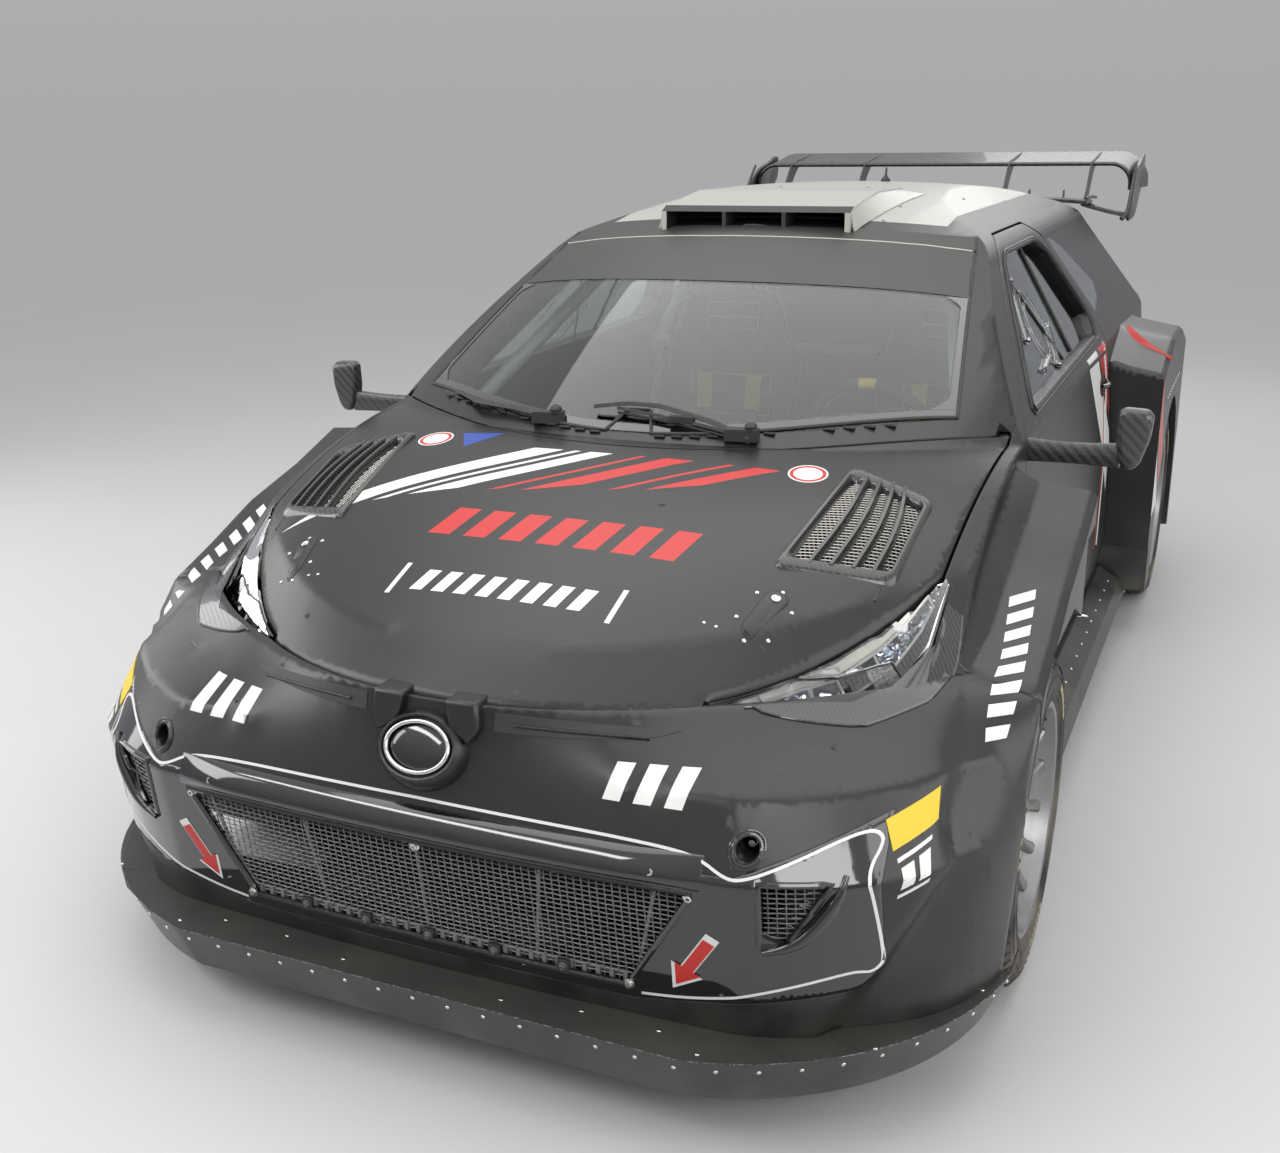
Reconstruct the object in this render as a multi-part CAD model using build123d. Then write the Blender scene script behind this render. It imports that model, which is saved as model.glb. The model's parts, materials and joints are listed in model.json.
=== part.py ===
from build123d import *
import math
import os

os.makedirs("parts", exist_ok=True)

# A four-wheel-drive rally car. Millimetres, +Z up, the front towards -Y and the car's left side on +X.
# The origin is on the ground, under the middle of the car's bounding box.

# Overall sizes
length = 4225
flare_half_width = 937.5
wheelbase = 2630
front_axle_y = -1302
rear_axle_y = front_axle_y + wheelbase
nose_y = -length / 2
tail_y = length / 2
floor_z = 120
sill_z = 190

# Fits and clearances
panel_gap = 5
moving_gap = 5
running_fit = 0.05
seat_gap = 0.3
seam_gap = 0.3

# Wall thicknesses
shell_wall = 45
door_wall = 60
bonnet_wall = 22
bumper_wall = 20
glass_wall = 6
sheet_wall = 12

# Hinges: barrel and pin radii, and where the axes lie
hinge_barrel = 7
hinge_pin = 3
door_hinge = (798, -779)
door_hinge_heights = (340, 600)
door_hinge_height = 34
bonnet_hinge = (-806, 956)
bonnet_hinge_x = (722, 738)
hinge_room = 5
tailgate_hinge = (1400, 1346)
tailgate_hinge_x = 195

# Wheels and tyres
tyre_radius = 322
tyre_width = 235
rim_radius = 228.6
rim_wall = 11
track = 1615
hub_shaft_radius = 30
disc_radius = 165
disc_thickness = 26
wheel_x = track / 2
axle_z = tyre_radius
tyre_inner_x = wheel_x - tyre_width / 2
tyre_outer_x = wheel_x + tyre_width / 2

# Steering geometry
ball_joint = (735, 180)
strut_top = (618, 800)
steering_arm = 110
kingpin_pin_radius = 9
steering_wheel_radius = 165


# Closed face from (a, b) corners. A third value marks the middle point of an arc.
def outline(points):
    edges = []
    count = len(points)
    index = 0
    while index < count:
        start = points[index][:2]
        following = points[(index + 1) % count]
        if len(following) == 3:
            end = points[(index + 2) % count][:2]
            edges.append(Edge.make_three_point_arc(start, following[:2], end))
            index += 2
        else:
            edges.append(Edge.make_line(start, following[:2]))
            index += 1
    return Face(Wire(edges))


# The same corners moved inwards by a wall, edge by edge. Corners run anticlockwise.
def inset(points, wall):
    if wall == 0:
        return list(points)
    moved = []
    count = len(points)
    for index, point in enumerate(points):
        before = points[index - 1]
        after = points[(index + 1) % count]
        ax = point[0] - before[0]
        ay = point[1] - before[1]
        bx = after[0] - point[0]
        by = after[1] - point[1]
        a_len = math.hypot(ax, ay)
        b_len = math.hypot(bx, by)
        nax, nay = -ay / a_len, ax / a_len
        nbx, nby = -by / b_len, bx / b_len
        reach = wall / (1 + nax * nbx + nay * nby)
        new = (point[0] + (nax + nbx) * reach, point[1] + (nay + nby) * reach)
        moved.append(new + tuple(point[2:]))
    return moved


# Both halves of an outline given for the left side only, from its first to its last point.
def both_sides(half):
    other = [(-p[0],) + tuple(p[1:]) for p in reversed(half) if p[0] != 0]
    return list(half) + other


def prism_x(points, x_low, x_high):
    return extrude(Plane.YZ.offset(x_low) * outline(points), x_high - x_low)


def prism_y(points, y_low, y_high):
    plane = Plane(origin=(0, y_high, 0), x_dir=(1, 0, 0), z_dir=(0, -1, 0))
    return extrude(plane * outline(points), y_high - y_low)


def prism_z(points, z_low, z_high):
    return extrude(Plane.XY.offset(z_low) * outline(points), z_high - z_low)


def block(x_low, x_high, y_low, y_high, z_low, z_high):
    size = (x_high - x_low, y_high - y_low, z_high - z_low)
    return Pos(x_low, y_low, z_low) * Box(*size, align=(Align.MIN, Align.MIN, Align.MIN))


def rod(start, end, radius):
    path = Vector(*end) - Vector(*start)
    return Solid.make_cylinder(radius, path.length, Plane(origin=start, z_dir=path))


def ball(centre, radius):
    return Pos(*centre) * Sphere(radius)


def flip(shape):
    return mirror(shape, about=Plane.YZ)


def both(shape):
    return Compound([*shape.solids(), *flip(shape).solids()])


def pair(shape):
    return shape + flip(shape)


# Body form
# Lengthwise profiles at three distances from the middle: corners in (y, z), arcs' middles marked.
profiles = {
    0: {
        "nose_low": (-1960, floor_z),
        "nose_top": (-1990, 690),
        "knee": (-1900, 757),
        "bonnet_mid": (-1540, 875),
        "cowl": (-1165, 968),
        "screen_mid": (-757, 1171),
        "header": (-345, 1350),
        "roof_mid": (380, 1424),
        "hatch_top": (1400, 1335),
        "glass_foot": (1880, 1010),
        "tail_top": (1960, 985),
        "tail_low": (1990, floor_z),
    },
    430: {
        "nose_low": (-1830, floor_z),
        "nose_top": (-1850, 676),
        "knee": (-1745, 778),
        "bonnet_mid": (-1440, 893),
        "cowl": (-1095, 966),
        "screen_mid": (-683, 1164),
        "header": (-262, 1335),
        "roof_mid": (380, 1402),
        "hatch_top": (1395, 1313),
        "glass_foot": (1850, 1005),
        "tail_top": (1920, 982),
        "tail_low": (1950, floor_z),
    },
    815: {
        "nose_low": (-1530, floor_z),
        "nose_top": (-1540, 690),
        "knee": (-1295, 822),
        "bonnet_mid": (-1020, 893),
        "cowl": (-725, 936),
        "screen_mid": (-375, 1110),
        "header": (-20, 1262),
        "roof_mid": (380, 1325),
        "hatch_top": (1370, 1240),
        "glass_foot": (1760, 985),
        "tail_top": (1800, 965),
        "tail_low": (1830, floor_z),
    },
}
arc_middles = ("bonnet_mid", "screen_mid", "roof_mid")

# Cross-section of the sides, the left half from the sill to the roof: (x, z).
side_section = [
    (770, floor_z),
    (806, 330),
    (800, 640),
    (768, 945),
    (592, 1262),
    (562, 1308, 1),
    (508, 1341),
    (300, 1432),
]


def profile_points(station):
    corners = profiles[station]
    names = list(corners)
    names.reverse()
    points = []
    for name in names:
        mark = (1,) if name in arc_middles else ()
        points.append(corners[name] + mark)
    return points


def core_form(wall):
    stations = sorted(profiles)
    sides = [-s for s in reversed(stations) if s] + stations
    faces = []
    for x in sides:
        points = inset(profile_points(abs(x)), wall)
        faces.append(Plane.YZ.offset(x) * outline(points))
    lengthwise = loft(faces)
    across = prism_y(inset(both_sides(side_section), wall), nose_y - 50, tail_y + 50)
    return lengthwise & across


core_outer = core_form(0)
core_inner = core_form(shell_wall)
core_skin = core_outer - core_form(bonnet_wall)
core_glass = core_outer - core_form(glass_wall)

high_z = 1700

# Wheel wells. The front one leaves room for the steered tyre, the rear one for a straight tyre.
front_well_side = [
    (front_axle_y - 400, -10),
    (front_axle_y + 400, -10),
    (front_axle_y + 400, 430),
    (front_axle_y + 305, 640),
    (front_axle_y + 152, 706),
    (front_axle_y - 100, 706),
    (front_axle_y - 152, 668),
    (front_axle_y - 228, 606),
    (front_axle_y - 298, 530),
    (front_axle_y - 400, 400),
]
well_inner_x = 484
front_well_plan = [
    (well_inner_x, -1702),
    (770, -1702),
    (862, -1674),
    (908, -1652),
    (960, -1618),
    (960, -890),
    (well_inner_x, -890),
]
front_well = prism_x(front_well_side, well_inner_x, 960) & prism_z(front_well_plan, -10, 720)
rear_well_inner_x = 600
arch_radius = 366
rear_well = rod((rear_well_inner_x, rear_axle_y, axle_z), (960, rear_axle_y, axle_z), arch_radius)
rear_well = rear_well + block(
    rear_well_inner_x, 960, rear_axle_y - arch_radius, rear_axle_y + arch_radius, -10, axle_z
)
wells = pair(front_well) + pair(rear_well)

# Seams between the panels, in plan
door_front_y = -772
door_rear_y = 752
wing_rear_y = door_front_y - panel_gap
bumper_rear_y = -1530
bonnet_rear_y = -1195
bonnet_corner = (741, -824)
bonnet_arc = (bonnet_corner[0] ** 2 + (bonnet_corner[1] - bonnet_rear_y) ** 2) / (
    2 * (bonnet_corner[1] - bonnet_rear_y)
)
cowl_corner_x = bonnet_corner[0] + panel_gap


# Rear edge of the bonnet moved back by a gap: its place at a distance from the middle
def cowl_y(x, gap):
    return bonnet_rear_y + bonnet_arc - math.sqrt((bonnet_arc - gap) ** 2 - x**2)


# Area ahead of the cowl, which the bonnet, lamps, wings and bumper fill
front_zone_plan = [
    (-cowl_corner_x, wing_rear_y),
    (-990, wing_rear_y),
    (-990, nose_y - 100),
    (990, nose_y - 100),
    (990, wing_rear_y),
    (cowl_corner_x, wing_rear_y),
    (cowl_corner_x, cowl_y(cowl_corner_x, panel_gap)),
    (0, bonnet_rear_y + panel_gap, 1),
    (-cowl_corner_x, cowl_y(cowl_corner_x, panel_gap)),
]
front_zone = prism_z(front_zone_plan, -20, high_z)

# Left edge of the bonnet from its front to its rear corner
bonnet_edge = [
    (0, -2100),
    (433, -2100),
    (433, -1832),
    (604, -1650, 1),
    (731, -1404),
    bonnet_corner,
]
bonnet_plan = both_sides(bonnet_edge)
bonnet_plan = bonnet_plan[:6] + [(0, bonnet_rear_y, 1)] + bonnet_plan[6:]

# Bumper form, in plan at five heights. Columns: height, then the left half's corners.
bumper_foot_z = sill_z
bumper_plans = [
    (bumper_foot_z, [(0, -2030, 1), (560, -2010), (722, -1940, 1), (920, -1665), (920, -1400)]),
    (480, [(0, -2078, 1), (560, -2052), (752, -1965, 1), (937.5, -1640), (937.5, -1400)]),
    (600, [(0, -2024, 1), (540, -1990), (720, -1884, 1), (937.5, -1592), (937.5, -1400)]),
    (655, [(0, -2008, 1), (460, -1905), (690, -1752, 1), (937.5, -1532), (937.5, -1400)]),
    (690, [(0, -2004, 1), (430, -1868), (650, -1716, 1), (812, -1545), (812, -1400)]),
]
nose_pocket_half = [(0, -1996, 1), (430, -1858), (648, -1705, 1), (808, -1533), (808, -1390)]


def front_arc_outline(half):
    left = [p for p in half if p[0] != 0]
    return both_sides(left) + [(0, half[0][1], 1)]


def bumper_form(wall, drop):
    faces = []
    for z, half in bumper_plans:
        points = inset(front_arc_outline(half), wall)
        faces.append(Plane.XY.offset(z - drop) * outline(points))
    return loft(faces, ruled=True)


bumper_solid = bumper_form(0, 0)
bumper_hollow = bumper_form(bumper_wall, bumper_wall)
nose_pocket = prism_z(front_arc_outline(nose_pocket_half), 600, high_z)

# Front wing form, in cross-section: (y, shoulder (x, z), band (x, z), edge height at full width)
wing_sections = [
    (-1640, (748, 640), (812, 590), 560),
    (-1521, (748, 742), (812, 694), 668),
    (-1397, (742, 811), (822, 724), 713),
    (-1251, (744, 852), (824, 783), 772),
    (-1066, (748, 897), (824, 831), 820),
    (-898, (752, 928), (822, 886), 877),
]
rear_wing_sections = [
    (800, (775, 880), (850, 858), 842),
    (1120, (770, 950), (846, 930), 915),
    (1480, (765, 940), (846, 925), 905),
    (1740, (755, 860), (840, 850), 835),
]
flare_bottom_z = 300
flare_root_x = 650


def flare_form(sections, outer_x):
    faces = []
    for y, shoulder, band, edge_z in sections:
        points = [
            (flare_root_x, flare_bottom_z),
            (outer_x, flare_bottom_z),
            (outer_x, edge_z - 10),
            (outer_x - 14, edge_z + 2),
            band,
            shoulder,
            (flare_root_x, shoulder[1]),
        ]
        plane = Plane(origin=(0, y, 0), x_dir=(1, 0, 0), z_dir=(0, -1, 0))
        faces.append(plane * outline(points))
    return loft(faces, ruled=True)


# Front bumper, its gloss insert, grille, splitter and lamps
grille_half = [(375, 249), (496, 455)]
insert_half = [(388, 226), (742, 282), (776, 322), (768, 572), (560, 492)]
side_intake = [(600, 392), (640, 372), (704, 486), (600, 486)]
grille_points = both_sides(grille_half)
insert_points = both_sides(insert_half)
insert_depth_y = -1820
lamp_outer_x = 750
tow_hole = (575, 532)
tow_hole_radius = 18
tow_boss_radius = 27
tow_boss_y = (-2060, -1985)

grille_hole = prism_y(grille_points, nose_y, insert_depth_y)
insert_prism = prism_y(insert_points, nose_y, insert_depth_y)
side_holes = pair(prism_y(side_intake, nose_y, insert_depth_y))


# A rod along the tow eye's axis between two places
def tow_rod(y_low, y_high, radius):
    return rod((tow_hole[0], y_low, tow_hole[1]), (tow_hole[0], y_high, tow_hole[1]), radius)


tow_holes = pair(tow_rod(nose_y, -1900, tow_hole_radius))

bumper_skin = bumper_solid - bumper_hollow - nose_pocket
bumper_skin = bumper_skin & block(-990, 990, nose_y - 50, bumper_rear_y, 0, high_z)
bumper_skin = bumper_skin - wells
tow_boss = tow_rod(*tow_boss_y, tow_boss_radius)
front_bumper = (bumper_skin - insert_prism) + pair(tow_boss & bumper_solid) - tow_holes
wing_nose = flare_form(wing_sections, flare_half_width) & block(
    lamp_outer_x + seam_gap, 990, -1640, bumper_rear_y, 600, high_z
)
front_bumper = front_bumper + pair(wing_nose - front_well)
front_insert = (bumper_skin & insert_prism) - grille_hole - side_holes
mesh_sheet = bumper_form(8, 0) - bumper_form(14, 0)
grille = (mesh_sheet & (grille_hole + side_holes)) & block(-990, 990, nose_y, insert_depth_y, 0, high_z)

splitter_half = [(500, nose_y), (790, -1945, 1), (flare_half_width, -1640), (flare_half_width, -1400)]
splitter_bottom_z = 95
splitter_floor = 14
splitter_set_in = 40
splitter_rim = 130


def splitter_outline(wall):
    return inset(both_sides(splitter_half), wall)


splitter = loft(
    [
        Plane.XY.offset(splitter_bottom_z) * outline(splitter_outline(splitter_set_in)),
        Plane.XY.offset(bumper_foot_z) * outline(splitter_outline(0)),
    ],
    ruled=True,
)
splitter = splitter - prism_z(splitter_outline(splitter_rim), splitter_bottom_z + splitter_floor, high_z)
splitter = splitter & block(-990, 990, nose_y - 50, front_axle_y - 343, 0, high_z)
front_splitter = splitter - wells

lamp_plan = [
    (440, -1990),
    (440, -1836),
    (612, -1652, 1),
    (737, -1408),
    (748, -1412),
    (lamp_outer_x, bumper_rear_y),
    (lamp_outer_x, -1990),
]
lamp_plan.reverse()
lamp_depth = 70
lamp_low_z = 655
lamp_prism = prism_z(lamp_plan, lamp_low_z, high_z)
headlamp = (core_outer - core_form(lamp_depth)) & lamp_prism
headlamp = headlamp & nose_pocket
headlamps = both(headlamp)

# Bonnet with its vents
vent_plan = [(474, -1540), (655, -1478), (664, -1250), (508, -1200)]
vent_prism = prism_z(vent_plan, 600, high_z)
bonnet_prism = prism_z(bonnet_plan, 668, high_z)
bonnet_whole = core_skin & bonnet_prism
vents_prism = pair(vent_prism)


# A rod along the bonnet's hinge axis, longer than the tab by an end at each side
def bonnet_hinge_rod(end, radius):
    low = (bonnet_hinge_x[0] - end, *bonnet_hinge)
    high = (bonnet_hinge_x[1] + end, *bonnet_hinge)
    return rod(low, high, radius)


hinge_tab_profile = [(-864, 920), (-822, 922), (-800, 953), (-803, 961), (-812, 962), (-864, 932)]
hinge_tab = bonnet_hinge_rod(0, hinge_barrel) + prism_x(hinge_tab_profile, *bonnet_hinge_x)
hinge_tab = hinge_tab - bonnet_hinge_rod(hinge_room, hinge_pin + running_fit)
hinge_slot = bonnet_hinge_rod(hinge_room, hinge_barrel + hinge_room) + block(
    bonnet_hinge_x[0] - hinge_room, bonnet_hinge_x[1] + hinge_room, -900, bonnet_hinge[0], 914, 1010
)
hinge_rod = bonnet_hinge_rod(hinge_room + 3, hinge_pin)
bonnet = bonnet_whole - vents_prism + pair(hinge_tab)
bonnet_vents = bonnet_whole & vents_prism

# Front wings
wing_keep = prism_z(
    [(737, bumper_rear_y), (990, bumper_rear_y), (990, wing_rear_y), (747, wing_rear_y), (737, -1404)],
    0,
    high_z,
)
outlet = block(792, 990, -1012, -880, -20, 806)
wing_left = (core_skin & wing_keep) + (flare_form(wing_sections, flare_half_width) & wing_keep)
wing_left = wing_left - front_well - outlet - lamp_prism

# Cab: doors, glass, roof and tailgate openings
door_outline = [
    (door_front_y, 940),
    (door_front_y, 290),
    (door_front_y + 60, 235),
    (640, 235),
    (700, 330),
    (door_rear_y, 760),
    (742, 960),
    (690, 1080),
    (520, 1272),
    (380, 1318),
    (-60, 1318),
    (-150, 1290),
    (-700, 975),
]
door_window = [
    (-560, 975),
    (600, 985),
    (640, 1040),
    (480, 1232),
    (360, 1272),
    (-70, 1272),
    (-130, 1250),
]
quarter_window = [
    (800, 1030),
    (960, 1060),
    (1010, 1100),
    (760, 1225),
    (640, 1262),
    (590, 1262),
    (760, 1075),
]
screen_plan = [(-640, -872), (0, -1142, 1), (640, -872), (538, -222), (0, -322, 1), (-538, -222)]
rear_glass_plan = [(-500, 1462), (0, 1476, 1), (500, 1462), (560, 1752), (0, 1812, 1), (-560, 1752)]
roof_plan = [(-455, -168), (0, -238, 1), (455, -168), (455, 1290), (-455, 1290)]
tailgate_plan = [(-545, 1405), (545, 1405), (655, 1700), (660, 2200), (-660, 2200), (-655, 1700)]
tailgate_low_z = 700


def side_prism(points, depth):
    return prism_x(points, depth, 990)


def grow(points, gap):
    return inset(points, -gap)


door_in_x = 380


# Everything inside the car's sides at a depth below their surface
def inside_sides(depth):
    return prism_y(inset(both_sides(side_section), depth), nose_y, tail_y)


door_cut = side_prism(grow(door_outline, panel_gap), door_in_x) - inside_sides(door_wall + panel_gap)
door_slab = core_outer - inside_sides(door_wall)
window_prism = side_prism(door_window, door_in_x)
door_left = (door_slab & side_prism(door_outline, door_in_x)) - window_prism
glass_depth = 22
door_glass_left = (inside_sides(glass_depth) - inside_sides(glass_depth + 5)) & window_prism
quarter_cut = side_prism(quarter_window, door_in_x) - inside_sides(door_wall)
quarter_glass = (core_outer - inside_sides(glass_wall)) & side_prism(quarter_window, door_in_x)
windscreen_prism = prism_z(screen_plan, 900, high_z)
windscreen = core_glass & windscreen_prism
roof_prism = prism_z(roof_plan, 1150, high_z)
roof_panel = (core_outer - core_form(28)) & roof_prism
tailgate_prism = prism_z(tailgate_plan, tailgate_low_z, high_z)
tailgate_cut = prism_z(grow(tailgate_plan, panel_gap), tailgate_low_z - panel_gap, high_z)
core_tail = core_outer - core_form(30)
tailgate_skin = (core_tail & tailgate_prism) - prism_z(rear_glass_plan, 900, high_z)
rear_glass = core_glass & prism_z(rear_glass_plan, 900, high_z)
barrel_x = (tailgate_hinge_x - 9, tailgate_hinge_x + 9)
tongue_profile = [
    (1400, 1339),
    (1407, 1336),
    (1411, 1312),
    (1450, 1300),
    (1450, 1326),
    (1412, 1352),
    (1400, 1353),
]


# A rod along the tailgate's hinge axis between two places
def tailgate_hinge_rod(x_low, x_high, radius):
    return rod((x_low, *tailgate_hinge), (x_high, *tailgate_hinge), radius)


tailgate_tongue = prism_x(tongue_profile, *barrel_x) + tailgate_hinge_rod(*barrel_x, hinge_barrel)
tongue_room_x = (barrel_x[0] - hinge_room, barrel_x[1] + hinge_room)
tailgate_bore = tailgate_hinge_rod(*tongue_room_x, hinge_pin + running_fit)
tailgate_tongue = tailgate_tongue - tailgate_bore
tailgate_skin = tailgate_skin + pair(tailgate_tongue)

# Rear quarters and bumper
quarter_front_y = 800
quarter_rear_y = 1740
rear_flare = flare_form(rear_wing_sections, flare_half_width)
quarter_zone = block(flare_root_x, 990, quarter_front_y, quarter_rear_y, 0, high_z)
rear_quarter = (rear_flare & quarter_zone) - core_outer
rear_lower = prism_z(
    [(700, quarter_front_y), (flare_half_width, quarter_front_y + 30), (flare_half_width, quarter_rear_y),
     (700, quarter_rear_y)], 150, flare_bottom_z)
rear_quarter = (rear_quarter + (rear_lower - core_outer)) - rear_well
rear_quarters = both(rear_quarter)

side_start_y = quarter_rear_y + 20
wide_side = [(flare_half_width, side_start_y), (flare_half_width, 1600)]
rear_bumper_plans = [
    (170, [(0, 2060, 1), (600, 2030), (840, 1930, 1), (920, side_start_y), (920, 1600)]),
    (430, [(0, tail_y, 1), (600, 2085), (850, 1975, 1), *wide_side]),
    (640, [(0, tail_y - 6, 1), (600, 2078), (840, 1965, 1), *wide_side]),
    (700, [(0, 2080, 1), (600, 2040), (810, 1930, 1), (915, side_start_y), (915, 1600)]),
    (835, [(0, 2020, 1), (560, 1995), (780, 1900, 1), (900, side_start_y), (900, 1600)]),
]


def rear_bumper_form(wall, drop):
    faces = []
    for z, half in rear_bumper_plans:
        points = both_sides([p for p in half if p[0] != 0]) + [(0, half[0][1], 1)]
        points = inset(points[::-1][1:] + [points[-1]], wall)
        faces.append(Plane.XY.offset(z - drop) * outline(points))
    return loft(faces, ruled=True)


rear_bumper_skin = rear_bumper_form(0, 0) - rear_bumper_form(25, 25)
rear_bumper_skin = rear_bumper_skin & block(-990, 990, quarter_rear_y, tail_y + 50, 0, high_z)
tail_zone = prism_z(grow(tailgate_plan, panel_gap), 700, high_z)
rear_bumper = rear_bumper_skin - core_outer - rear_well - flip(rear_well) - tail_zone
lamp_band = prism_y([(640, 735), (915, 735), (890, 812), (660, 812)], 1760, 2200)
rear_lamp = rear_bumper & lamp_band
rear_bumper = rear_bumper - pair(lamp_band)
tail_lamps = both(rear_lamp)

# Floor pan between the sills
floor_top = floor_z + shell_wall
floor_half = 575
floor_ends = (-740, 1880)
floor_pan = block(-floor_half, floor_half, *floor_ends, floor_z, floor_top)
floor_room = block(
    -floor_half - seam_gap,
    floor_half + seam_gap,
    floor_ends[0] - seam_gap,
    floor_ends[1] + seam_gap,
    floor_z - 1,
    floor_top + 1,
)

# Body shell with the bulkhead, inner wings, rails and strut towers
shell = core_outer - core_inner - front_zone - floor_room
shell = shell - pair(door_cut) - windscreen_prism - roof_prism - tailgate_cut
shell = shell - pair(quarter_cut) - pair(rear_well)

bulkhead_y = -1120
bulkhead_side_y = -800
bulkhead_edges = [
    Edge.make_three_point_arc(
        (-cowl_corner_x, bulkhead_side_y), (0, bulkhead_y), (cowl_corner_x, bulkhead_side_y)
    ),
    Edge.make_line((cowl_corner_x, bulkhead_side_y), (cowl_corner_x, bulkhead_side_y + sheet_wall)),
    Edge.make_three_point_arc(
        (cowl_corner_x, bulkhead_side_y + sheet_wall),
        (0, bulkhead_y + sheet_wall),
        (-cowl_corner_x, bulkhead_side_y + sheet_wall),
    ),
    Edge.make_line((-cowl_corner_x, bulkhead_side_y + sheet_wall), (-cowl_corner_x, bulkhead_side_y)),
]
bulkhead_top = 926
bulkhead_band = extrude(Plane.XY.offset(floor_z) * Face(Wire(bulkhead_edges)), bulkhead_top - floor_z)
plenum_edges = [
    Edge.make_three_point_arc(
        (-cowl_corner_x, cowl_y(cowl_corner_x, panel_gap)),
        (0, bonnet_rear_y + panel_gap),
        (cowl_corner_x, cowl_y(cowl_corner_x, panel_gap)),
    ),
    Edge.make_line(
        (cowl_corner_x, cowl_y(cowl_corner_x, panel_gap)), (cowl_corner_x, bulkhead_side_y + sheet_wall)
    ),
    bulkhead_edges[2],
    Edge.make_line(
        (-cowl_corner_x, bulkhead_side_y + sheet_wall), (-cowl_corner_x, cowl_y(cowl_corner_x, panel_gap))
    ),
]
plenum = extrude(Plane.XY.offset(bulkhead_top - 14) * Face(Wire(plenum_edges)), 14)
core_deep = core_form(85)
bulkhead = ((bulkhead_band + plenum) & core_outer) - pair(front_well)
wide_front_well = prism_x(inset(front_well_side, -sheet_wall), well_inner_x - sheet_wall, 735)
wide_front_well = wide_front_well & block(0, 990, -1714, -878, floor_z, 760)
wheelhouse = (wide_front_well - front_well) & core_deep
rear_well_start = rear_well_inner_x - sheet_wall
wide_rear_well = rod(
    (rear_well_start, rear_axle_y, axle_z), (765, rear_axle_y, axle_z), arch_radius + sheet_wall
) + block(
    rear_well_start,
    765,
    rear_axle_y - arch_radius - sheet_wall,
    rear_axle_y + arch_radius + sheet_wall,
    floor_z,
    axle_z,
)
rear_wheelhouse = (wide_rear_well - rear_well) & block(0, 990, 0, tail_y, floor_z, high_z) & core_outer
tower_x = (555, 700)
tower_y = (front_axle_y - 74, front_axle_y + 74)
tower_top = strut_top[1] + 14
tower = block(*tower_x, *tower_y, 700, tower_top)
tower_room = block(
    tower_x[0] + 10, tower_x[1] - 10, tower_y[0] + 10, tower_y[1] - 10, 600, strut_top[1]
)
rail = block(400, well_inner_x - sheet_wall, -1880, -1012, 380, 450)
front_beam = block(-600, 600, -1900, -1880, 370, 460)
driveshaft_hole = rod((440, front_axle_y, axle_z), (500, front_axle_y, axle_z), 56)
rack_y = front_axle_y + steering_arm
rack_z = axle_z - 40
rack_hole = rod((440, rack_y, rack_z), (500, rack_y, rack_z), 24)
arm_hole = block(440, 500, front_axle_y - 175, front_axle_y + 175, 100, 205)
kingpin = Vector(strut_top[0] - ball_joint[0], 0, strut_top[1] - ball_joint[1]).normalized()
kingpin_top = Vector(strut_top[0], front_axle_y, strut_top[1])
kingpin_foot = Vector(ball_joint[0], front_axle_y, ball_joint[1])
top_bore = rod(kingpin_top - kingpin * 40, kingpin_top + kingpin * 60, kingpin_pin_radius + running_fit)
side_structure = (wheelhouse + tower) - tower_room - driveshaft_hole - rack_hole - arm_hole - top_bore
side_structure = side_structure + rail + rear_wheelhouse
body_shell = shell + bulkhead + pair(side_structure) + front_beam
tailgate_lug_x = (tailgate_hinge_x - 26, tailgate_hinge_x - 11)
tailgate_lug = tailgate_hinge_rod(*tailgate_lug_x, hinge_barrel)
tailgate_lug = tailgate_lug + block(*tailgate_lug_x, 1370, tailgate_hinge[0], 1318, tailgate_hinge[1] + 4)
tailgate_pin = tailgate_hinge_rod(tailgate_lug_x[0], tailgate_hinge_x + 12, hinge_pin)
body_shell = body_shell - pair(door_cut) - pair(hinge_slot) + pair(hinge_rod)
body_shell = body_shell + pair(tailgate_lug + tailgate_pin)

tray_x = well_inner_x - sheet_wall
tray_rear = cowl_y(tray_x, panel_gap) - seam_gap
undertray_plan = [
    (-tray_x, front_axle_y - 480),
    (tray_x, front_axle_y - 480),
    (tray_x, tray_rear),
    (0, bonnet_rear_y + panel_gap - seam_gap, 1),
    (-tray_x, tray_rear),
]
undertray = prism_z(undertray_plan, floor_z, floor_z + 8) - front_splitter

# Side skirts
skirt_section = [(772, 126), (866, 126), (880, 150), (862, 188), (800, 228), (772, 228)]
skirt_left = prism_y(skirt_section, -872, quarter_front_y) - core_outer
side_skirts = both(skirt_left)

# Roof scoop
scoop_half = 250
scoop_profile = [(-332, 1340), (200, 1380), (200, 1424), (-60, 1428), (-300, 1402), (-332, 1388)]
mouth_profile = [(-400, 1330), (-70, 1340), (-70, 1412), (-300, 1392), (-400, 1380)]
mouth_columns = [(-236, -84), (-74, 74), (84, 236)]
roof_scoop = prism_x(scoop_profile, -scoop_half, scoop_half) - core_outer
for x_low, x_high in mouth_columns:
    roof_scoop = roof_scoop - prism_x(mouth_profile, x_low, x_high)

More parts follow.
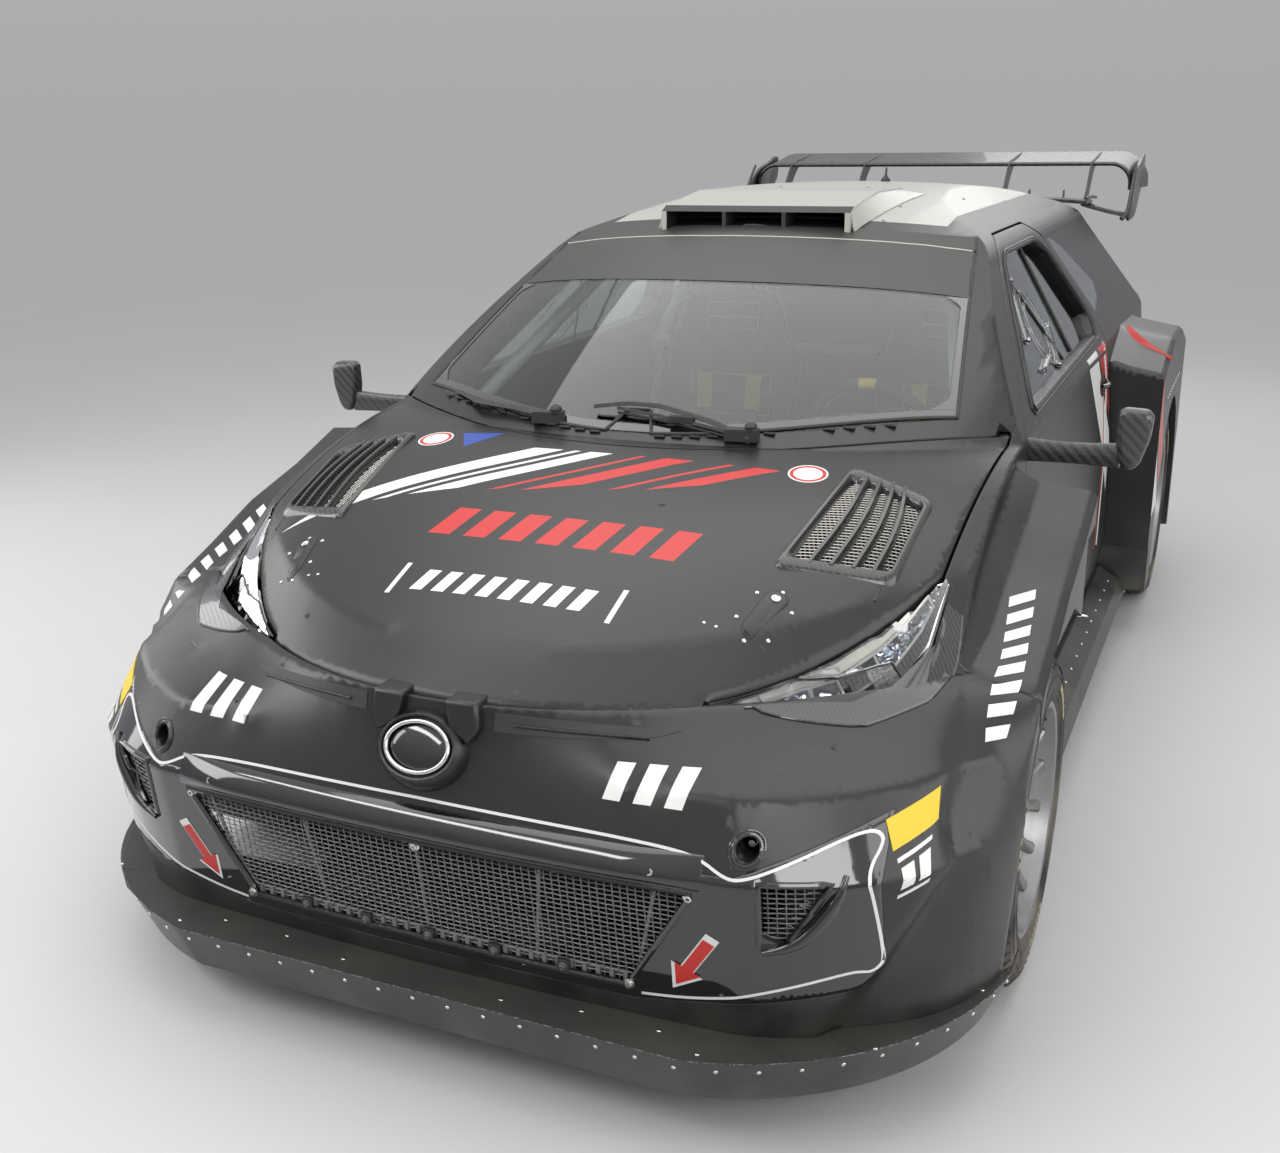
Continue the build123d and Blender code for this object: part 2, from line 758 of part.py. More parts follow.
# Rear wing on the tailgate
wing_top_z = 1469
deck_profile = [(1408, 1322), (1408, 1336), (1640, 1330), (1740, 1316), (1742, 1304), (1560, 1290)]
deck_profile.reverse()
deck = prism_x(deck_profile, -600, 600) - core_outer
plane_profile = [(1790, 1434), (1800, 1424), (1900, 1432), (2070, 1462), (2074, wing_top_z), (1900, 1448)]
wing_plane = prism_x(plane_profile, -640, 640)
endplate_profile = [
    (1640, 1240),
    (1860, 1246),
    (2074, 1380),
    (2080, wing_top_z),
    (1990, 1464),
    (1800, 1440),
    (1700, 1340),
]
endplate = prism_x(endplate_profile, 704, 716)
shoulder = extrude(
    Plane(origin=(0, 2074, 0), x_dir=(1, 0, 0), z_dir=(0, -1, 0))
    * outline([(630, 1424), (716, 1346), (716, 1372), (640, 1452)]),
    274,
)
stay_profile = [(1600, 1300), (1720, 1300), (1960, 1440), (1960, 1452), (1800, 1440)]
rear_wing = deck + wing_plane + pair(endplate) + pair(shoulder)
for stay_x in (264, 554):
    rear_wing = rear_wing + pair(prism_x(stay_profile, stay_x, stay_x + 8))
low_arm = prism_x([(1600, 1250), (1700, 1250), (1740, 1310), (1600, 1300)], 560, 712)
rear_wing = rear_wing + pair(low_arm)
rear_wing = rear_wing - core_outer
tongue_room = block(barrel_x[0] - 4, barrel_x[1] + 4, 1390, 1460, 1300, 1360)
rear_wing = rear_wing - pair(tongue_room)

# Mirrors
mirror_y = (-757, -717)
arm_y = (mirror_y[0] + 9, mirror_y[1] - 2)
arm_section = [(arm_y[0], 892), (arm_y[1], 895), (arm_y[1], 942), (arm_y[0], 946)]
mirror_arm = prism_x(arm_section, 745, 960)
blade_face = [(945, 890), (972, 890), (1020, 990), (1022, 1016), (1012, 1024), (958, 1024), (948, 1012)]
mirror_blade = prism_y(blade_face, *mirror_y)
mirror_left = (mirror_arm + mirror_blade) - core_outer

# Cabin
hoop_y = 640
hoop = [(680, hoop_y, 165), (655, hoop_y, 900), (488, hoop_y, 1235), (415, hoop_y, 1302)]
pillar = [(488, hoop_y, 1235), (470, -150, 1235), (612, -690, 930), (672, -790, 600), (672, -790, 165)]
back_stay = [(415, hoop_y, 1302), (430, 1500, 720), (430, 1560, 165)]
tube_radius = 19


def tube_run(points, radius):
    shape = ball(points[0], radius + 1.5)
    for start, end in zip(points, points[1:]):
        shape = shape + rod(start, end, radius) + ball(end, radius + 1.5)
    return shape


cage_side = tube_run(hoop, tube_radius) + tube_run(pillar, tube_radius) + tube_run(back_stay, tube_radius)
cage_side = cage_side + rod((672, -790, 420), (676, hoop_y, 420), tube_radius)
roll_cage = pair(cage_side)
for start in ((415, hoop_y, 1302), (470, -150, 1235), (655, hoop_y, 900)):
    roll_cage = roll_cage + rod(start, (-start[0], start[1], start[2]), tube_radius)
roll_cage = roll_cage - body_shell - floor_pan

seat_x = 345
seat_side = [
    (-80, 250),
    (340, 200),
    (450, 215),
    (540, 640),
    (585, 1050),
    (545, 1070),
    (440, 760),
    (300, 420),
    (-80, 400),
]
seat_inside = [
    (-120, 290),
    (330, 240),
    (412, 250),
    (503, 650),
    (543, 1100),
    (300, 1110),
    (200, 500),
    (-120, 500),
]
seat_half = 238
cheek_wall = 26
pan_half = seat_half - cheek_wall - seam_gap
pan_end_y = 405
foot_half = 180
foot_end_y = 380


# Parts of the left seat, each its own solid: pan, back, two cheeks and the foot
def seat_solids():
    seat_body = prism_x(seat_side, seat_x - pan_half, seat_x + pan_half)
    seat_body = seat_body - prism_x(seat_inside, seat_x - seat_half, seat_x + seat_half)
    pan_zone = block(0, 990, -990, pan_end_y, floor_top, high_z)
    back_zone = block(0, 990, pan_end_y + seam_gap, 990, floor_top, high_z)
    inner_cheek = prism_x(seat_side, seat_x - seat_half, seat_x - seat_half + cheek_wall)
    outer_cheek = prism_x(seat_side, seat_x + seat_half - cheek_wall, seat_x + seat_half)
    foot = block(seat_x - foot_half, seat_x + foot_half, 0, foot_end_y, floor_top, 300)
    foot = foot - prism_x(grow(seat_side, seam_gap), seat_x - seat_half, seat_x + seat_half)
    return [seat_body & pan_zone, seat_body & back_zone, inner_cheek, outer_cheek, foot]


seats = both(Compound([solid for piece in seat_solids() for solid in piece.solids()]))

dash_section = [(-800, 640), (-610, 660), (-560, 760), (-600, 850), (-760, 890), (-860, 860)]
dashboard = prism_x(dash_section, -600, 600) + block(-60, 60, bulkhead_y + sheet_wall - 4, -780, 700, 780)
column_start = (seat_x, -760, 720)
column_end = (seat_x, -470, 830)
column_axis = (Vector(*column_end) - Vector(*column_start)).normalized()
column = rod(column_start, column_end, 26)
shaft_start = Vector(*column_end) - column_axis * 90
shaft_bore = rod(shaft_start, Vector(*column_end) + column_axis * 10, 11 + running_fit)
dashboard = (dashboard + column) - shaft_bore - body_shell
wheel_centre = Vector(*column_end) + column_axis * 45
wheel_plane = Plane(origin=wheel_centre, z_dir=column_axis, x_dir=(1, 0, 0))
steering_rim = wheel_plane * Torus(steering_wheel_radius, 15)
spokes = wheel_plane * (Box(2 * steering_wheel_radius, 34, 10) + Pos(0, -70, 0) * Box(34, 150, 10))
steering_hub = rod(Vector(*column_end) + column_axis * moving_gap, wheel_centre + column_axis * 10, 34)
steering_shaft = rod(shaft_start + column_axis * 2, wheel_centre, 11)
steering_wheel = steering_rim + spokes + steering_hub + steering_shaft

# Power train and cooling
engine_x = 300
engine_block = block(-engine_x, engine_x, -1640, -1240, 250, 690)
engine_mount = block(engine_x, 400, -1500, -1440, 390, 440)
engine_block = engine_block + pair(engine_mount)
radiator = block(-400, 400, -1800, -1762, 220, 600)

# Front suspension, driveshafts and steering
arm_plan = [
    (330, front_axle_y - 160),
    (470, front_axle_y - 160),
    (600, front_axle_y - 100),
    (690, front_axle_y - 26),
    (ball_joint[0], front_axle_y - 26),
    (ball_joint[0], front_axle_y + 26),
    (690, front_axle_y + 26),
    (600, front_axle_y + 100),
    (470, front_axle_y + 160),
    (330, front_axle_y + 160),
]
arm_z = (ball_joint[1] - 14, ball_joint[1] + 10)
lower_arm = prism_z(arm_plan, *arm_z) + rod(
    (ball_joint[0], front_axle_y, arm_z[0]), (ball_joint[0], front_axle_y, arm_z[1]), 26
)
lower_arm = lower_arm - rod(
    kingpin_foot - kingpin * 60, kingpin_foot + kingpin * 60, kingpin_pin_radius + running_fit
)
subframe = block(-340, 340, front_axle_y - 170, front_axle_y + 90, arm_z[0], arm_z[1] + 8)
cv_centre = kingpin_foot + kingpin * ((axle_z - ball_joint[1]) / kingpin.Z)
drive_left = rod((engine_x, front_axle_y, axle_z), tuple(cv_centre), 14) + ball(tuple(cv_centre), 42)
front_axle = subframe + pair(lower_arm)

hub_face_x = 835
housing_x = (664, 800)
housing_radius = 60
disc_x = (762, 762 + disc_thickness)
cv_room = 49
knuckle = rod((housing_x[0], front_axle_y, axle_z), (housing_x[1], front_axle_y, axle_z), housing_radius)
knuckle = knuckle + block(712, 754, front_axle_y - 24, front_axle_y + 24, arm_z[1] + moving_gap, axle_z)
knuckle = knuckle + rod(kingpin_foot - kingpin * 16, kingpin_foot + kingpin * 60, kingpin_pin_radius)
strut_low = (650, front_axle_y, 400)
knuckle = knuckle + block(640, 680, front_axle_y - 30, front_axle_y + 30, 330, 450)
strut_lower_end = Vector(*strut_low)
strut_upper_end = Vector(strut_top[0] + 3, front_axle_y, strut_top[1] - 22)
knuckle = knuckle + rod(strut_lower_end, strut_upper_end, 24)
spring_seat_z = 662
spring_axis = (strut_upper_end - strut_lower_end).normalized()
spring_start = strut_lower_end + spring_axis * (spring_seat_z - strut_low[2])
knuckle = knuckle + rod(spring_start, strut_upper_end - spring_axis * 6, 46)
knuckle = knuckle + rod(kingpin_top - kingpin * 40, kingpin_top + kingpin * 12, kingpin_pin_radius)
arm_eye_y = front_axle_y + steering_arm
steer_arm_z = (rack_z + 27, rack_z + 41)
knuckle = knuckle + block(680, 708, front_axle_y + 40, arm_eye_y + 14, *steer_arm_z)
cv_low = (cv_centre.X, cv_centre.Y, cv_centre.Z - cv_room)
cv_high = (cv_centre.X, cv_centre.Y, cv_centre.Z + cv_room)
knuckle = knuckle - rod(cv_low, cv_high, cv_room)
cv_half = cv_room - 5
knuckle = knuckle - block(
    560, cv_centre.X, front_axle_y - cv_half, front_axle_y + cv_half, axle_z - 34, axle_z + 34
)


# A rod along a wheel's axis between two places
def axle_rod(x_low, x_high, axle_y, radius):
    return rod((x_low, axle_y, axle_z), (x_high, axle_y, axle_z), radius)


hub_bore_radius = hub_shaft_radius + running_fit
knuckle = knuckle - axle_rod(740, housing_x[1] + 5, front_axle_y, hub_bore_radius)
caliper = axle_rod(750, 800, front_axle_y, 205) - axle_rod(740, 810, front_axle_y, 118)
caliper_room = axle_rod(disc_x[0] - moving_gap, disc_x[1] + moving_gap, front_axle_y, disc_radius + 6)
caliper_zone = block(700, 820, front_axle_y - 260, front_axle_y - 70, axle_z - 75, axle_z + 90)
caliper = (caliper - caliper_room) & caliper_zone
caliper_arm = block(748, 756, front_axle_y - 150, front_axle_y - 40, axle_z - 30, axle_z + 30)
knuckle_left = knuckle + caliper + caliper_arm

rack_bar = rod((-640, rack_y, rack_z), (640, rack_y, rack_z), 9)
tie_eye = rod((694, rack_y, rack_z - 10), (694, rack_y, rack_z + 11), 14)
tie_rod = rod((600, rack_y, rack_z), (694, rack_y, rack_z), 9) + tie_eye
steering_rack = rack_bar + pair(tie_rod)
rack_housing = rod((-300, rack_y, rack_z), (300, rack_y, rack_z), 24) - rod(
    (-310, rack_y, rack_z), (310, rack_y, rack_z), 9 + running_fit
)
rack_feet = pair(block(180, 220, rack_y - 20, rack_y + 20, arm_z[1] + 8, rack_z - 12))
rack_feet = rack_feet - rod((-310, rack_y, rack_z), (310, rack_y, rack_z), 20)
front_axle_solids = Compound(
    [*(front_axle + rack_housing + rack_feet).solids(), *pair(drive_left).solids()]
)

# Rear suspension
rear_block = block(-330, 330, rear_axle_y - 150, rear_axle_y + 150, 170, 400)
rear_arm = block(330, 690, rear_axle_y - 60, rear_axle_y - 20, 170, 200)
rear_arm = rear_arm + block(330, 690, rear_axle_y + 20, rear_axle_y + 60, 170, 200)
rear_carrier = axle_rod(*housing_x, rear_axle_y, housing_radius)
rear_carrier = rear_carrier + block(664, 700, rear_axle_y - 60, rear_axle_y + 60, 170, axle_z)
rear_carrier = rear_carrier - axle_rod(740, 810, rear_axle_y, hub_bore_radius)
rear_shaft = axle_rod(330, housing_x[0], rear_axle_y, 16)
rear_strut = rod((655, rear_axle_y, 400), (640, rear_axle_y, arch_radius + axle_z - 2), 24) + block(
    640, 676, rear_axle_y - 26, rear_axle_y + 26, 340, 440
)
rear_axle = rear_block + pair(rear_arm + rear_carrier + rear_shaft + rear_strut)
rear_axle_holes = rod((580, rear_axle_y, axle_z), (612, rear_axle_y, axle_z), 40) + block(
    580, 612, rear_axle_y - 80, rear_axle_y + 80, 150, 210
)
body_shell = body_shell - pair(rear_axle_holes) - pair(rear_arm)

# Wheels: rim, hub, shaft and brake disc as one piece, and the tyre
spoke_count = 15


def wheel_at(side_y):
    barrel = axle_rod(tyre_inner_x + 6, tyre_outer_x - 6, side_y, rim_radius)
    barrel = barrel - axle_rod(tyre_inner_x, tyre_outer_x, side_y, rim_radius - rim_wall)
    hub = axle_rod(hub_face_x, hub_face_x + 34, side_y, 62)
    shaft = axle_rod(disc_x[0] - 2, hub_face_x + 10, side_y, hub_shaft_radius)
    hat = axle_rod(disc_x[0], hub_face_x, side_y, 86)
    hat = hat - axle_rod(disc_x[0] - 5, hub_face_x - 12, side_y, 74)
    disc = axle_rod(*disc_x, side_y, disc_radius)
    disc = disc - axle_rod(disc_x[0] - 5, disc_x[1] + 5, side_y, 80)
    shape = barrel + hub + shaft + hat + disc
    spoke = block(hub_face_x + 4, hub_face_x + 30, -7, 7, 40, rim_radius - rim_wall + 3)
    for index in range(spoke_count):
        turn = Pos(0, side_y, axle_z) * Rot(360 / spoke_count * index, 0, 0)
        shape = shape + turn * spoke
    return shape


tyre_half = [
    (tyre_inner_x + 8, rim_radius + seat_gap),
    (tyre_outer_x - 8, rim_radius + seat_gap),
    (tyre_outer_x, 262),
    (tyre_outer_x - 3, 292, 1),
    (tyre_outer_x - 22, 316),
    (wheel_x, tyre_radius, 1),
    (tyre_inner_x + 22, 316),
    (tyre_inner_x + 3, 292, 1),
    (tyre_inner_x, 262),
]


def tyre_at(side_y):
    face = Plane.XY * outline(tyre_half)
    tyre = revolve(face, Axis.X)
    return Pos(0, side_y, axle_z) * tyre


# Door hinges: a barrel on the door between two on the front wing, on one pin
for hinge_z in door_hinge_heights:
    low = hinge_z - door_hinge_height / 2
    high = hinge_z + door_hinge_height / 2
    reach = door_hinge_height
    barrel = rod((*door_hinge, low), (*door_hinge, high), hinge_barrel)
    plate_x = (door_hinge[0] - 7, door_hinge[0] + 4)
    barrel = barrel + block(*plate_x, door_hinge[1], door_front_y + 12, low, high)
    pin_room = rod((*door_hinge, low - 5), (*door_hinge, high + 5), hinge_pin + running_fit)
    notch_z = (low - reach - 4, high + reach + 4)
    notch = block(door_hinge[0] - 12, door_hinge[0] + 20, door_front_y - 1, door_hinge[1] + 11, *notch_z)
    notch = notch - block(0, 990, -990, 990, low, high)
    door_left = (door_left - notch) + (barrel - pin_room)
    front_room = rod((*door_hinge, low - 2), (*door_hinge, high + 2), hinge_barrel + 5)
    wing_left = wing_left - front_room
    for start in (low - reach, high + 2):
        lug = rod((*door_hinge, start), (*door_hinge, start + reach - 2), hinge_barrel)
        lug = lug + block(*plate_x, wing_rear_y - 16, door_hinge[1], start, start + reach - 2)
        wing_left = wing_left + lug
    wing_left = wing_left + rod((*door_hinge, low - reach + 2), (*door_hinge, high + reach - 2), hinge_pin)
front_wings = both(wing_left)

# Sub-parts
left_right = {
    "door": door_left,
    "door_glass": door_glass_left,
    "mirror": mirror_left,
    "front_knuckle": knuckle_left,
    "front_wheel": wheel_at(front_axle_y),
    "front_tyre": tyre_at(front_axle_y),
    "rear_wheel": wheel_at(rear_axle_y),
    "rear_tyre": tyre_at(rear_axle_y),
}
single = {
    "body_shell": body_shell,
    "floor_pan": floor_pan,
    "roof_panel": roof_panel,
    "roof_scoop": roof_scoop,
    "front_bumper": front_bumper,
    "front_insert": front_insert,
    "grille": grille,
    "front_splitter": front_splitter,
    "headlamps": headlamps,
    "front_wings": front_wings,
    "windscreen": windscreen,
    "quarter_glass": both(quarter_glass),
    "rear_quarters": rear_quarters,
    "rear_bumper": rear_bumper,
    "tail_lamps": tail_lamps,
    "side_skirts": side_skirts,
    "undertray": undertray,
    "bonnet": bonnet,
    "bonnet_vents": bonnet_vents,
    "tailgate": tailgate_skin,
    "rear_glass": rear_glass,
    "rear_wing": rear_wing,
    "roll_cage": roll_cage,
    "seats": seats,
    "dashboard": dashboard,
    "steering_wheel": steering_wheel,
    "steering_rack": steering_rack,
    "engine_block": engine_block,
    "radiator": radiator,
    "front_axle": front_axle_solids,
    "rear_axle": rear_axle,
}
for name, shape in single.items():
    export_step(shape, f"parts/{name}.step")
for name, shape in left_right.items():
    export_step(shape, f"parts/{name}_left.step")
    export_step(flip(shape), f"parts/{name}_right.step")
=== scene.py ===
import bpy
import bmesh
import json
import math
import random
from mathutils import Matrix, Vector
from mathutils.bvhtree import BVHTree

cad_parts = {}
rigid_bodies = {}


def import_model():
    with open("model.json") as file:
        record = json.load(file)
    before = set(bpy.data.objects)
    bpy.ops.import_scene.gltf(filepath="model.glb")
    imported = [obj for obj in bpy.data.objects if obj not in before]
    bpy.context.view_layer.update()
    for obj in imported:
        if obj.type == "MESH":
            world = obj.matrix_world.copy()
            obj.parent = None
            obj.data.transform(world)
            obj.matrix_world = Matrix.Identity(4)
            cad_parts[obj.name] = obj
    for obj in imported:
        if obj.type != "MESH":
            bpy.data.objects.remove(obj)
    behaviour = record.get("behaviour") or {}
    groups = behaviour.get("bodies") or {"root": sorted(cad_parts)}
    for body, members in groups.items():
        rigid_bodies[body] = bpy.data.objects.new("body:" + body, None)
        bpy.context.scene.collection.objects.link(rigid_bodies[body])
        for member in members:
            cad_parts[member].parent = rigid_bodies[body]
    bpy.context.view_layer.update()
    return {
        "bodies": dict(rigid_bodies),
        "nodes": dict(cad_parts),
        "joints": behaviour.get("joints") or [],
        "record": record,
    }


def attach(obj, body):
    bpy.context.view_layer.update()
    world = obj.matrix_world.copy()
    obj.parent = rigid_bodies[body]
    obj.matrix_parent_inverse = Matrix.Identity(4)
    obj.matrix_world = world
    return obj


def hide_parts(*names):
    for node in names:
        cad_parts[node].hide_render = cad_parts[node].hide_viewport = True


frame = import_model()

nodes = frame["nodes"]
print("frame loaded:", len(nodes), "nodes")


# camera, from the photograph's view
cameraView = {
    "place": (1.2311, -3.9893, 1.6223),
    "yaw": 0.446,        # turned left of straight ahead
    "pitch": 0.301,      # downwards
    "roll": -0.019,
    "lens": 41.49,
    "sensor": 36.0,
    "shift": 0.0504,
}


def placed(name, data):
    made = bpy.data.objects.new(name, data)
    bpy.context.scene.collection.objects.link(made)
    return made


def placeCamera(view):
    yaw, pitch, roll = view["yaw"], view["pitch"], view["roll"]
    ahead = Vector((-math.sin(yaw) * math.cos(pitch), math.cos(yaw) * math.cos(pitch), -math.sin(pitch)))
    level = Vector((math.cos(yaw), math.sin(yaw), 0))
    up = level.cross(ahead)
    side = level * math.cos(roll) + up * math.sin(roll)
    top = up * math.cos(roll) - level * math.sin(roll)
    data = bpy.data.cameras.new("photoCamera")
    data.lens = view["lens"]
    data.sensor_width = view["sensor"]
    data.shift_x = view["shift"]
    camera = placed("photoCamera", data)
    camera.matrix_world = Matrix.Translation(view["place"]) @ Matrix((side, top,
                                                                      -ahead)).transposed().to_4x4()
    bpy.context.scene.camera = camera


placeCamera(cameraView)
bpy.context.scene.view_settings.view_transform = "Standard"
print("camera placed")


# node helpers
def addNode(tree, kind, inputs=None, **settings):
    made = tree.nodes.new(kind)
    for key, value in settings.items():
        setattr(made, key, value)
    for key, value in (inputs or {}).items():
        if isinstance(value, bpy.types.NodeSocket):
            tree.links.new(value, made.inputs[key])
        else:
            made.inputs[key].default_value = value
    return made


def mathNode(tree, operation, a, b=0.0, clamp=False):
    made = addNode(tree, "ShaderNodeMath", {0: a, 1: b}, operation=operation)
    made.use_clamp = clamp
    return made.outputs[0]


def rangeNode(tree, value, low, high, toLow=0.0, toHigh=1.0, smooth=False):
    kind = "SMOOTHSTEP" if smooth else "LINEAR"
    made = addNode(tree, "ShaderNodeMapRange", {0: value, 1: low, 2: high, 3: toLow, 4: toHigh},
                   interpolation_type=kind)
    return made.outputs[0]


def blendColour(tree, share, first, second):
    made = addNode(tree, "ShaderNodeMix", data_type="RGBA")
    for key, value in ((0, share), (6, first), (7, second)):
        if isinstance(value, bpy.types.NodeSocket):
            tree.links.new(value, made.inputs[key])
        else:
            made.inputs[key].default_value = value if key == 0 else rgba(value)
    return made.outputs[2]


def rgba(colour):
    return (*colour[:3], 1.0)


def newGroup(name, takes, gives):
    group = bpy.data.node_groups.new(name, "ShaderNodeTree")
    for label, kind, value in takes:
        socket = group.interface.new_socket(label, in_out="INPUT", socket_type=kind)
        if value is not None:
            socket.default_value = value
    for label, kind in gives:
        group.interface.new_socket(label, in_out="OUTPUT", socket_type=kind)
    return group, group.nodes.new("NodeGroupInput").outputs, group.nodes.new("NodeGroupOutput").inputs


floatSocket, vectorSocket = "NodeSocketFloat", "NodeSocketVector"


# Fine mottling of a finish: cloudy value and a small height
def makeSurfaceGrain():
    group, given, out = newGroup(
        "surfaceGrain",
        [("Place", vectorSocket, None), ("Scale", floatSocket, 40.0), ("Fine", floatSocket, 900.0)],
        [("Value", floatSocket), ("Height", floatSocket)],
    )
    cloud = addNode(group, "ShaderNodeTexNoise",
                    {"Vector": given["Place"], "Scale": given["Scale"], "Detail": 4.0})
    speck = addNode(group, "ShaderNodeTexNoise",
                    {"Vector": given["Place"], "Scale": given["Fine"], "Detail": 2.0})
    value = mathNode(group, "MULTIPLY", cloud.outputs[0], 0.7)
    group.links.new(mathNode(group, "ADD", value, mathNode(group, "MULTIPLY", speck.outputs[0], 0.3)),
                    out["Value"])
    group.links.new(speck.outputs[0], out["Height"])
    return group


# Rounded edges for the light, and a mask of where edges rub bare
def makeEdgeWear():
    group, given, out = newGroup(
        "edgeWear",
        [("Place", vectorSocket, None), ("Width", floatSocket, 0.002), ("Amount", floatSocket, 0.5)],
        [("Mask", floatSocket), ("Normal", vectorSocket)],
    )
    rounded = addNode(group, "ShaderNodeBevel", {"Radius": given["Width"]}, samples=3)
    shape = addNode(group, "ShaderNodeNewGeometry")
    alike = addNode(
        group, "ShaderNodeVectorMath", {0: rounded.outputs[0], 1: shape.outputs["Normal"]},
        operation="DOT_PRODUCT"
    )
    edge = rangeNode(group, alike.outputs["Value"], 0.985, 0.86)
    chips = addNode(group, "ShaderNodeTexNoise", {"Vector": given["Place"], "Scale": 160.0, "Detail": 5.0})
    broken = mathNode(group, "MULTIPLY", edge, rangeNode(group, chips.outputs[0], 0.45, 0.62))
    group.links.new(mathNode(group, "MULTIPLY", broken, given["Amount"], clamp=True), out["Mask"])
    group.links.new(rounded.outputs[0], out["Normal"])
    return group


# Dust that gathers low on the car, in patches
def makeRoadDust():
    group, given, out = newGroup(
        "roadDust",
        [("Place", vectorSocket, None), ("Top", floatSocket, 0.5), ("Amount", floatSocket, 0.3)],
        [("Mask", floatSocket)],
    )
    part = addNode(group, "ShaderNodeSeparateXYZ", {0: given["Place"]})
    low = rangeNode(group, part.outputs["Z"], given["Top"], 0.05, smooth=True)
    cloud = addNode(group, "ShaderNodeTexNoise", {"Vector": given["Place"], "Scale": 9.0, "Detail": 6.0})
    patchy = rangeNode(group, cloud.outputs[0], 0.35, 0.7)
    mask = mathNode(group, "MULTIPLY", mathNode(group, "MULTIPLY", low, patchy), given["Amount"], clamp=True)
    group.links.new(mask, out["Mask"])
    return group


# Two-by-two twill of flat tows, laid on whichever plane the surface faces
def makeTwillWeave():
    group, given, out = newGroup(
        "twillWeave",
        [("Place", vectorSocket, None), ("Facing", vectorSocket, None), ("Tow", floatSocket, 0.003)],
        [("Mask", floatSocket), ("Height", floatSocket)],
    )
    part = addNode(group, "ShaderNodeSeparateXYZ", {0: given["Place"]}).outputs
    face = addNode(group, "ShaderNodeSeparateXYZ", {0: given["Facing"]}).outputs
    sideways = mathNode(group, "GREATER_THAN", mathNode(group, "ABSOLUTE", face["X"]), 0.62)
    upward = mathNode(group, "GREATER_THAN", mathNode(group, "ABSOLUTE", face["Z"]), 0.62)
    across = addNode(group, "ShaderNodeMix", {0: sideways, 2: part["X"], 3: part["Y"]},
                     data_type="FLOAT").outputs[0]
    along = addNode(group, "ShaderNodeMix", {0: upward, 2: part["Z"], 3: part["Y"]},
                    data_type="FLOAT").outputs[0]
    u = mathNode(group, "DIVIDE", across, given["Tow"])
    v = mathNode(group, "DIVIDE", along, given["Tow"])
    step = mathNode(group, "ADD", mathNode(group, "FLOOR", u), mathNode(group, "FLOOR", v))
    turn = mathNode(group, "FLOORED_MODULO", step, 4.0)
    over = mathNode(group, "LESS_THAN", turn, 1.5)
    roundU = mathNode(group, "ABSOLUTE", mathNode(group, "SUBTRACT", mathNode(group, "FRACT", u), 0.5))
    roundV = mathNode(group, "ABSOLUTE", mathNode(group, "SUBTRACT", mathNode(group, "FRACT", v), 0.5))
    height = addNode(group, "ShaderNodeMix", {0: over, 2: roundV, 3: roundU}, data_type="FLOAT").outputs[0]
    group.links.new(over, out["Mask"])
    group.links.new(mathNode(group, "SUBTRACT", 0.5, height), out["Height"])
    return group


# Plain cloth weave for belts and seat covers
def makeClothWeave():
    group, given, out = newGroup(
        "clothWeave",
        [("Place", vectorSocket, None), ("Thread", floatSocket, 0.0016)],
        [("Value", floatSocket), ("Height", floatSocket)],
    )
    spaced = addNode(group, "ShaderNodeVectorMath", {0: given["Place"], 1: (1, 1, 1)}, operation="SCALE")
    group.links.new(mathNode(group, "DIVIDE", 3.1416, given["Thread"]), spaced.inputs["Scale"])
    part = addNode(group, "ShaderNodeSeparateXYZ", {0: spaced.outputs[0]}).outputs
    ridge = mathNode(group, "MULTIPLY", mathNode(group, "SINE", part["X"]),
                     mathNode(group, "SINE", part["Z"]))
    rough = addNode(group, "ShaderNodeTexNoise", {"Vector": given["Place"], "Scale": 320.0, "Detail": 3.0})
    mixed = mathNode(group, "ADD", mathNode(group, "MULTIPLY", ridge, 0.25), rough.outputs[0])
    group.links.new(mixed, out["Value"])
    group.links.new(mathNode(group, "ABSOLUTE", ridge), out["Height"])
    return group


# Four straight edges, each (a, b, c) with a*u + b*v + c above nought inside
def makeStripeShape():
    takes = [("Flat", vectorSocket, None)] + [(f"Edge{n}", vectorSocket, (0, 0, 1)) for n in range(1, 5)]
    group, given, out = newGroup("stripeShape", takes, [("Mask", floatSocket)])
    least = None
    for n in range(1, 5):
        side = addNode(
            group, "ShaderNodeVectorMath", {0: given["Flat"], 1: given[f"Edge{n}"]}, operation="DOT_PRODUCT"
        ).outputs["Value"]
        least = side if least is None else mathNode(group, "MINIMUM", least, side)
    group.links.new(mathNode(group, "GREATER_THAN", least, 0.0), out["Mask"])
    return group


# A ring or disc on a flat plane
def makeRoundShape():
    group, given, out = newGroup(
        "roundShape",
        [("Flat", vectorSocket, None), ("Middle", vectorSocket, None), ("Inner", floatSocket, 0.0),
         ("Outer", floatSocket, 0.04)],
        [("Mask", floatSocket)],
    )
    apart = addNode(
        group, "ShaderNodeVectorMath", {0: given["Flat"], 1: given["Middle"]}, operation="DISTANCE"
    ).outputs["Value"]
    within = mathNode(group, "LESS_THAN", apart, given["Outer"])
    beyond = mathNode(group, "GREATER_THAN", apart, given["Inner"])
    group.links.new(mathNode(group, "MULTIPLY", within, beyond), out["Mask"])
    return group


surfaceGrain = makeSurfaceGrain()
edgeWear = makeEdgeWear()
roadDust = makeRoadDust()
twillWeave = makeTwillWeave()
clothWeave = makeClothWeave()
stripeShape = makeStripeShape()
roundShape = makeRoundShape()


def useGroup(tree, group, inputs):
    made = tree.nodes.new("ShaderNodeGroup")
    made.node_tree = group
    for key, value in inputs.items():
        if isinstance(value, bpy.types.NodeSocket):
            tree.links.new(value, made.inputs[key])
        else:
            made.inputs[key].default_value = value
    return made.outputs


finishes = {}


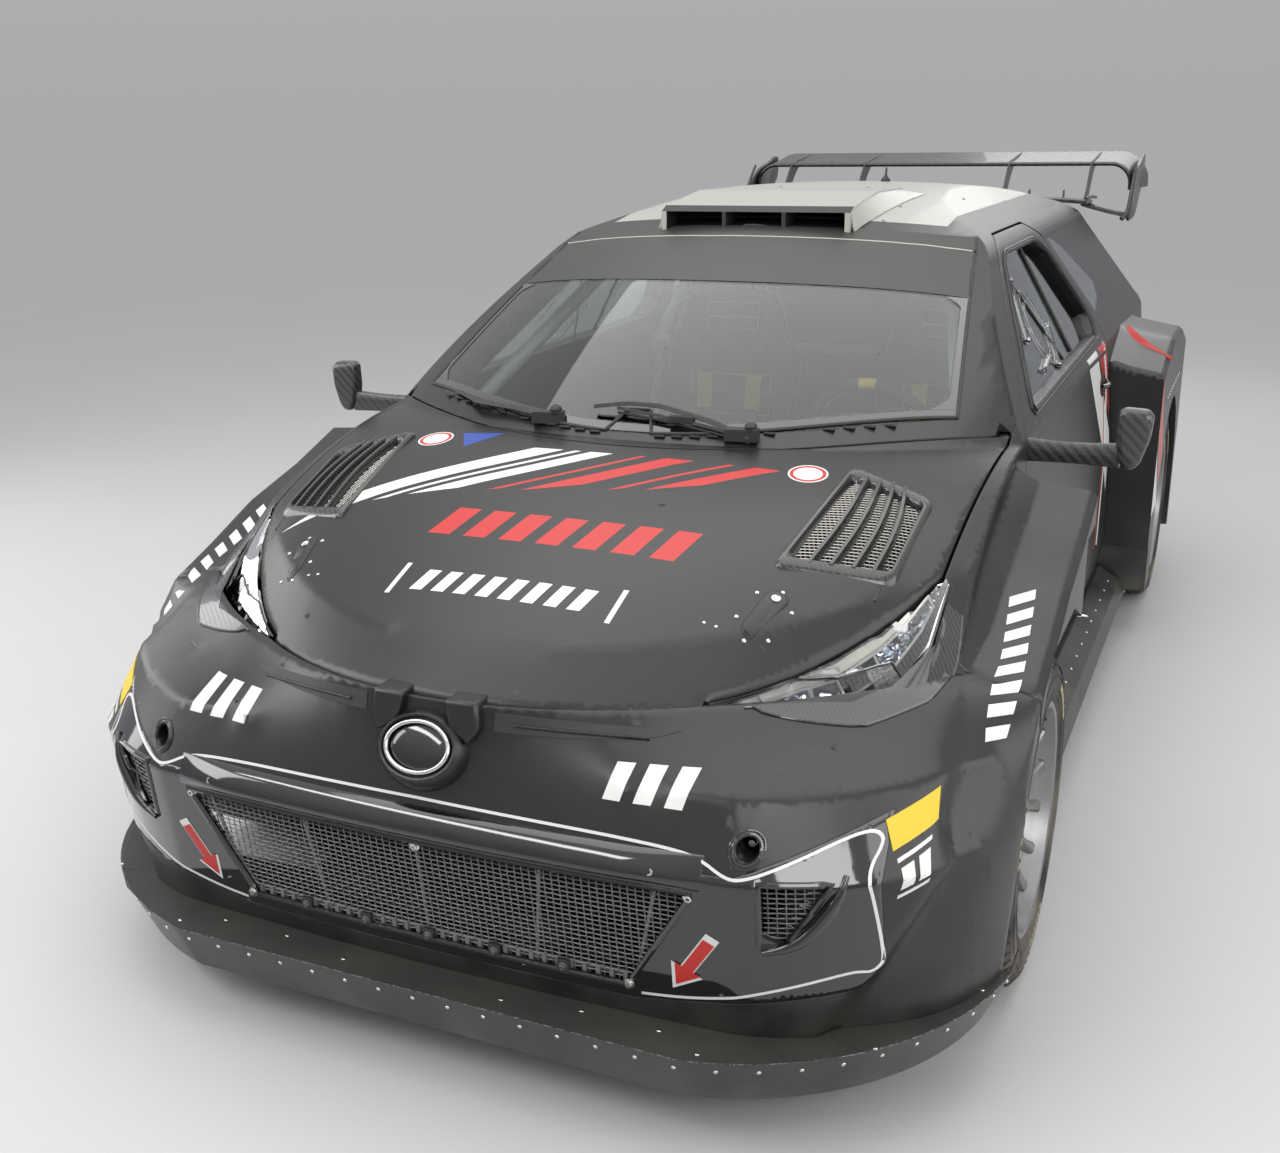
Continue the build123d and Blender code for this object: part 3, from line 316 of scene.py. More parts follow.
# One finish: colour with mottling, worn edges, dust and painted shapes
def makeFinish(
    name, colour, roughness, metallic=0.0, coat=0.0, grain=0.15, grainScale=40.0, fine=900.0, bump=0.05,
    wear=0.0, wearColour=(0.35, 0.35, 0.35), edge=0.0, dust=0.0, dustTop=0.5, paint=None, weave=0.0,
    cloth=0.0, extra=None, specular=0.5,
):
    material = bpy.data.materials.new(name)
    material.use_nodes = True
    tree = material.node_tree
    shader = tree.nodes["Principled BSDF"]
    shader.inputs["Metallic"].default_value = metallic
    shader.inputs["Coat Weight"].default_value = coat
    shader.inputs["Specular IOR Level"].default_value = specular
    if coat:
        shader.inputs["Coat Roughness"].default_value = 0.04
    place = addNode(tree, "ShaderNodeTexCoord").outputs["Object"]
    shape = addNode(tree, "ShaderNodeNewGeometry")
    spots = useGroup(tree, surfaceGrain, {"Place": place, "Scale": grainScale, "Fine": fine})
    darker = tuple(c * (1 - grain) for c in colour)
    lighter = tuple(min(1.0, c * (1 + grain) + grain * 0.01) for c in colour)
    base = blendColour(tree, spots["Value"], darker, lighter)
    rough = rangeNode(tree, spots["Value"], 0.2, 0.8, roughness * (1 - grain * 0.6),
                      roughness * (1 + grain * 0.6))
    height = spots["Height"]
    if weave:
        tows = useGroup(tree, twillWeave, {"Place": place, "Facing": shape.outputs["Normal"], "Tow": weave})
        # the weave is the fibre's own pattern; the tows that lie on top are painted lighter, a painted sheen
        # of the weave
        base = blendColour(tree, tows["Mask"], base, tuple(c * 2.0 + 0.003 for c in colour))
        rough = mathNode(tree, "ADD", rough, mathNode(tree, "MULTIPLY", tows["Mask"], 0.12))
        height = tows["Height"]
    if cloth:
        threads = useGroup(tree, clothWeave, {"Place": place, "Thread": cloth})
        base = blendColour(tree, rangeNode(tree, threads["Value"], 0.2, 0.8), base, lighter)
        height = threads["Height"]
    if paint:
        base, rough = paintShapes(tree, place, shape, base, rough, paint)
    if extra:
        base, rough = extra(tree, place, shape, base, rough)
    normal = None
    if edge:
        worn = useGroup(tree, edgeWear, {"Place": place, "Width": edge, "Amount": wear})
        normal = worn["Normal"]
        if wear:
            base = blendColour(tree, worn["Mask"], base, wearColour)
    if dust:
        dusty = useGroup(tree, roadDust, {"Place": place, "Top": dustTop, "Amount": dust})
        base = blendColour(tree, dusty["Mask"], base, (0.19, 0.17, 0.145))
        rough = mathNode(tree, "ADD", rough, mathNode(tree, "MULTIPLY", dusty["Mask"], 0.3), clamp=True)
    tree.links.new(base, shader.inputs["Base Color"])
    tree.links.new(rough, shader.inputs["Roughness"])
    if bump:
        relief = addNode(tree, "ShaderNodeBump", {"Height": height, "Strength": bump, "Distance": 0.001})
        if normal:
            tree.links.new(normal, relief.inputs["Normal"])
        normal = relief.outputs[0]
    if normal:
        tree.links.new(normal, shader.inputs["Normal"])
    finishes[name] = material
    return material


# Corner lists become straight-edged shapes. The plane is "top" (x, y), "side" (y, z) or "front" (x, z).
def edgeLines(corners):
    lines = []
    turn = sum(
        corners[i - 1][0] * corners[i][1] - corners[i][0] * corners[i - 1][1] for i in range(len(corners))
    )
    ordered = corners if turn > 0 else corners[::-1]
    for i in range(len(ordered)):
        (u1, v1), (u2, v2) = ordered[i - 1], ordered[i]
        a, b = -(v2 - v1), u2 - u1
        size = math.hypot(a, b)
        lines.append((a / size, b / size, -(a * u1 + b * v1) / size))
    return lines


def paintShapes(tree, place, shape, base, rough, shapes):
    part = addNode(tree, "ShaderNodeSeparateXYZ", {0: place}).outputs
    face = addNode(tree, "ShaderNodeSeparateXYZ", {0: shape.outputs["Normal"]}).outputs
    # paint lies on the outer faces only
    facings = {"top": mathNode(tree, "GREATER_THAN", face["Z"], 0.05)}
    for name, axis, least in (("side", "X", 0.6), ("front", "Y", 0.05)):
        outward = mathNode(tree, "MULTIPLY", face[axis], mathNode(tree, "SIGN", part[axis], 0.0))
        facings[name] = mathNode(tree, "GREATER_THAN", outward, least)
    flats = {}
    keys = {"top": ("X", "Y"), "side": ("Y", "Z"), "front": ("X", "Z")}
    for plane, kind, values, colour, gloss in shapes:
        if plane not in flats:
            u, v = keys[plane]
            flats[plane] = addNode(tree, "ShaderNodeCombineXYZ", {0: part[u], 1: part[v], 2: 1.0}).outputs[0]
        if kind == "round":
            middle, inner, outer = values
            mask = useGroup(
                tree, roundShape, {"Flat": flats[plane], "Middle": (*middle, 1.0),
                                   "Inner": inner, "Outer": outer}
            )["Mask"]
        else:
            lines = edgeLines(values)
            inputs = {f"Edge{n + 1}": line for n, line in enumerate(lines[:4])}
            mask = useGroup(tree, stripeShape, {"Flat": flats[plane], **inputs})["Mask"]
        mask = mathNode(tree, "MULTIPLY", mask, facings[plane])
        base = blendColour(tree, mask, base, colour)
        rough = addNode(tree, "ShaderNodeMix", {0: mask, 2: rough, 3: gloss}, data_type="FLOAT").outputs[0]
    return base, rough


def makeGlass(name, colour, roughness=0.01, ior=1.45, specular=0.5):
    material = bpy.data.materials.new(name)
    material.use_nodes = True
    tree = material.node_tree
    shader = tree.nodes["Principled BSDF"]
    shader.inputs["Transmission Weight"].default_value = 1.0
    shader.inputs["IOR"].default_value = ior
    shader.inputs["Specular IOR Level"].default_value = specular
    place = addNode(tree, "ShaderNodeTexCoord").outputs["Object"]
    spots = useGroup(tree, surfaceGrain, {"Place": place, "Scale": 6.0, "Fine": 300.0})
    tree.links.new(blendColour(tree, spots["Value"], tuple(c * 0.94 for c in colour), colour),
                   shader.inputs["Base Color"])
    film = rangeNode(tree, spots["Value"], 0.3, 0.8, roughness, roughness + 0.006)
    tree.links.new(film, shader.inputs["Roughness"])
    finishes[name] = material
    return material


white, red, blue = (0.62, 0.62, 0.60), (0.44, 0.014, 0.011), (0.012, 0.05, 0.30)
print("shader groups made")


# finishes
def bars(plane, start, step, count, corners, colour, gloss=0.35):
    shapes = []
    for n in range(count):
        moved = [(start[0] + step[0] * n + u, start[1] + step[1] * n + v) for u, v in corners]
        shapes.append((plane, "poly", moved, colour, gloss))
    return shapes


bonnetPaint = {
    "sweep": [
        ("top", "poly", [(x, y), (x + wide, y + wide * 0.38),
                         (x + wide + (-1.232 - y - wide * 0.38) * 1.3, -1.232),
                         (x + (-1.232 - y) * 1.3, -1.232)], colour, 0.32)
        for x, y, wide, colour in (
            (-0.610, -1.565, 0.135, white), (-0.425, -1.495, 0.030, white), (-0.355, -1.470, 0.100, white),
            (-0.190, -1.430, 0.028, red), (-0.120, -1.420, 0.120, red), (0.060, -1.385, 0.028, red),
            (0.135, -1.372, 0.105, red),
        )
    ],
    "middle": bars("top", (-0.23, -1.60), (0.078, 0.0), 7,
                   [(0, 0), (0.048, 0), (0.070, 0.095), (0.022, 0.095)], red),
    "front": bars("top", (-0.17, -1.775), (0.046, 0.0), 8,
                  [(0, 0), (0.026, 0), (0.038, 0.060), (0.012, 0.060)], white),
    "brackets": [
        ("top", "poly", [(-0.215, -1.79), (-0.205, -1.79), (-0.205, -1.70), (-0.215, -1.70)], white, 0.35),
        ("top", "poly", [(0.232, -1.79), (0.242, -1.79), (0.242, -1.70), (0.232, -1.70)], white, 0.35),
    ],
    "signs": [
        ("top", "round", ((0.424, -1.228), 0.0, 0.040), white, 0.3),
        ("top", "round", ((0.424, -1.228), 0.029, 0.036), red, 0.3),
        ("top", "round", ((-0.437, -1.207), 0.0, 0.040), white, 0.3),
        ("top", "round", ((-0.437, -1.207), 0.029, 0.036), red, 0.3),
        ("top", "poly", [(-0.385, -1.172), (-0.285, -1.165), (-0.345, -1.245)], blue, 0.3),
    ],
}
nosePaint = (
    bars("front", (-0.520, 0.585), (0.052, 0.0), 3,
         [(0, 0), (0.030, 0), (0.042, 0.052), (0.012, 0.052)], white)
    + bars("front", (0.330, 0.575), (0.052, 0.0), 3,
           [(0, 0), (0.030, 0), (0.042, 0.052), (0.012, 0.052)], white)
)
print("paint layouts set")

sidePaint = (
    bars("side", (-1.36, 0.545), (0.0, 0.0), 1, [(0, 0), (0.10, 0.02), (0.10, 0.06), (0, 0.04)], white)
    + [
        ("side", "poly", [(0.30, 0.955), (0.50, 0.955), (0.98, 0.40), (0.80, 0.40)], white, 0.3),
        ("side", "poly", [(0.54, 0.955), (0.70, 0.955), (1.16, 0.42), (1.02, 0.42)], red, 0.3),
        ("side", "poly", [(-0.52, 0.56), (-0.10, 0.56), (-0.06, 0.60), (-0.48, 0.60)], white, 0.3),
        ("side", "poly", [(-0.44, 0.49), (0.02, 0.49), (0.06, 0.53), (-0.40, 0.53)], red, 0.3),
        ("side", "poly", [(1.50, 0.965), (1.66, 0.975), (1.78, 0.86), (1.66, 0.86)], red, 0.3),
    ]
)
tailPaint = bars("front", (-0.36, 0.86), (0.075, 0.0), 4,
                 [(0, 0), (0.05, 0), (0.065, 0.05), (0.015, 0.05)], white)
tailPaint.append(("front", "poly", [(0.02, 0.86), (0.30, 0.86), (0.33, 0.91), (0.05, 0.91)], red, 0.3))


# Rough black on what faces up, smooth dark grey on the upright skirt
def splitterFaces(tree, place, shape, base, rough):
    face = addNode(tree, "ShaderNodeSeparateXYZ", {0: shape.outputs["Normal"]}).outputs
    up = rangeNode(tree, face["Z"], 0.5, 0.7)
    grit = addNode(tree, "ShaderNodeTexNoise", {"Vector": place, "Scale": 1400.0, "Detail": 2.0})
    speckled = blendColour(tree, rangeNode(tree, grit.outputs[0], 0.55, 0.7), (0.020, 0.020, 0.018),
                           (0.075, 0.075, 0.07))
    base = blendColour(tree, up, base, speckled)
    rough = addNode(tree, "ShaderNodeMix", {0: up, 2: 0.30, 3: 0.52}, data_type="FLOAT").outputs[0]
    return base, rough


bodyBlack = (0.0105, 0.0105, 0.0098)
makeFinish("satinBlack", bodyBlack, 0.33, edge=0.003, dust=0.25, dustTop=0.45, bump=0.02, wear=0.12)
makeFinish(
    "bonnetBlack", bodyBlack, 0.33, edge=0.003, bump=0.02, paint=sum(bonnetPaint.values(), []), wear=0.1
)
makeFinish("noseBlack", bodyBlack, 0.33, edge=0.004, dust=0.2, bump=0.02, paint=nosePaint, wear=0.1)
makeFinish("sideBlack", bodyBlack, 0.33, edge=0.003, dust=0.3, bump=0.02, paint=sidePaint, wear=0.1)
makeFinish("tailBlack", bodyBlack, 0.33, edge=0.003, bump=0.02, paint=tailPaint, wear=0.1)
makeFinish("glossBlack", (0.005, 0.005, 0.006), 0.06, coat=1.0, grain=0.1, edge=0.004, bump=0.01)
makeFinish("roofWhite", (0.36, 0.355, 0.32), 0.34, coat=0.1, grain=0.04, edge=0.003, bump=0.01)
makeFinish(
    "splitterBlack", (0.022, 0.022, 0.025), 0.34, edge=0.003, wear=0.8,
    wearColour=(0.5, 0.5, 0.5), dust=0.35,
    dustTop=0.25, bump=0.12, extra=splitterFaces,
)
makeFinish("carbonGloss", (0.012, 0.012, 0.013), 0.22, coat=0.6, grain=0.1, weave=0.0028, bump=0.012)
makeFinish("carbonWide", (0.020, 0.020, 0.021), 0.3, coat=0.4, grain=0.1, weave=0.006, bump=0.06)
makeFinish("moulded", (0.018, 0.018, 0.019), 0.55, grain=0.3, fine=1600.0, bump=0.25, edge=0.0015)
makeFinish("underbody", (0.022, 0.021, 0.020), 0.65, grain=0.4, dust=0.7, dustTop=0.6, bump=0.2)
makeFinish("rubber", (0.017, 0.016, 0.016), 0.78, grain=0.35, fine=700.0, bump=0.3, dust=0.8, dustTop=0.9)
# the wire's light grey is partly its bare metal and partly a painted highlight, the glint the wires catch
makeFinish("wire", (0.15, 0.15, 0.145), 0.5, metallic=0.35, grain=0.3, bump=0.05)
makeFinish("brightMetal", (0.62, 0.61, 0.59), 0.22, metallic=1.0, grain=0.15, grainScale=90, bump=0.03)
makeFinish("castSteel", (0.20, 0.195, 0.19), 0.48, metallic=0.9, grain=0.4, fine=1200, bump=0.2, dust=0.4)
makeFinish("discSteel", (0.30, 0.29, 0.28), 0.34, metallic=1.0, grain=0.3, grainScale=200, bump=0.08)
makeFinish(
    "rimSilver", (0.27, 0.27, 0.28), 0.34, metallic=0.85, grain=0.1, edge=0.0015, wear=0.2,
    dust=0.5, dustTop=0.8,
    bump=0.03,
)
makeFinish("cageGrey", (0.42, 0.43, 0.43), 0.35, grain=0.1, bump=0.05)
makeFinish("engineGrey", (0.16, 0.16, 0.165), 0.45, metallic=0.7, grain=0.35, edge=0.004, wear=0.4, bump=0.2)
makeFinish("coolerFins", (0.05, 0.05, 0.052), 0.5, metallic=0.6, grain=0.3, cloth=0.004, bump=0.5)
makeFinish("dashTrim", (0.014, 0.014, 0.014), 0.75, grain=0.3, fine=1300, bump=0.35)
makeFinish("seatCloth", (0.030, 0.030, 0.032), 0.92, grain=0.35, cloth=0.0022, bump=0.5)
makeFinish("beltCloth", (0.020, 0.020, 0.022), 0.8, grain=0.3, cloth=0.0018, bump=0.5)
makeFinish("suede", (0.022, 0.021, 0.021), 0.95, grain=0.4, fine=2200, bump=0.4)
makeFinish("stripeWhite", (0.60, 0.60, 0.58), 0.3, grain=0.05, bump=0.0)
makeFinish("stripeRed", (0.44, 0.014, 0.011), 0.28, grain=0.06, bump=0.01, edge=0.002)
makeFinish("tagYellow", (0.58, 0.42, 0.025), 0.6, grain=0.15, cloth=0.0018, bump=0.3)
makeFinish("lampStrip", (0.70, 0.68, 0.60), 0.28, coat=0.5, grain=0.05, bump=0.02)
makeFinish("mirrorBright", (0.80, 0.84, 0.90), 0.08, metallic=1.0, grain=0.06, bump=0.03)
makeFinish("redLens", (0.40, 0.006, 0.006), 0.12, coat=0.8, grain=0.15, cloth=0.006, bump=0.25)
makeGlass("screenGlass", (0.70, 0.75, 0.71), 0.0, specular=0.14)
makeGlass("sideGlass", (0.58, 0.62, 0.61), 0.0, specular=0.25)
makeGlass("lampGlass", (0.96, 0.97, 0.98))

nodeFinishes = {
    "body_shell": "satinBlack", "floor_pan": "underbody", "roof_panel": "roofWhite",
    "roof_scoop": "roofWhite", "front_bumper": "noseBlack",
    "front_insert": "glossBlack", "grille": "wire", "front_splitter": "splitterBlack",
    "headlamps": "glossBlack",
    "front_wings": "sideBlack", "windscreen": "screenGlass", "quarter_glass": "sideGlass",
    "rear_quarters": "sideBlack",
    "rear_bumper": "tailBlack", "tail_lamps": "redLens", "side_skirts": "satinBlack",
    "undertray": "underbody",
    "bonnet": "bonnetBlack", "bonnet_vents": "carbonGloss", "tailgate": "tailBlack",
    "rear_glass": "sideGlass",
    "rear_wing": "carbonGloss", "roll_cage": "cageGrey", "seats": "moulded", "dashboard": "dashTrim",
    "steering_wheel": "suede", "steering_rack": "castSteel", "engine_block": "engineGrey",
    "radiator": "coolerFins",
    "front_axle": "castSteel", "rear_axle": "castSteel",
}
for side in ("left", "right"):
    nodeFinishes.update({
        f"door_{side}": "sideBlack", f"door_glass_{side}": "sideGlass", f"mirror_{side}": "carbonWide",
        f"front_knuckle_{side}": "castSteel", f"front_wheel_{side}": "rimSilver",
        f"front_tyre_{side}": "rubber",
        f"rear_wheel_{side}": "rimSilver", f"rear_tyre_{side}": "rubber",
    })


def smoothShade(piece, degrees):
    for face in piece.data.polygons:
        face.use_smooth = True
    piece.data.set_sharp_from_angle(angle=math.radians(degrees))


for name, finish in nodeFinishes.items():
    piece = nodes[name]
    piece.data.materials.clear()
    piece.data.materials.append(finishes[finish])
print("CAD nodes finished:", len(nodeFinishes))


# floor, backdrop light and lamps
studio = {
    "floor": 160.0,
    "floorColour": (0.47, 0.47, 0.475),
    "worldLight": 0.85,
    "lamps": [
        # name, place, aim, size, power
        ("overhead", (0.0, -0.5, 4.2), (0, 0, 0), (5.0, 5.5), 130),
        ("frontLeft", (3.6, -5.2, 3.0), (0, -0.6, 0.6), (2.6, 2.0), 90),
        ("frontRight", (-4.4, -3.4, 2.8), (0, -0.4, 0.6), (2.4, 2.0), 70),
        ("behind", (0.8, 5.6, 3.2), (0, 0.5, 0.7), (3.0, 2.0), 30),
        ("leftSide", (4.6, -1.5, 1.8), (0.9, -1.2, 0.6), (3.8, 3.3), 85),
        ("rightSide", (-4.6, -1.0, 1.7), (-0.9, -0.8, 0.5), (3.2, 1.4), 35),
        ("nearStrip", (-1.9, -4.3, 3.9), (0.1, -2.0, 0.5), (3.8, 0.5), 60),
    ],
}


def makeStudio(plan):
    shape = bmesh.new()
    half = plan["floor"] / 2
    rows = [shape.verts.new((x, y, 0.0))
            for x, y in ((-half, -half), (half, -half), (half, half), (-half, half))]
    shape.faces.new(rows)
    data = bpy.data.meshes.new("studioFloor")
    shape.to_mesh(data)
    shape.free()
    floor = placed("studioFloor", data)
    data.materials.append(makeFinish("floorPaint", plan["floorColour"], 0.55, grain=0.05,
                                     grainScale=1.2, fine=200.0))
    for name, place, aim, size, power in plan["lamps"]:
        lamp = bpy.data.lights.new(name, "AREA")
        lamp.shape = "RECTANGLE"
        lamp.size, lamp.size_y = size
        lamp.energy = power
        holder = placed(name, lamp)
        holder.location = place
        holder.rotation_euler = (Vector(aim) - Vector(place)).to_track_quat("-Z", "Y").to_euler()
    world = bpy.data.worlds.new("studioWorld")
    bpy.context.scene.world = world
    world.use_nodes = True
    tree = world.node_tree
    tree.nodes.clear()
    ray = addNode(tree, "ShaderNodeLightPath").outputs
    seen = mathNode(tree, "MAXIMUM", ray["Is Camera Ray"], ray["Is Transmission Ray"])
    direction = addNode(tree, "ShaderNodeTexCoord").outputs["Generated"]
    height = addNode(tree, "ShaderNodeSeparateXYZ", {0: direction}).outputs["Z"]
    sky = blendColour(tree, rangeNode(tree, height, -0.02, 0.55, smooth=True), (0.402, 0.403, 0.407),
                      (0.66, 0.66, 0.66))
    shown = addNode(tree, "ShaderNodeBackground", {"Color": sky, "Strength": 1.0})
    glow = blendColour(tree, rangeNode(tree, height, 0.05, 0.75, smooth=True), (0.46, 0.47, 0.50),
                       (1.0, 1.0, 1.0))
    light = addNode(tree, "ShaderNodeBackground", {"Color": glow, "Strength": plan["worldLight"]})
    mixed = addNode(tree, "ShaderNodeMixShader", {0: seen, 1: light.outputs[0], 2: shown.outputs[0]})
    end = addNode(tree, "ShaderNodeOutputWorld")
    tree.links.new(mixed.outputs[0], end.inputs["Surface"])


makeStudio(studio)
print("studio ready")


# mesh helpers
def softEdges(piece, width, degrees=32):
    rounding = piece.modifiers.new("softEdges", "BEVEL")
    rounding.width = width
    rounding.segments = 2
    rounding.limit_method = "ANGLE"
    rounding.angle_limit = math.radians(degrees)


def turns(count):
    return [2 * math.pi * k / count for k in range(count)]


# Corners and faces gathered before they become one piece
class Shape:
    def __init__(self):
        self.corners, self.faces, self.slots = [], [], []

    def add(self, mesh, slot=0):
        corners, faces = mesh
        first = len(self.corners)
        self.corners.extend(Vector(corner) for corner in corners)
        self.faces.extend(tuple(first + i for i in face) for face in faces)
        self.slots.extend([slot] * len(faces))
        return self

    def mirrored(self):
        other = [Vector((-c.x, c.y, c.z)) for c in self.corners]
        turned = [tuple(reversed(face)) for face in self.faces]
        first, slots = len(self.corners), list(self.slots)
        self.corners.extend(other)
        self.faces.extend(tuple(first + i for i in face) for face in turned)
        self.slots.extend(slots)
        return self

    def piece(self, name, finishNames, slotName, body="car_body", smooth=35, bevel=0.0, flip=False):
        data = bpy.data.meshes.new(name)
        corners = [Vector((-c.x, c.y, c.z)) for c in self.corners] if flip else self.corners
        faces = [tuple(reversed(face)) for face in self.faces] if flip else self.faces
        data.from_pydata(corners, [], faces)
        for face, slot in zip(data.polygons, self.slots):
            face.material_index = slot
        sorter = bmesh.new()
        sorter.from_mesh(data)
        bmesh.ops.remove_doubles(sorter, verts=sorter.verts, dist=0.00002)
        bmesh.ops.recalc_face_normals(sorter, faces=sorter.faces)
        sorter.to_mesh(data)
        sorter.free()
        for finish in finishNames:
            data.materials.append(finishes[finish])
        made = placed(name, data)
        smoothShade(made, smooth)
        if bevel:
            softEdges(made, bevel)
        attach(made, body)
        return made


def alongCurve(points, count, closed=False):
    data = bpy.data.curves.new("guide", "CURVE")
    data.dimensions = "3D"
    data.resolution_u = 10
    line = data.splines.new("NURBS")
    line.points.add(len(points) - 1)
    for knot, point in zip(line.points, points):
        knot.co = (*point, 1.0)
    line.use_cyclic_u = closed
    line.order_u = 3
    line.use_endpoint_u = not closed
    holder = bpy.data.objects.new("guide", data)
    mesh = bpy.data.meshes.new_from_object(holder)
    dense = [v.co.copy() for v in mesh.vertices]
    bpy.data.objects.remove(holder)
    bpy.data.curves.remove(data)
    bpy.data.meshes.remove(mesh)
    return evenly(dense, count, closed)


# Points at equal distances along a run of straight pieces
def evenly(points, count, closed=False):
    points = [Vector(p) for p in points]
    if closed:
        points.append(points[0])
    lengths = [0.0]
    for a, b in zip(points, points[1:]):
        lengths.append(lengths[-1] + (b - a).length)
    total, made, index = lengths[-1], [], 0
    steps = count if closed else count - 1
    for n in range(count):
        goal = total * n / steps
        while index < len(points) - 2 and lengths[index + 1] < goal:
            index += 1
        span = lengths[index + 1] - lengths[index]
        share = (goal - lengths[index]) / span if span else 0.0
        made.append(points[index].lerp(points[index + 1], min(1.0, share)))
    return made


def tubeMesh(points, radius, sides=8, closed=False):
    points = [Vector(p) for p in points]
    count = len(points)
    corners, faces = [], []
    across = None
    for n, point in enumerate(points):
        before = points[n - 1] if n or closed else point
        after = points[(n + 1) % count] if n < count - 1 or closed else point
        ahead = (after - before).normalized()
        if across is None:
            across = ahead.cross(Vector((0, 0, 1)) if abs(ahead.z) < 0.9 else Vector((1, 0, 0))).normalized()
        across = (across - ahead * across.dot(ahead)).normalized()
        other = ahead.cross(across)
        size = radius[n] if isinstance(radius, list) else radius
        for angle in turns(sides):
            corners.append(point + across * (size * math.cos(angle)) + other * (size * math.sin(angle)))
    rows = count if closed else count - 1
    for n in range(rows):
        for k in range(sides):
            a, b = n * sides, ((n + 1) % count) * sides
            faces.append((a + k, a + (k + 1) % sides, b + (k + 1) % sides, b + k))
    if not closed:
        faces.append(tuple(range(sides)))
        faces.append(tuple((count - 1) * sides + k for k in range(sides)))
    return corners, faces


def ringsMesh(rings, loop=True, caps=True, around=False):
    size, corners, faces = len(rings[0]), [], []
    for ring in rings:
        corners.extend(Vector(p) for p in ring)
    rows = len(rings) if around else len(rings) - 1
    for n in range(rows):
        a, b = n * size, ((n + 1) % len(rings)) * size
        for k in range(size if loop else size - 1):
            faces.append((a + k, a + (k + 1) % size, b + (k + 1) % size, b + k))
    if caps and loop and not around:
        faces.append(tuple(range(size)))
        faces.append(tuple((len(rings) - 1) * size + k for k in range(size)))
    return corners, faces


def latheMesh(profile, centre, axis, sides=32):
    axis = Vector(axis).normalized()
    across = axis.orthogonal().normalized()
    other = axis.cross(across)
    rings = []
    for radius, along in profile:
        ring = [Vector(centre) + axis * along
                + (across * math.cos(angle) + other * math.sin(angle)) * radius for angle in turns(sides)]
        rings.append(ring)
    return ringsMesh(rings)


def slabMesh(corners, push):
    return ringsMesh([corners, [Vector(c) + Vector(push) for c in corners]])


def domeMesh(place, normal, radius, height, sides=8):
    profile = [(radius, -0.0005), (radius, height * 0.45), (radius * 0.72, height * 0.85),
               (radius * 0.3, height)]
    return latheMesh(profile, place, normal, sides)


def boltMesh(place, normal, radius, height):
    washer = latheMesh([(radius * 1.5, -0.0005), (radius * 1.5, height * 0.3), (radius, height * 0.35)],
                       place, normal, 14)
    head = [(radius, height * 0.3), (radius, height * 0.9), (radius * 0.85, height), (radius * 0.5, height),
            (radius * 0.42, height * 0.5), (radius * 0.1, height * 0.5)]
    corners, faces = latheMesh(head, place, normal, 12)
    first = len(washer[0])
    return washer[0] + corners, washer[1] + [tuple(first + i for i in face) for face in faces]


def boxMesh(centre, size, turn=None):
    half = [s / 2 for s in size]
    corners = []
    for x in (-half[0], half[0]):
        for y in (-half[1], half[1]):
            for z in (-half[2], half[2]):
                corner = Vector((x, y, z))
                corners.append(Vector(centre) + (turn @ corner if turn else corner))
    faces = [(0, 1, 3, 2), (4, 6, 7, 5), (0, 4, 5, 1), (2, 3, 7, 6), (0, 2, 6, 4), (1, 5, 7, 3)]
    return corners, faces


def scaled(outline, middle, scale):
    return [(middle[0] + (u - middle[0]) * scale, middle[1] + (v - middle[1]) * scale) for u, v in outline]


def roundedOutline(corners, radius, steps=5):
    made, count = [], len(corners)
    for n in range(count):
        here = Vector(corners[n])
        before = (Vector(corners[n - 1]) - here)
        after = (Vector(corners[(n + 1) % count]) - here)
        reach = min(radius, before.length * 0.45, after.length * 0.45)
        start, end = here + before.normalized() * reach, here + after.normalized() * reach
        for k in range(steps + 1):
            t = k / steps
            made.append(tuple(start * (1 - t) ** 2 + here * (2 * t * (1 - t)) + end * t * t))
    return made


# places on the CAD surfaces
skins = {}


def skinOf(name):
    if name not in skins:
        data = nodes[name].data
        skins[name] = BVHTree.FromPolygons([v.co for v in data.vertices],
                                           [tuple(f.vertices) for f in data.polygons])
    return skins[name]


def press(names, point, direction, lift=0.0, reach=0.5):
    direction = Vector(direction).normalized()
    start = Vector(point) - direction * reach
    best = None
    for name in names if isinstance(names, (tuple, list)) else (names,):
        hit, normal, _, apart = skinOf(name).ray_cast(start, direction, reach * 2)
        if hit is not None and (best is None or apart < best[2]):
            best = (hit, normal, apart)
    if best is None:
        first = names[0] if isinstance(names, (tuple, list)) else names
        hit, normal, _, _ = skinOf(first).find_nearest(Vector(point))
        best = (hit, normal, 0)
    normal = -best[1] if best[1].dot(direction) > 0 else best[1]
    return best[0] + normal * lift, normal


def facePoint(names, x, z, lift=0.0):
    start = -2.05       # ahead of the nose
    return press(names, (x, start, z), (0, 1, 0), lift)


# A thin band between two lines, laid on a surface and closed below
def bandMesh(lineA, lineB, rows, names, direction, lift=0.0008, depth=0.0012, closed=False, reach=0.5):
    top, low, count = [], [], len(lineA)
    for a, b in zip(lineA, lineB):
        for n in range(rows + 1):
            place, normal = press(names, Vector(a).lerp(Vector(b), n / rows), direction, lift, reach)
            top.append(place)
            low.append(place - normal * depth)
    size, faces = rows + 1, []
    half = len(top)
    for k in range(count if closed else count - 1):
        a, b = k * size, ((k + 1) % count) * size
        for n in range(rows):
            faces.append((a + n, a + n + 1, b + n + 1, b + n))
            faces.append((half + a + n, half + b + n, half + b + n + 1, half + a + n + 1))
        faces.append((a, b, half + b, half + a))
        faces.append((a + rows, half + a + rows, half + b + rows, b + rows))
    if not closed:
        for a in (0, (count - 1) * size):
            for n in range(rows):
                faces.append((a + n, half + a + n, half + a + n + 1, a + n + 1))
    return top + low, faces


print("mesh helpers ready")


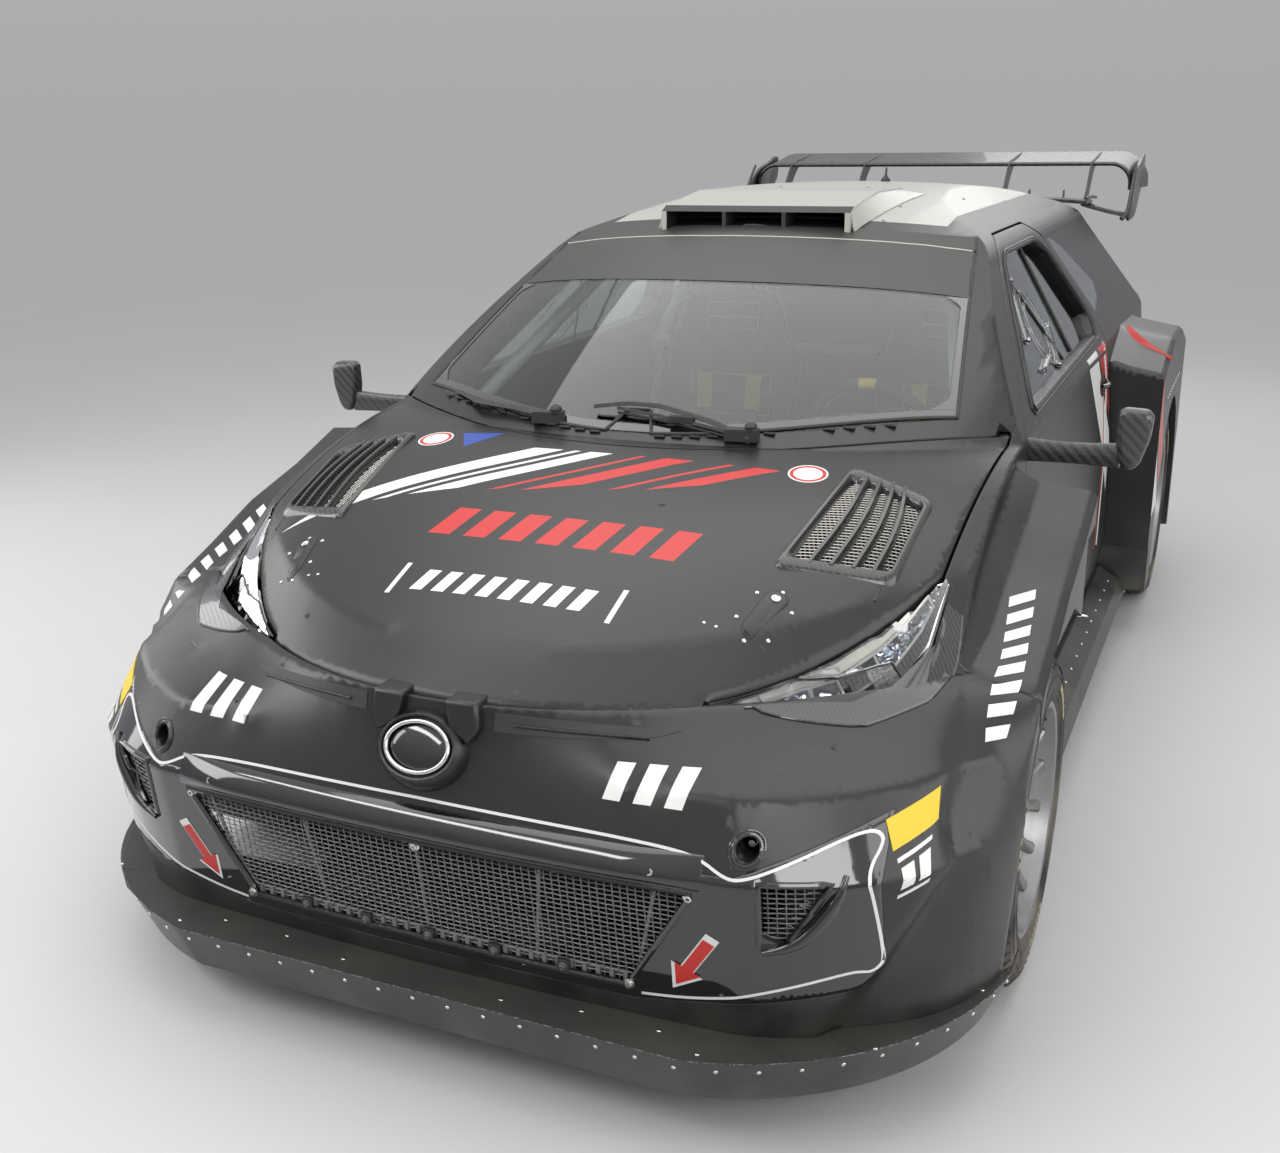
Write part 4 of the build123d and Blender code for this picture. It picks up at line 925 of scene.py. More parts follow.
# body panels: copies of the CAD faces, their shallow creases eased out
bodyOf = {node: body for body, listed in frame["record"]["behaviour"]["bodies"].items() for node in listed}
creasePlan = {
    # valley between the nose and the flare that runs down to the splitter
    "line": [(0.838, -1.590, 0.690), (0.846, -1.715, 0.610), (0.850, -1.800, 0.520), (0.838, -1.850, 0.410),
             (0.798, -1.895, 0.310), (0.752, -1.930, 0.235), (0.725, -1.950, 0.190)],
    "depth": 0.022,
    "inward": (-0.80, 0.60, 0.0),
    "wide": (0.095, 0.030),     # towards the nose, towards the flare
}


def creaseAt(point):
    near, best, ahead = None, 1.0, None
    spot = Vector((abs(point.x), point.y, point.z))
    line = creasePlan["line"]
    for a, b in zip(line, line[1:]):
        a, b = Vector(a), Vector(b)
        share = max(0.0, min(1.0, (spot - a).dot(b - a) / (b - a).length_squared))
        apart = (spot - a.lerp(b, share)).length
        if apart < best:
            near, best, ahead = a.lerp(b, share), apart, (b - a).normalized()
    outward = Vector(creasePlan["inward"]) * -1
    side = (spot - near).dot(ahead.cross(outward))
    wide = creasePlan["wide"][0 if side < 0 else 1]
    push = creasePlan["depth"] * math.exp(-((best / wide) ** 2))
    fade = min(1.0, max(0.0, (0.700 - spot.z) / 0.12)) * min(1.0, max(0.0, (spot.y + 2.02) / 0.06))
    step = Vector(creasePlan["inward"]) * push * fade
    return Vector((step.x if point.x > 0 else -step.x, step.y, step.z))


def eased(data, span, rounds, hold, crease=False):
    sorter = bmesh.new()
    sorter.from_mesh(data)
    bmesh.ops.remove_doubles(sorter, verts=sorter.verts, dist=0.0002)
    bmesh.ops.dissolve_limit(sorter, angle_limit=math.radians(1.0), verts=sorter.verts, edges=sorter.edges)
    bmesh.ops.triangulate(sorter, faces=sorter.faces)
    for _ in range(6):
        long = [edge for edge in sorter.edges if edge.calc_length() > span]
        if not long:
            break
        bmesh.ops.subdivide_edges(sorter, edges=long, cuts=1)
        bmesh.ops.triangulate(sorter, faces=[face for face in sorter.faces if len(face.verts) > 3])
    fixed = set()
    for edge in sorter.edges:
        if len(edge.link_faces) != 2 or edge.calc_face_angle(0.0) > math.radians(hold):
            fixed.update(vert.index for vert in edge.verts)
    loose = [vert for vert in sorter.verts if vert.index not in fixed]
    for _ in range(rounds):
        bmesh.ops.smooth_vert(sorter, verts=loose, factor=0.5, use_axis_x=True, use_axis_y=True,
                              use_axis_z=True)
    if crease:
        for vert in sorter.verts:
            if abs(vert.co.x) > 0.68 and vert.co.z < 0.72:
                vert.co += creaseAt(vert.co)
    sorter.to_mesh(data)
    sorter.free()


def softPanel(name, angle=24, span=0.0, rounds=0, hold=20.0, crease=False):
    source = nodes[name]
    data = source.data.copy()
    data.name = f"{name}Panel"
    if span:
        eased(data, span, rounds, hold, crease)
    else:
        sorter = bmesh.new()
        sorter.from_mesh(data)
        bmesh.ops.remove_doubles(sorter, verts=sorter.verts, dist=0.00001)
        bmesh.ops.dissolve_limit(sorter, angle_limit=math.radians(1.0), verts=sorter.verts,
                                 edges=sorter.edges)
        sorter.to_mesh(data)
        sorter.free()
    data.transform(source.matrix_world)
    made = placed(f"{name}Panel", data)
    smoothShade(made, angle)
    if not span:
        normals = made.modifiers.new("faceNormals", "WEIGHTED_NORMAL")
        normals.keep_sharp = True
    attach(made, bodyOf[name])
    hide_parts(name)
    skins[name] = BVHTree.FromPolygons([v.co for v in data.vertices],
                                       [tuple(f.vertices) for f in data.polygons])
    return made


panels = {
    # node: longest edge, rounds of easing, angle that stays sharp
    "body_shell": (0.0, 0, 0), "front_bumper": (0.018, 44, 26), "front_insert": (0.014, 6, 26),
    "front_splitter": (0.0, 0, 0), "front_wings": (0.020, 26, 26), "bonnet": (0.024, 16, 18),
    "roof_panel": (0.030, 8, 18), "rear_quarters": (0.028, 10, 26), "rear_bumper": (0.028, 8, 26),
    "tailgate": (0.030, 6, 20), "side_skirts": (0.0, 0, 0), "door_left": (0.030, 8, 20),
    "door_right": (0.030, 8, 20),
}
for name, (span, rounds, hold) in panels.items():
    softPanel(name, max(24, hold), span, rounds, hold, crease=name == "front_bumper")
insert = bpy.data.objects["front_insertPanel"]
insert.data.materials.append(finishes["moulded"])
for face in insert.data.polygons:
    if face.normal.y > -0.35:
        face.material_index = 1
print("panels smoothed:", len(panels))


# grille: woven wire, ribs, screws and the bolted lower lip
grillePlan = {
    "low": (0.375, 0.249),
    "high": (0.496, 0.455),
    "cellX": 0.0134,
    "cellZ": 0.0094,
    "wire": 0.0013,
    "weave": 0.0009,
    "ribs": (-0.405, -0.215, -0.005, 0.205, 0.385),
}
front = ("grille", "front_insert", "front_bumper")


def grilleHalf(plan, z):
    (x1, z1), (x2, z2) = plan["low"], plan["high"]
    return x1 + (x2 - x1) * (z - z1) / (z2 - z1)


def wovenSheet(shape, inside, rangeX, rangeZ, plan, names="grille"):
    columns = int((rangeX[1] - rangeX[0]) / plan["cellX"])
    rows = int((rangeZ[1] - rangeZ[0]) / plan["cellZ"])
    for upright, lines, knots in ((True, columns, rows), (False, rows, columns)):
        for i in range(lines + 1):
            run = []
            for k in range(knots * 2 + 1):
                across, rise = (i, k / 2) if upright else (k / 2, i)
                x, z = rangeX[0] + across * plan["cellX"], rangeZ[0] + rise * plan["cellZ"]
                if inside(x, z):
                    side = 1 if ((k // 2 + i) % 2 == 1) == upright else -1
                    bend = side * plan["weave"] if k % 2 == 0 else 0
                    run.append(facePoint(names, x, z)[0] + Vector((0, 0.003 + bend, 0)))
            if len(run) > 2:
                shape.add(tubeMesh(run, plan["wire"], 4))


def makeGrille(plan):
    mesh = Shape()
    lowZ, highZ = plan["low"][1], plan["high"][1]
    wovenSheet(
        mesh, lambda x, z: abs(x) < grilleHalf(plan, z) + 0.004 and lowZ - 0.002 < z < highZ + 0.002,
        (-0.5, 0.5), (lowZ, highZ), plan,
    )
    intake = [(0.600, 0.372), (0.640, 0.372), (0.704, 0.486), (0.600, 0.486)]
    for side in (-1, 1):
        wovenSheet(
            mesh, lambda x, z: 0.598 < abs(x) < 0.642 + max(0.0, (z - 0.372)) * 0.56 and 0.374 < z < 0.486,
            (0.598, 0.706) if side > 0 else (-0.706, -0.598), (0.374, 0.486), plan,
        )
    piece = mesh.piece("grilleWire", ["wire"], "mesh")
    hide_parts("grille")
    frame = Shape()
    for x in plan["ribs"]:
        lean = x * 0.12
        line = [facePoint("grille", x + lean * (z - lowZ) / 0.2, z)[0]
                for z in [lowZ + (highZ - lowZ) * n / 10 for n in range(11)]]
        frame.add(tubeMesh([p + Vector((0, 0.006, 0)) for p in line], 0.0035, 8))
    # lower lip: a slotted strip with clamps
    count = 61
    for k in range(count):
        x = -0.37 + 0.74 * k / (count - 1)
        place, normal = facePoint(front, x, lowZ + 0.003)
        if k % 2 == 0:
            frame.add(boxMesh(place + Vector((0, 0.002, 0.006)), (0.0075, 0.009, 0.020)))
    for rise, push, thick in ((-0.001, 0.004, 0.006), (0.016, 0.006, 0.0035)):
        line = [facePoint(front, -0.374 + 0.748 * k / 40, lowZ + rise)[0] + Vector((0, push, 0))
                for k in range(41)]
        frame.add(tubeMesh(line, thick, 8))
    # rim round the opening
    edge = []
    for a, b in (((-0.375, 0.249), (0.375, 0.249)), ((0.375, 0.249), (0.496, 0.455)),
                 ((0.496, 0.455), (-0.496, 0.455)), ((-0.496, 0.455), (-0.375, 0.249))):
        for n in range(24):
            x, z = a[0] + (b[0] - a[0]) * n / 24, a[1] + (b[1] - a[1]) * n / 24
            edge.append(facePoint(front, x * 1.004, z)[0] + Vector((0, 0.003, 0)))
    frame.add(tubeMesh(edge, 0.006, 8, closed=True), 1)
    for side in (-1, 1):
        ring = []
        for n in range(4):
            a, b = intake[n - 1], intake[n]
            for k in range(8):
                x, z = a[0] + (b[0] - a[0]) * k / 8, a[1] + (b[1] - a[1]) * k / 8
                ring.append(facePoint(front, side * x, z)[0] + Vector((0, 0.002, 0)))
        frame.add(tubeMesh(ring, 0.006, 8, closed=True), 1)
        # curled lip below the side intake
        lip = [(0.604, 0.362), (0.650, 0.372), (0.690, 0.420), (0.716, 0.470), (0.722, 0.496)]
        curl = [facePoint(front, side * x, z, 0.004)[0] for x, z in lip]
        frame.add(tubeMesh(alongCurve(curl, 24),
                           [0.004 + 0.008 * math.sin(math.pi * n / 23) for n in range(24)], 12), 1)
    frame.piece("grilleFrame", ["wire", "glossBlack"], "dark_plastic")
    bolts = Shape()
    spots = [(0.490, 0.447), (0.381, 0.256), (-0.490, 0.447), (-0.381, 0.256), (0.0, 0.447),
             (0.43, 0.484), (-0.43, 0.484)]
    for x, z in spots:
        place, normal = facePoint(front, x, z, 0.003)
        bolts.add(boltMesh(place, normal, 0.0065, 0.008))
    bolts.piece("grilleScrews", ["brightMetal"], "steel")
    clamps = Shape()
    for x in (-0.26, -0.13, 0.0, 0.13, 0.26):
        place, normal = facePoint(front, x, lowZ + 0.010, 0.004)
        clamps.add(boxMesh(place - Vector((0, 0.001, 0)), (0.022, 0.008, 0.024)))
        clamps.add(boltMesh(place - Vector((0, 0.004, 0)), normal, 0.005, 0.006), 1)
    clamps.piece("grilleClamps", ["moulded", "castSteel"], "dark_plastic", bevel=0.0012)


makeGrille(grillePlan)
print("grille woven")


# nose: pinstripe, arrows, signs, ring housing and slots
nosePlan = {
    "stripe": [(0.0, 0.530), (0.27, 0.528), (0.45, 0.522), (0.505, 0.513), (0.545, 0.492), (0.575, 0.489),
               (0.640, 0.514), (0.705, 0.542), (0.742, 0.551), (0.760, 0.543), (0.762, 0.528),
               (0.750, 0.503), (0.759, 0.470), (0.776, 0.340), (0.770, 0.322), (0.755, 0.312),
               (0.738, 0.320), (0.660, 0.298), (0.500, 0.246), (0.400, 0.238)],
    "stripeWidth": 0.0045,
    "ring": (0.0, 0.612),
    "band": (0.463, 0.518, 0.512),      # low, high and half length
    "bandDepth": 0.016,
}


def ribbonMesh(points, names, direction, width, count, lift=0.0008, depth=0.0012):
    line = evenly(points, count)
    left, right = [], []
    direction = Vector(direction).normalized()
    for n, point in enumerate(line):
        ahead = (line[min(n + 1, count - 1)] - line[max(n - 1, 0)]).normalized()
        side = ahead.cross(direction).normalized() * (width / 2)
        left.append(point + side)
        right.append(point - side)
    return bandMesh(left, right, 1, names, direction, lift, depth)


def makeNoseTrim(plan):
    names = ("front_insert", "front_bumper")
    stripe = Shape()
    half = alongCurve([(x, -2.05, z) for x, z in plan["stripe"]], 160)
    stripe.add(ribbonMesh(half, names, (0, 1, 0), plan["stripeWidth"], 220))
    stripe.mirrored().piece("nosePinstripe", ["stripeWhite"], "white_paint")
    # rounded gloss band over the grille
    band, rows = Shape(), []
    low, high, half = plan["band"]
    for n in range(73):
        x = half * (2 * n / 72 - 1)
        ends = math.sin(min(1.0, (half - abs(x)) / 0.15) * math.pi / 2)
        front, back = [], []
        for k in range(15):
            across = 2 * k / 14 - 1
            place = facePoint(names, x, low + (high - low) * k / 14, 0.0004)[0]
            bulge = plan["bandDepth"] * ends * math.sqrt(max(0.0, 1 - across * across))
            front.append(place - Vector((0, bulge, 0)))
            back.append(place + Vector((0, 0.004, 0)))
        rows.append(front + back[::-1])
    band.add(ringsMesh(rows))
    band.piece("glossBand", ["glossBlack"], "gloss_black", smooth=60)
    arrow = Shape()
    outline = [(0.462, 0.272), (0.505, 0.296), (0.492, 0.302), (0.530, 0.362), (0.512, 0.372),
               (0.474, 0.311), (0.462, 0.318)]
    middle = Vector((0.49, 0.315))
    for scale, lift, slot in ((1.22, 0.0008, 0), (1.0, 0.0016, 1)):
        corners = [facePoint(names, u, v, lift)[0] for u, v in scaled(outline, middle, scale)]
        arrow.add((corners, [tuple(range(7))]), slot)
    arrow.mirrored().piece("towArrows", ["stripeWhite", "stripeRed"], "white_paint")
    signs = Shape()
    # each is set out by its share of the sign's field, across and down
    field = [Vector(p) for p in ((0.772, -1.897, 0.560), (0.835, -1.794, 0.590), (0.842, -1.880, 0.470),
                                 (0.789, -1.930, 0.445))]
    facing = Vector((-0.80, 0.60, 0.0))

    def signPoint(across, down):
        top, low = field[0].lerp(field[1], across), field[3].lerp(field[2], across)
        return top.lerp(low, down)

    for (u1, v1, u2, v2), slot in (((0.0, 0.0, 0.96, 0.36), 0), ((0.04, 0.46, 0.80, 0.51), 1),
                                   ((0.08, 0.58, 0.36, 0.86), 1), ((0.48, 0.58, 0.76, 0.86), 1),
                                   ((0.06, 0.94, 0.82, 0.99), 1)):
        top = [signPoint(u1 + (u2 - u1) * n / 10, v1) for n in range(11)]
        low = [signPoint(u1 + (u2 - u1) * n / 10, v2) for n in range(11)]
        signs.add(bandMesh(top, low, 5, ("front_bumper", "front_insert"), facing, 0.0012, 0.0014,
                           False, 0.06), slot)
    # slanted bars down the flare
    left = [Vector(p) for p in ((0.823, -1.293, 0.767), (0.848, -1.447, 0.708), (0.838, -1.599, 0.667),
                                (0.869, -1.688, 0.613))]
    right = [Vector(p) for p in ((0.890, -1.252, 0.776), (0.902, -1.395, 0.717), (0.912, -1.521, 0.670),
                                 (0.905, -1.647, 0.603))]
    facing = Vector((-0.55, 0.45, -0.70))
    left, right = alongCurve(left, 60), alongCurve(right, 60)
    for k in range(8):
        first, last = 1 + 7 * k, 5 + 7 * k
        top = [left[first + 2].lerp(right[first], 0.18 + 0.64 * n / 8) for n in range(9)]
        low = [left[min(59, last + 2)].lerp(right[last], 0.18 + 0.64 * n / 8) for n in range(9)]
        signs.add(bandMesh(top, low, 4, ("front_wings", "front_bumper"), facing, 0.0012, 0.0014,
                           False, 0.08), 1)
    signs.mirrored().piece("sideSigns", ["tagYellow", "stripeWhite"], "white_paint")
    # ring in its housing
    x, z = plan["ring"]
    place, _ = facePoint("front_bumper", x, z)
    face = Vector((0, -0.88, 0.47)).normalized()
    centre = place + Vector((0, -0.022, 0.006))
    sideways = Vector((1, 0, 0))
    upward = face.cross(sideways) * -1

    def oval(rx, rz, push, count=56, power=2.0):
        ring = []
        for angle in turns(count):
            c, s = math.cos(angle), math.sin(angle)
            u = math.copysign(abs(c) ** (2 / power), c) * rx
            v = math.copysign(abs(s) ** (2 / power), s) * rz
            ring.append(centre + sideways * u + upward * v + face * push)
        return ring

    cup = Shape()
    cup.add(ringsMesh([oval(0.090, 0.074, -0.050), oval(0.086, 0.070, -0.020), oval(0.078, 0.061, -0.002),
                       oval(0.073, 0.056, 0.004), oval(0.069, 0.052, 0.003), oval(0.067, 0.050, -0.004)]))
    cup.piece("ringHousing", ["satinBlack"], "body_paint", smooth=60)
    ring = Shape()
    ring.add(tubeMesh(oval(0.060, 0.043, 0.002), 0.0042, 12, closed=True))
    ring.add(ringsMesh([oval(0.058, 0.041, -0.004), oval(0.050, 0.034, -0.001), oval(0.030, 0.020, 0.002),
                        oval(0.006, 0.004, 0.003)]), 1)
    ring.piece("noseRing", ["brightMetal", "glossBlack"], "steel", smooth=60)
    # square shoulders of the housing and the slots beside it
    block = Shape()
    for side in (-1, 1):
        outline = [(side * 0.040, 0.700), (side * 0.100, 0.700), (side * 0.106, 0.655),
                   (side * 0.088, 0.628), (side * 0.050, 0.650)]
        front = [Vector((u, facePoint("front_bumper", u, v)[0].y - 0.016, v)) for u, v in outline]
        back = [p + Vector((0, 0.05, 0)) for p in front]
        block.add(ringsMesh([back, front]))
    block.piece("ringShoulders", ["satinBlack"], "body_paint", bevel=0.006)
    slots = Shape()
    for side in (-1, 1):
        top = [(side * (0.125 + 0.30 * n / 16), -2.0, 0.683 - 0.005 * n / 16) for n in range(17)]
        low = [(side * (0.125 + 0.27 * n / 16), -2.0, 0.650 + 0.018 * (n / 16) ** 2) for n in range(17)]
        slots.add(bandMesh(top, low, 2, "front_bumper", (0, 1, -0.15), 0.0006))
    slots.piece("noseSlots", ["moulded"], "dark_plastic")
    caps = Shape()
    for side in (-1, 1):
        line = [Vector((side * (0.16 + 0.22 * n / 10), 0, 0)) for n in range(11)]
        caps.add(tubeMesh([press("front_bumper", (p.x, -2.0, 0.664), (0, 1, -0.15), 0.002)[0] for p in line],
                          0.0025, 6))
    caps.piece("slotBars", ["satinBlack"], "dark_plastic")
    # rims that follow the face round the tow eye holes, and the pins inside
    eyes = Shape()
    for side in (-1, 1):
        for radius, thick in ((0.0215, 0.0034), (0.0265, 0.0022)):
            ring = [press("front_bumper",
                          (side * 0.575 + radius * math.cos(a), -2.2, 0.532 + radius * math.sin(a)),
                          (0, 1, 0), 0.001, 0.5)[0]
                    for a in turns(36)]
            eyes.add(tubeMesh(ring, thick, 8, closed=True))
        mouth = min(p.y for p in ring)
        eyes.add(latheMesh([(0.007, 0.0), (0.007, 0.020), (0.0055, 0.023), (0.001, 0.023)],
                           (side * 0.575, mouth + 0.065, 0.532), (0, -1, 0), 16), 1)
    eyes.piece("towEyeRims", ["glossBlack", "brightMetal"], "dark_plastic")


makeNoseTrim(nosePlan)
print("nose trimmed")


# splitter: bright edge, rivets and panel joints
splitterPlan = {
    "edge": [(0.0, -2.1095), (0.25, -2.1095), (0.495, -2.1095), (0.60, -2.078), (0.705, -2.022),
             (0.788, -1.944), (0.857, -1.842), (0.905, -1.738), (0.9345, -1.640), (0.9345, -1.56)],
    "rivetStep": 0.066,
}


def makeSplitterTrim(plan):
    edge = Shape()
    half = evenly([(x, y, 0.1885) for x, y in plan["edge"]], 90)
    edge.add(tubeMesh(half, 0.0018, 6))
    edge.mirrored().piece("splitterEdge", ["satinBlack"], "steel", smooth=60)
    rivets = Shape()
    length = sum((b - a).length for a, b in zip(half, half[1:]))
    for point in evenly(half, int(length / plan["rivetStep"])):
        ahead = Vector((-0.35 if point.x < 0.55 else -1.0, 1.0, 0)) if point.x > 0.45 else Vector((0, 1, 0))
        place, normal = press("front_splitter", (point.x, point.y, 0.168), ahead, 0.0)
        rivets.add(domeMesh(place, normal, 0.0042, 0.0022, 10))
    rows = [(0.30, -2.05), (0.16, -2.075), (0.44, -2.05), (0.60, -1.985), (0.735, -1.895), (0.82, -1.80),
            (0.885, -1.66), (0.90, -1.72), (0.775, -1.955), (0.52, -2.085)]
    for x, y in rows:
        place, normal = press("front_splitter", (x, y, 0.19), (0, 0, -1), 0.0, 0.1)
        rivets.add(domeMesh(place, normal, 0.0042, 0.002, 10))
    rivets.mirrored().piece("splitterRivets", ["brightMetal"], "steel", smooth=60)
    joint = Shape()
    joint.add(ribbonMesh([(0.700, -1.955, 0.19), (0.775, -1.975, 0.19)], "front_splitter", (0, 0, -1),
                         0.0018, 12, 0.0003))
    joint.mirrored().piece("splitterJoints", ["moulded"], "dark_plastic")


makeSplitterTrim(splitterPlan)
print("splitter trimmed")


# headlamps
lampPlan = {
    # plan corners of the lamp's clear cover on its left side: inner edge, tip, outer edge
    "inner": [(0.731, -1.402), (0.670, -1.535), (0.606, -1.648), (0.525, -1.752), (0.447, -1.838)],
    "outer": [(0.747, -1.416), (0.744, -1.530), (0.722, -1.622), (0.655, -1.722), (0.452, -1.856)],
    "facing": (0.2, -0.55, 0.81),
    "reflectors": ((0.10, 0.40), (0.40, 0.66), (0.66, 0.86)),
}


def lampPoint(plan, along, across, lift):
    inner = evenly([(x, y, 0) for x, y in plan["inner"]], 41)
    outer = evenly([(x, y, 0) for x, y in plan["outer"]], 41)
    place = along * 40
    n = min(39, int(place))
    a = inner[n].lerp(inner[n + 1], place - n)
    b = outer[n].lerp(outer[n + 1], place - n)
    point = a.lerp(b, across)
    return press("headlamps", (point.x, point.y, 0.75), (0, 0, -1), 0.0,
                 0.4)[0] + Vector(plan["facing"]) * lift


def lampStripMesh(plan, low, high, start, end, lift, steps=26, rows=2, depth=0.003):
    top = [[lampPoint(plan, start + (end - start) * k / steps, low + (high - low) * n / rows, lift)
            for n in range(rows + 1)] for k in range(steps + 1)]
    under = [[p - Vector((0, -0.3, 0.95)) * depth for p in row] for row in top]
    rings = [a + list(reversed(b)) for a, b in zip(top, under)]
    return ringsMesh(rings)


def makeHeadlamps(plan):
    bowl = Shape()
    bowl.add(lampStripMesh(plan, 0.0, 1.0, 0.0, 1.0, -0.038, 30, 4, 0.004))
    for low, high, lift in ((0.0, 0.10, 0.0), (0.90, 1.0, -0.001)):
        bowl.add(lampStripMesh(plan, low, high, 0.0, 1.0, lift, 40, 2, 0.032))
    bowl.add(lampStripMesh(plan, 0.97, 1.30, 0.02, 0.80, -0.010, 30, 2, 0.006), 1)
    bowl.mirrored().piece("lampBowls", ["glossBlack", "carbonGloss"], "lamp", smooth=40)
    bezel = Shape()
    bezel.add(lampStripMesh(plan, 0.62, 0.93, 0.02, 0.62, -0.006, 30, 3, 0.020))
    for k in range(30):
        t = 0.05 + 0.52 * k / 29
        bezel.add(tubeMesh([lampPoint(plan, t, 0.62 + 0.3 * n / 4, -0.0045) for n in range(5)], 0.0014, 5))
    bezel.mirrored().piece("lampBezels", ["carbonGloss"], "lamp", smooth=40)
    strip = Shape()
    strip.add(lampStripMesh(plan, 0.12, 0.27, 0.0, 0.93, -0.003, 40, 2, 0.010))
    strip.mirrored().piece("lampStrips", ["lampStrip"], "lamp", smooth=40, bevel=0.0015)
    dots = Shape()
    for t in (0.055, 0.085, 0.115):
        place = lampPoint(plan, t, 0.55, -0.004)
        dots.add(domeMesh(place, plan["facing"], 0.0034, 0.002, 14))
    dots.mirrored().piece("lampDots", ["mirrorBright"], "lamp", smooth=60)
    mirrors = Shape()
    for start, end in plan["reflectors"]:
        rim, steps = [], 12
        for n in range(steps + 1):
            t = start + (end - start) * n / steps
            rim.append((t, 0.31))
        for n in range(1, steps + 1):
            rim.append((end, 0.31 + 0.31 * n / steps))
        for n in range(1, steps + 1):
            rim.append((end - (end - start) * n / steps, 0.62))
        for n in range(1, steps):
            rim.append((start, 0.62 - 0.31 * n / steps))
        middle = ((start + end) / 2, 0.465)
        mirrors.add(ringsMesh([[lampPoint(plan, middle[0] + (t - middle[0]) * scale,
                                          middle[1] + (a - middle[1]) * scale, lift) for t, a in rim]
                                          for scale, lift in ((1.0, -0.006), (0.97, -0.012), (0.80, -0.026),
                                                              (0.42, -0.034), (0.10, -0.035))], caps=False))
        # stepped facets across the reflector and the lens block over it
        for k in range(5):
            t = start + (end - start) * (0.16 + 0.17 * k)
            mirrors.add(tubeMesh([lampPoint(plan, t + 0.012 * math.sin(n * 1.3), 0.34 + 0.25 * n / 6,
                                            -0.022 + 0.004 * (n % 2)) for n in range(7)], 0.0022, 5))
        mirrors.add(tubeMesh([lampPoint(plan, t, a, -0.005) for t, a in rim], 0.0026, 6, closed=True), 1)
        centre = lampPoint(plan, middle[0], 0.465, -0.030)
        profile = [(0.0, -0.002), (0.016, 0.0), (0.0165, 0.006), (0.012, 0.013),
                   (0.006, 0.0165), (0.0, 0.0175)]
        mirrors.add(latheMesh([(max(r, 0.0004), h) for r, h in profile], centre, (0.2, -0.62, 0.76), 24), 2)
    mirrors.mirrored().piece("lampReflectors", ["mirrorBright", "stripeWhite", "lampGlass"],
                             "lamp", smooth=50)
    cover = Shape()
    cover.add(lampStripMesh(plan, 0.0, 1.0, 0.0, 1.0, 0.0012, 40, 6, 0.0016))
    piece = cover.mirrored().piece("lampCovers", ["lampGlass"], "lamp", smooth=60)
    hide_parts("headlamps")
    border = Shape()
    border.add(lampStripMesh(plan, -0.07, 0.07, 0.0, 1.0, 0.0026, 40, 1, 0.004))
    border.add(tubeMesh([lampPoint(plan, n / 40, 1.0, 0.002) for n in range(41)], 0.0022, 6))
    # carbon surround on the bumper below the lamp
    outer = evenly([(x, y, 0) for x, y in plan["outer"]], 41)
    near, far = [], []
    for n in range(2, 37):
        ahead = (outer[min(n + 1, 40)] - outer[n - 1]).normalized()
        away = Vector((-ahead.y, ahead.x, 0))
        away = away if away.x - away.y > 0 else -away
        near.append(outer[n] + away * 0.004 + Vector((0, 0, 0.9)))
        far.append(outer[n] + away * (0.006 + 0.046
                                      * math.sin(math.pi
                                                 * min(1.0, (n + 3) / 38)) ** 0.6) + Vector((0, 0, 0.9)))
    surround = Shape()
    surround.add(bandMesh(near, far, 6, ("front_bumper", "front_wings", "headlamps"), (0, 0, -1), 0.0012,
                          0.0014, False, 0.5))
    surround.add(tubeMesh([press(("front_bumper", "front_wings", "headlamps"), p, (0, 0, -1), 0.001, 0.5)[0]
                           for p in far], 0.0024, 6), 1)
    surround.mirrored().piece("lampSurrounds", ["carbonGloss", "glossBlack"], "lamp", smooth=50)
    border.mirrored().piece("lampBorders", ["glossBlack"], "lamp", smooth=60)


makeHeadlamps(lampPlan)
print("headlamps made")


# bonnet: vents, latches and fasteners
ventPlan = {
    "outline": [(0.474, -1.540), (0.655, -1.478), (0.664, -1.250), (0.508, -1.200)],
    "cell": 0.0088,
    "ribs": (0.22, 0.43, 0.64, 0.83),
}


def topPoint(names, x, y, lift=0.0):
    return press(names, (x, y, 0.9), (0, 0, -1), lift, 0.6)


def insidePlan(outline, x, y, margin=0.0):
    count = len(outline)
    for n in range(count):
        (x1, y1), (x2, y2) = outline[n], outline[(n + 1) % count]
        edge = math.hypot(x2 - x1, y2 - y1)
        side = ((x2 - x1) * (y - y1) - (y2 - y1) * (x - x1)) / edge
        if side < margin:
            return False
    return True


